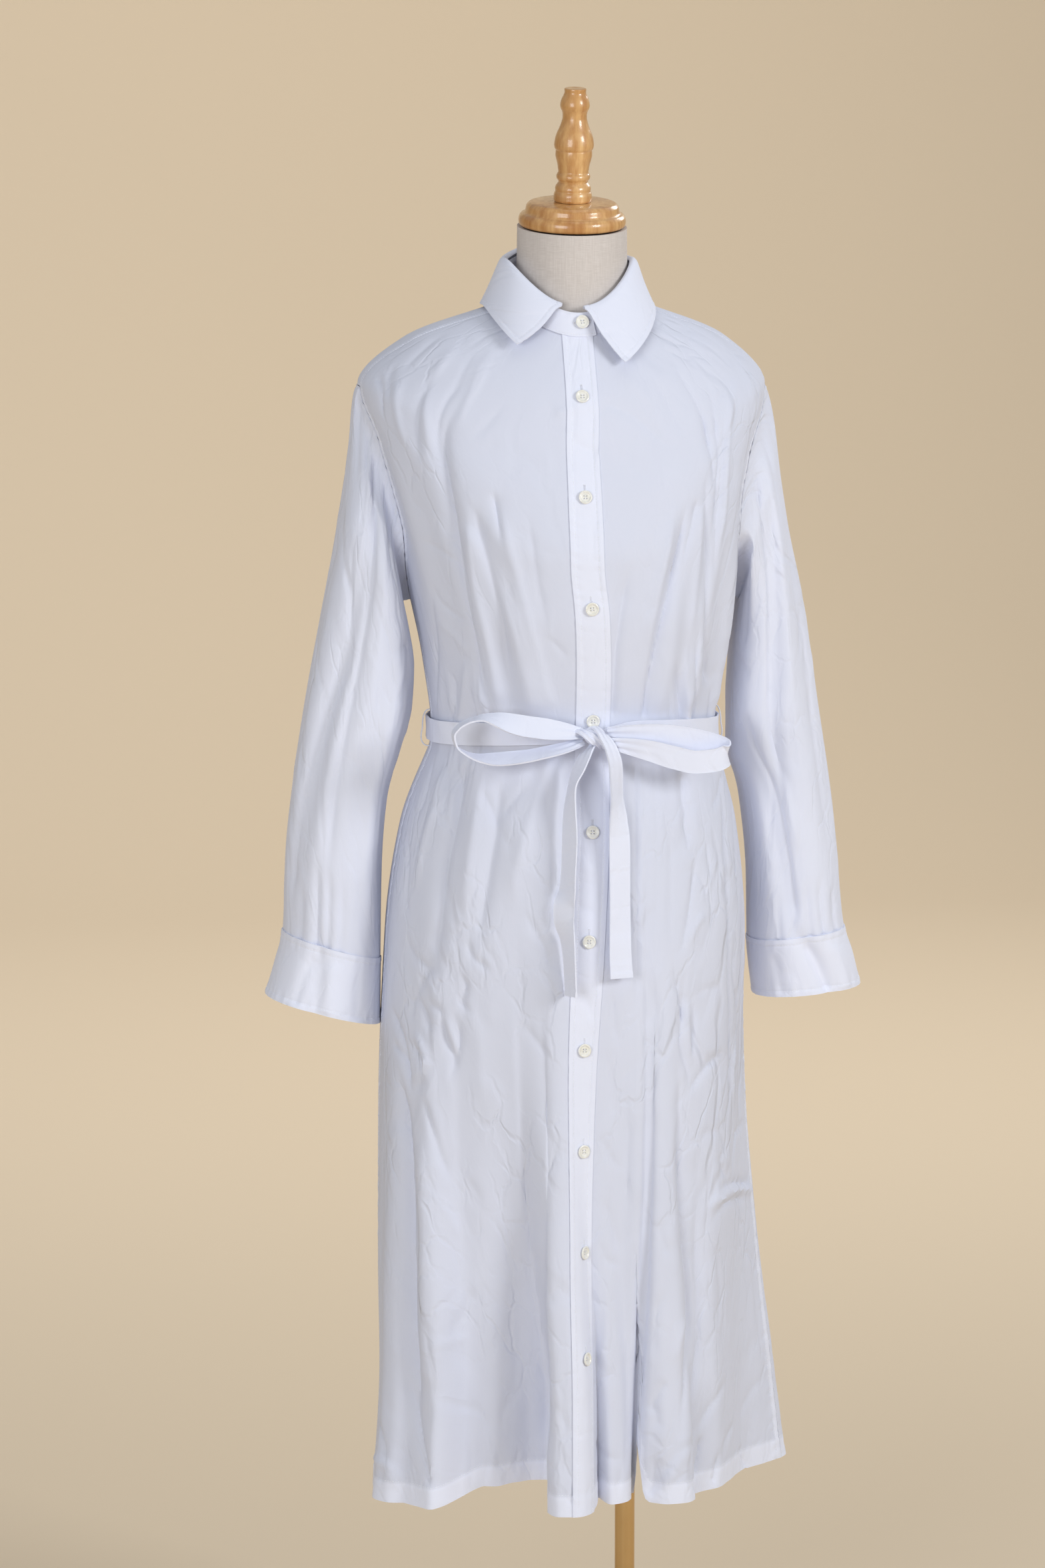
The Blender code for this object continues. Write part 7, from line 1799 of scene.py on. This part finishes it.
def ribbon_grid(rows, axis, count):
    """Middle face of a strip of cloth along a smooth line, with gathers where it is drawn in."""
    t = np.linspace(0, len(rows) - 1, count)
    x, y, z, lean, share = (curve([row[k] for row in rows], t) for k in range(5))
    p = np.stack([x, y, z], axis=-1)
    along = unit(np.gradient(p, axis=0))
    ref = unit(np.array(axis) - along * (along @ np.array(axis))[:, None])
    side = np.cross(along, ref)
    angle = np.radians(lean)[:, None]
    w = ref * np.cos(angle) + side * np.sin(angle)
    n = np.cross(w, along)
    c = np.linspace(-0.5, 0.5, 13)
    drawn = np.clip(1 - share, 0, 1)[:, None]
    waves = np.cos(c[None, :] * 2 * math.pi * 2.4 + 0.6) * PLEAT * 3.2 * drawn
    grid = p[:, None, :] + (w * BELT_WIDE * share[:, None])[:, None, :] * c[None, :, None]
    return grid + n[:, None, :] * waves[..., None], n


def ribbon(name, rows, axis, count, end_stitch=None):
    """Strip of the belt's cloth with stitched edges, and a stitched end if end_stitch is given."""
    grid, n = ribbon_grid(rows, axis, count)
    normal = grid_normals(grid)
    if np.sum(normal * n[:, None, :]) < 0:
        grid = grid[:, ::-1]
        normal = grid_normals(grid)
    relief = np.zeros(grid.shape[:2])
    for edge in ("top", "foot"):
        d = edge_far(grid, edge)
        relief += 0.0002 * smooth(0.0022, 0.0012, d) - 0.00025 * np.exp(-((d - 0.0018) / 0.0007) ** 2)
    if end_stitch:
        relief += seam_relief(grid, "last", end_stitch, 0.5)
    half = normal * (RIBBON_THICK / 2 + relief)[..., None]
    if end_stitch:
        thread_line("thread_belt", grid + half, "last", end_stitch)
    return shell(name, grid + half, RIBBON_THICK, CLOTH, inner=grid - half)


def make_belt():
    """Strip round the waist, drawn in at the knot."""
    q = np.linspace(-2, 2, 289)[:-1]
    h = BELT_WIDE / 2 * np.array([1.0, 0.93, 0.84, 0.74, 0.5, 0.0, -0.5, -0.74, -0.84, -0.93, -1.0])
    u, h = np.meshgrid(q, h, indexing="ij")
    p = belt_surface(u, h)
    flat = np.roll(p, -1, 0) - np.roll(p, 1, 0)
    n = unit(np.stack([flat[..., 1], -flat[..., 0], 0 * flat[..., 0]], axis=-1))
    t = u + 2
    wave = 0.0005 * np.sin(t * 17.0) * np.cos(h / BELT_WIDE * 2.2) + 0.0004 * np.sin(t * 41.0 + h * 160.0)
    edge = 0.0002 * smooth(0.70, 0.9, np.abs(h) / BELT_WIDE * 2)
    return cloth_piece("belt", p + n * (BELT_OUT + BELT_FACE + wave + edge)[..., None], BELT_THICK, True)


def make_bow():
    """Two loops and two tails of the strip."""
    strips = (
        ("bow_loop_right", BOW_LOOP_RIGHT, (0, 1, 0), 170, None),
        ("bow_loop_left", BOW_LOOP_LEFT, (0, 0, 1), 190, None),
        ("tail_right", TAIL_RIGHT, (1, 0, 0), 150, TAIL_STITCH),
        ("tail_left", TAIL_LEFT, (1, 0, 0), 150, TAIL_STITCH),
    )
    return [sewn(ribbon(name, *rest), name) for name, *rest in strips]


def make_knot():
    """Core of the knot and the turn of the strip that wraps it."""
    across = np.linspace(0, 2 * math.pi, 49)[:-1][::-1]
    a, r = np.meshgrid(across, np.linspace(0.02, math.pi - 0.02, 30), indexing="ij")
    pleats = 1 + 0.05 * np.cos(a * 5 + r * 2.2) + 0.03 * np.cos(a * 8 - r)
    points = np.stack([np.cos(r), np.sin(r) * np.cos(a) * pleats, np.sin(r) * np.sin(a) * pleats], axis=-1)
    x, y, z = np.moveaxis(points * np.array(KNOT_RADII) * 0.97, -1, 0)
    c = math.cos(math.radians(KNOT_LEAN))
    s = math.sin(math.radians(KNOT_LEAN))
    core = np.stack([x * c - z * s, y, x * s + z * c], axis=-1) * 0.88 + KNOT_AT
    wrap = carried(ribbon("knot_wrap", KNOT_WRAP, (1, 0, 0), 60))
    return cloth_piece("belt_knot", core, KNOT_THICK, True), wrap


LOOP_OUT = 0.0078      # how far a loop stands off the cloth
LOOP_HALF = 0.0170     # half its height
CORD_WIDE = 0.0012     # half width and half thickness
CORD_THICK = 0.0006
CORD_PLAIT = 0.0017    # length of one turn of the plait


def make_belt_loops():
    """Thread carriers over the belt at the side seams."""
    for side, sign in (("right", -1.0), ("left", 1.0)):
        a = np.linspace(0, math.pi, 61)
        z = WAIST_Z + LOOP_HALF * np.cos(a)
        rings = np.linspace(6, 10, 801)
        v = np.interp(-z, -level("z_side", rings), rings)
        base = body(sign + 0 * v, v)
        x = base[:, 0] + sign * (FACE + 0.0010 + LOOP_OUT * np.sin(a) ** 0.8)
        x = x + sign * 0.0040 * np.clip((WAIST_Z - z) / LOOP_HALF, 0, 1) * np.sin(a)
        line = np.stack([x, base[:, 1], z], axis=-1) + (TORSO_X, 0.0, 0.0)
        sewn(cord_mesh("belt_loop_" + side, line, (0.0, 1.0, 0.0)), "belt_loop_" + side)


def cord_mesh(name, line, wide_way):
    """Flat plaited cord along a line: oval section with a herringbone of thread."""
    along = unit(np.gradient(line, axis=0))
    wide_way = unit(np.array(wide_way) - along * (along @ np.array(wide_way))[:, None])
    out = np.cross(along, wide_way)
    step = np.concatenate([[0], np.cumsum(np.linalg.norm(np.diff(line, axis=0), axis=1))])
    a = np.linspace(0, 2 * math.pi, 17)[:-1]
    plait = 1 + 0.16 * np.sin(step[:, None] / CORD_PLAIT * 2 * math.pi + 2 * np.abs(np.cos(a))[None, :] * 2.0)
    around = (wide_way[:, None, :] * (CORD_WIDE * np.cos(a))[None, :, None]
              + out[:, None, :] * (CORD_THICK * np.sin(a))[None, :, None] * plait[..., None])
    grid = (line[:, None, :] + around).transpose(1, 0, 2)
    count, rows = grid.shape[:2]
    i, k = (b.ravel() for b in np.meshgrid(np.arange(count), np.arange(rows - 1), indexing="ij"))
    j = (i + 1) % count
    quads = np.stack([i * rows + k, j * rows + k, j * rows + k + 1, i * rows + k + 1], axis=1)
    points = grid.reshape(-1, 3)
    uv = np.zeros((len(quads), 4, 2))
    uv[..., 0] = (i / count)[:, None] * 0.008
    uv[..., 1] = step[k][:, None]
    caps = []
    for row, turn in ((0, -1), (rows - 1, 1)):
        for m in range(1, count // 2):
            ring = [m - 1, m, count - m - 1, (count - m) % count]
            caps.append([at * rows + row for at in ring][::turn])
    quads = np.concatenate([quads, np.array(caps)])
    uv = np.concatenate([uv, np.zeros((len(caps), 4, 2))])
    return make_mesh(name, points, quads, uv, THREAD, 70.0)


# ---------------------------------------------------------------- buttons
# Height, and share of the placket's width from its stitched edge.
BUTTONS = (
    (1.3195, 0.50), (1.2305, 0.50), (1.1305, 0.50), (1.0257, 0.50), (0.9260, 0.50), (0.8270, 0.50),
    (0.7275, 0.52), (0.6340, 0.55), (0.5400, 0.58), (0.4430, 0.60),
)
# Half section of a button from its middle: radius as a share, height as a share of the thickness.
BUTTON_SECTION = (
    (0.02, 0.56), (0.40, 0.55), (0.56, 0.56), (0.64, 0.62), (0.70, 0.78), (0.76, 0.95), (0.83, 1.0),
    (0.91, 0.97), (0.975, 0.84), (1.0, 0.62), (0.985, 0.38), (0.93, 0.14), (0.84, 0.0), (0.5, 0.0),
    (0.02, 0.0),
)
HOLE_AT = 0.00115      # each hole from both middle lines
HOLE_R = 0.00058
BUTTON_SLIDE = 0.0038  # the button lies this far below the middle of its hole
BUTTONHOLE = 0.0150    # its length
BUTTON_THREAD = 0.00019    # radii of the threads
SATIN_THREAD = 0.00021
BAR_THREAD = 0.00032
SATIN_STEP = 0.00046   # from stitch to stitch


def tube_faces(rows, sides):
    """Faces of a tube of rings of points, closed at both ends."""
    faces = []
    for r in range(rows - 1):
        for i in range(sides):
            j = (i + 1) % sides
            faces.append((r * sides + i, r * sides + j, (r + 1) * sides + j, (r + 1) * sides + i))
    return faces + [tuple(range(sides))[::-1], tuple((rows - 1) * sides + i for i in range(sides))]


def lathe(name, section, sides, finish, sharp=35.0):
    """Turned closed mesh about Z from (radius, height) pairs."""
    turns = np.arange(sides) * 2 * math.pi / sides
    points = [(far * math.cos(a), far * math.sin(a), height) for far, height in section for a in turns]
    return from_faces(name, points, tube_faces(len(section), sides), finish, sharp)


def apply_shape(made):
    """Keeps an object's evaluated mesh and drops its modifiers."""
    graph = bpy.context.evaluated_depsgraph_get()
    mesh = bpy.data.meshes.new_from_object(made.evaluated_get(graph))
    made.modifiers.clear()
    made.data = mesh


def make_button_shape():
    """One button with four drilled holes, lying on Z = 0."""
    section = [(BUTTON_R * r, BUTTON_THICK * h) for r, h in BUTTON_SECTION][::-1]
    made = lathe("button_shape", section, 48, PEARL)
    drills = []
    for x in (-HOLE_AT, HOLE_AT):
        for y in (-HOLE_AT, HOLE_AT):
            drill = lathe("drill", [(HOLE_R, -0.001), (HOLE_R, 0.004)], 14, PEARL)
            drill.location = (x, y, 0.0)
            cut = made.modifiers.new("hole", "BOOLEAN")
            cut.operation = "DIFFERENCE"
            cut.object = drill
            drills.append(drill)
    apply_shape(made)
    for drill in drills:
        bpy.data.objects.remove(drill)
    return made


def stitch_rod(line, normal, radius, matrix, sides=6):
    """Points and faces of a short bent rod of thread, stood in its place by a matrix."""
    line = np.array(line)
    along = unit(np.gradient(line, axis=0))
    side = unit(np.cross(along, np.array(normal)))
    up = np.cross(side, along)
    a = np.arange(sides) * 2 * math.pi / sides
    share = np.interp(np.linspace(0, 1, len(line)), [0, 0.2, 0.8, 1], [0.45, 1, 1, 0.45]) * radius
    ring = side[:, None, :] * np.cos(a)[None, :, None] + up[:, None, :] * np.sin(a)[None, :, None]
    points = (line[:, None, :] + ring * share[:, None, None]).reshape(-1, 3)
    return points @ matrix[:3, :3].T + matrix[:3, 3], tube_faces(len(line), sides)


def joined(name, parts):
    """One object of thread from several (points, faces)."""
    points = []
    faces = []
    for part_points, part_faces in parts:
        start = len(points)
        points += [tuple(p) for p in part_points]
        faces += [tuple(start + c for c in face) for face in part_faces]
    return carried(from_faces(name, points, faces, THREAD, 60.0))


def seat(at, out, up):
    """Matrix that stands a part's Z on out at a point, its Y towards up."""
    out = unit(out)
    up = unit(up - out * (up @ out))
    matrix = np.eye(4)
    matrix[:3] = np.stack([np.cross(up, out), up, out, at], axis=1)
    return matrix


def button_threads(matrix):
    """Two bars of thread across the button's face, each of two threads."""
    top = BUTTON_THICK * 0.56
    bar = ((-HOLE_AT, -0.0009), (-HOLE_AT * 0.85, 0.0001), (0.0, 0.00028), (HOLE_AT * 0.85, 0.0001),
           (HOLE_AT, -0.0009))
    parts = []
    for y in (-HOLE_AT, HOLE_AT):
        for shift in (-0.00018, 0.00018):
            line = [(x, y + shift, top + lift) for x, lift in bar]
            parts.append(stitch_rod(line, (0.0, 1.0, 0.0), BUTTON_THREAD, matrix))
    return parts


def buttonhole(matrix):
    """Satin-stitched buttonhole along Y: close stitches on both sides of a slit, a bar at each end."""
    up = (0.0, 0.0, 1.0)
    half = BUTTONHOLE / 2
    count = int(BUTTONHOLE / SATIN_STEP)
    parts = []
    for i in range(count + 1):
        y = -half + BUTTONHOLE * i / count
        for x_in, x_out in ((0.00012, 0.00092), (-0.00012, -0.00092)):
            line = [(x_in, y, -0.0001), ((x_in + x_out) / 2, y, 0.00030), (x_out, y, -0.0001)]
            parts.append(stitch_rod(line, up, SATIN_THREAD, matrix, 4))
    for y in (-half - 0.0004, half + 0.0004):
        line = [(-0.0012, y, -0.0001), (0.0, y, 0.00036), (0.0012, y, -0.0001)]
        parts.append(stitch_rod(line, up, BAR_THREAD, matrix, 5))
    return parts


def make_buttons():
    """The row of the placket and the collar's button, with their threads and buttonholes."""
    shape = make_button_shape()
    fine = np.linspace(0, HEM_RING, 3001)
    spots = []
    for number, (height, across) in enumerate(BUTTONS):
        z = body(strip_q(across, fine), fine)[..., 2]
        v = float(np.interp(-height, -z, fine))
        spots.append(("button_%02d" % (number + 1), placket_frame(across, v)))
    spots.append(("button_collar", collar_frame()))
    threads = []
    holes = []
    for name, (at, out, up) in spots:
        at = at + np.array((TORSO_X, 0.0, 0.0))
        matrix = seat(at + out * 0.0004, out, up)
        made = add(shape.data.copy(), name + "_look")
        made.data.transform(type(made.matrix_world)(matrix.tolist()))
        sewn(made, name)
        threads += button_threads(matrix)
        if name == "button_collar":
            holes += buttonhole(seat(at + up * 0.0003, out, np.cross(out, up)))
        else:
            holes += buttonhole(seat(at + up * BUTTON_SLIDE, out, up))
    bpy.data.objects.remove(shape)
    joined("button_thread", threads)
    joined("buttonholes", holes)


def placket_frame(across, v):
    """Outer point of the placket, the way out of it and the way up it."""
    u = np.array([across - 0.1, across, across + 0.1, across, across])
    w = np.array([v, v - 0.05, v, v + 0.05, v])
    q = strip_q(u, w)
    p = body(q, w)
    out = unit(np.cross(p[2] - p[0], p[1] - p[3]))
    rise_here = small_folds(q[4:], w[4:], p[4:, 2])[0]
    return p[4] + out * (LAID_FACE + rise_here), out, unit(p[1] - p[3])


def collar_frame():
    """The same three for the stand at its button."""
    q = np.array([0.01, 0.03, 0.02, 0.02, 0.02])
    k = np.array([0.5, 0.5, 0.4, 0.6, 0.5])
    p = collar(q, k)
    out = unit(np.cross(p[1] - p[0], p[3] - p[2]))
    return p[4] + out * 0.0026, out, unit(p[3] - p[2])


# ---------------------------------------------------------------- dress form and stand
FORM = (
    ("foot",      0.7900, 0.7900, 0.7900, 0.0, -0.1180, -0.014, 0.0920, 0.1420, 2.15),
    ("hips",      0.8500, 0.8500, 0.8500, 0.0, -0.1300, -0.014, 0.1040, 0.1500, 2.15),
    ("high_hip",  0.9300, 0.9300, 0.9300, 0.0, -0.1220, -0.010, 0.1000, 0.1410, 2.15),
    ("waist",     1.0080, 1.0080, 1.0080, 0.0, -0.1130, -0.006, 0.0925, 0.1275, 2.2),
    ("ribs",      1.0750, 1.0750, 1.0750, 0.0, -0.1245,  0.000, 0.0990, 0.1320, 2.2),
    ("bust",      1.1250, 1.1280, 1.1300, -0.002, -0.1330, 0.004, 0.1065, 0.1400, 2.2),
    ("armhole",   1.1700, 1.2050, 1.1950, -0.004, -0.1330, 0.012, 0.1150, 0.1500, 2.2),
    ("chest",     1.2190, 1.2740, 1.2490, -0.006, -0.1230, 0.020, 0.1170, 0.1650, 2.2),
    ("shoulder",  1.2680, 1.3170, 1.2970, -0.006, -0.1070, 0.025, 0.1130, 0.1720, 2.1),
    ("slope",     1.3099, 1.3693, 1.3592, -0.004, -0.0963, 0.017, 0.0992, 0.1482, 2.0),
    ("neck_base", 1.3665, 1.3985, 1.4090,  0.000, -0.0625, 0.000, 0.0585, 0.0605, 2.0),
    ("neck_low",  1.3850, 1.4100, 1.4200,  0.000, -0.0540, 0.001, 0.0540, 0.0560, 2.0),
    ("neck_mid",  1.4220, 1.4350, 1.4450,  0.000, -0.0512, 0.000, 0.0506, 0.0514, 2.0),
    ("neck_top",  1.4720, 1.4720, 1.4720,  0.000, -0.0512, 0.000, 0.0508, 0.0508, 2.0),
)
CAP_TILT = math.radians(8.5)
CAP_Z = 1.4725         # underside of the cap at its middle
POLE_R = 0.0095
POLE_FOOT = 0.0140
TURNED_SHARP = 40.0    # degrees past which an edge of a turned piece stays sharp


def make_form():
    """Linen-covered torso, its neck cut to the cap's lean, and the disc that closes its foot."""
    turn = np.linspace(0, 4, 97)[:-1]
    rows = np.concatenate([np.linspace(0, 12, 61), [12.25, 12.5, 12.75, 13.0]])
    q, k = np.meshgrid(turn, rows[::-1], indexing="ij")
    outer = table_ring(FORM, q, k)
    tilt = CAP_Z - SEAM + outer[:, :1, 1] * math.tan(CAP_TILT) - outer[:, :1, 2]
    outer[..., 2] += tilt * smooth(12.0, 13.0, k)
    cover = carried(shell("form_cover", outer, COVER_THICK, LINEN, True))
    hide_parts("dress_form")
    rim = table_ring(FORM, turn - 1.0, 0 * turn) * (0.996, 0.996, 1.0)
    points = np.concatenate([rim + (TORSO_X, 0.0, 0.0004), rim + (TORSO_X, 0.0, 0.006)])
    carried(from_faces("form_foot", points.tolist(), tube_faces(2, len(turn)), LINEN, 35.0))


# Turned sections in runs that meet at a corner: radius and height above the neck's top.
CAP_LOOK = (
    ((0.0455, 0.0000), (0.0480, 0.0006), (0.0494, 0.0025), (0.0498, 0.0055),
     (0.0492, 0.0088), (0.0472, 0.0116)),
    ((0.0472, 0.0116), (0.0448, 0.0128), (0.0437, 0.0145), (0.0432, 0.0168)),
    ((0.0432, 0.0168), (0.0428, 0.0186), (0.0416, 0.0203), (0.0398, 0.0218), (0.0370, 0.0225)),
    ((0.0370, 0.0225), (0.0200, 0.0227)),
)
FINIAL_LOOK = (
    ((0.0120, 0.0228), (0.0166, 0.0230)),
    ((0.0166, 0.0230), (0.0176, 0.0250), (0.0177, 0.0285), (0.0170, 0.0315)),
    ((0.0170, 0.0315), (0.0163, 0.0330), (0.0166, 0.0350), (0.0160, 0.0375),
     (0.0146, 0.0395), (0.0136, 0.0408)),
    ((0.0136, 0.0408), (0.0140, 0.0425), (0.0153, 0.0443), (0.0157, 0.0462),
     (0.0153, 0.0480), (0.0144, 0.0494)),
    ((0.0144, 0.0494), (0.0140, 0.0508), (0.0143, 0.0527)),
    ((0.0143, 0.0527), (0.0149, 0.0570), (0.0162, 0.0620), (0.0170, 0.0660),
     (0.0169, 0.0692), (0.0167, 0.0705)),
    ((0.0167, 0.0705), (0.0180, 0.0728), (0.0184, 0.0755), (0.0182, 0.0780)),
    ((0.0182, 0.0780), (0.0176, 0.0815), (0.0160, 0.0865), (0.0142, 0.0905),
     (0.0124, 0.0955), (0.0113, 0.0995)),
    ((0.0113, 0.0995), (0.0112, 0.1030), (0.0118, 0.1062), (0.0131, 0.1090),
     (0.0137, 0.1118), (0.0133, 0.1150)),
    ((0.0133, 0.1150), (0.0121, 0.1185), (0.0106, 0.1215), (0.0099, 0.1240),
     (0.0101, 0.1262), (0.0100, 0.1272)),
    ((0.0100, 0.1272), (0.0085, 0.1276), (0.0030, 0.1272)),
)
BASE_LOOK = (
    ((0.1500, 0.0000), (0.1690, 0.0000)),
    ((0.1690, 0.0000), (0.1698, 0.0006), (0.1700, 0.0015)),
    ((0.1700, 0.0015), (0.1700, 0.0062)),
    ((0.1700, 0.0062), (0.1694, 0.0080), (0.1672, 0.0090)),
    ((0.1672, 0.0090), (0.0310, 0.0100)),
    ((0.0310, 0.0100), (0.0255, 0.0106), (0.0232, 0.0120), (0.0222, 0.0136)),
    ((0.0222, 0.0136), (0.0100, 0.0137)),
)


def smooth_section(section):
    """Turned section with a few more points along each curve between its named corners."""
    out = []
    for run in section:
        points = smooth_path(run, 4 * len(run) - 3) if len(run) > 2 else run
        for radius, height in points:
            if not out or abs(out[-1][0] - radius) + abs(out[-1][1] - height) > 1e-6:
                out.append((float(radius), float(height)))
    return out


def make_stand():
    """Cap and finial on the neck, pole and base plate."""
    pole_section = [(0.0080, POLE_FOOT), (POLE_R, POLE_FOOT), (POLE_R, FORM[0][1] - SEAM)]
    cap = lathe("neck_cap_look", smooth_section(CAP_LOOK), 96, WOOD, TURNED_SHARP)
    knob = lathe("finial_look", smooth_section(FINIAL_LOOK), 56, WOOD, TURNED_SHARP)
    pole = lathe("pole_look", pole_section, 48, BRASS)
    base = lathe("base_plate_look", smooth_section(BASE_LOOK), 96, SATIN, TURNED_SHARP)
    for made in (cap, knob):
        made.rotation_euler = (CAP_TILT, 0.0, 0.0)
        made.location = (TORSO_X, 0.0, CAP_Z)
    sewn(cap, "neck_cap")
    sewn(knob, "finial")
    sewn(pole, "pole")
    sewn(base, "base_plate")


# ---------------------------------------------------------------- stitches
STITCH_STEP = 0.0027
STITCH_LONG = 0.0021
STITCH_THICK = 0.00020
STITCH_LIFT = (-0.00014, 0.00012, -0.00014)     # of its ends and middle over the cloth
STITCH_SWELL = (0.7, 1.0, 0.7)     # their shares of its thickness


def make_stitches():
    """Lockstitches along every kept line, each a short four-sided rod half sunk in its groove."""
    for group, lines in THREAD_LINES.items():
        rods = []
        for line, ways in lines:
            far = np.concatenate([[0], np.cumsum(np.linalg.norm(np.diff(line, axis=0), axis=1))])
            count = int(far[-1] / STITCH_STEP)
            centres = (np.arange(count) + 0.5) * far[-1] / count
            at = centres[:, None] + np.array([-0.5, 0.0, 0.5])[None, :] * STITCH_LONG
            p = np.stack([np.interp(at, far, line[:, k]) for k in range(3)], axis=-1)
            n = unit(np.stack([np.interp(at, far, ways[:, k]) for k in range(3)], axis=-1))
            side = np.cross(unit(p[:, -1:] - p[:, :1]), n)
            lift = np.array(STITCH_LIFT)[None, :, None]
            size = np.array(STITCH_SWELL)[None, :, None] * STITCH_THICK
            p = p + n * lift + (TORSO_X, 0.0, 0.0)
            ring = np.stack([p + side * size, p + n * size, p - side * size, p - n * size], axis=2)
            rods.append(ring.reshape(-1, 12, 3))
        rods = np.concatenate(rods)
        faces = np.array(tube_faces(3, 4))
        quads = (12 * np.arange(len(rods))[:, None, None] + faces).reshape(-1, 4)
        made = make_mesh(group, rods.reshape(-1, 3), quads, np.zeros((len(quads), 4, 2)), THREAD, 80.0)
        carried(made)


# ---------------------------------------------------------------- the whole dress
make_camera()
make_lights()
make_floor()
CLOTH = make_cloth_finish()
THREAD = paint("thread", THREAD_TONE, 0.6)
LINEN = make_linen_finish()
WOOD = make_wood_finish()
BRASS = make_brass_finish("drawn_brass", 0.24)
SATIN = make_brass_finish("satin_brass", 0.36)
PEARL = make_button_finish()
fronts = [
    make_front("front_right", front_right_q, 100, "first"),
    make_front("front_left", front_left_q, 112, "last", SPARSE_FOLD),
]
back = make_back()
yoke = make_yoke()
placket, button_band = make_placket()
sleeves = make_sleeves()
collar_pieces = make_collar()
belt = make_belt()
bow = make_bow()
knot = make_knot()
make_belt_loops()
make_buttons()
make_form()
make_stand()
make_stitches()
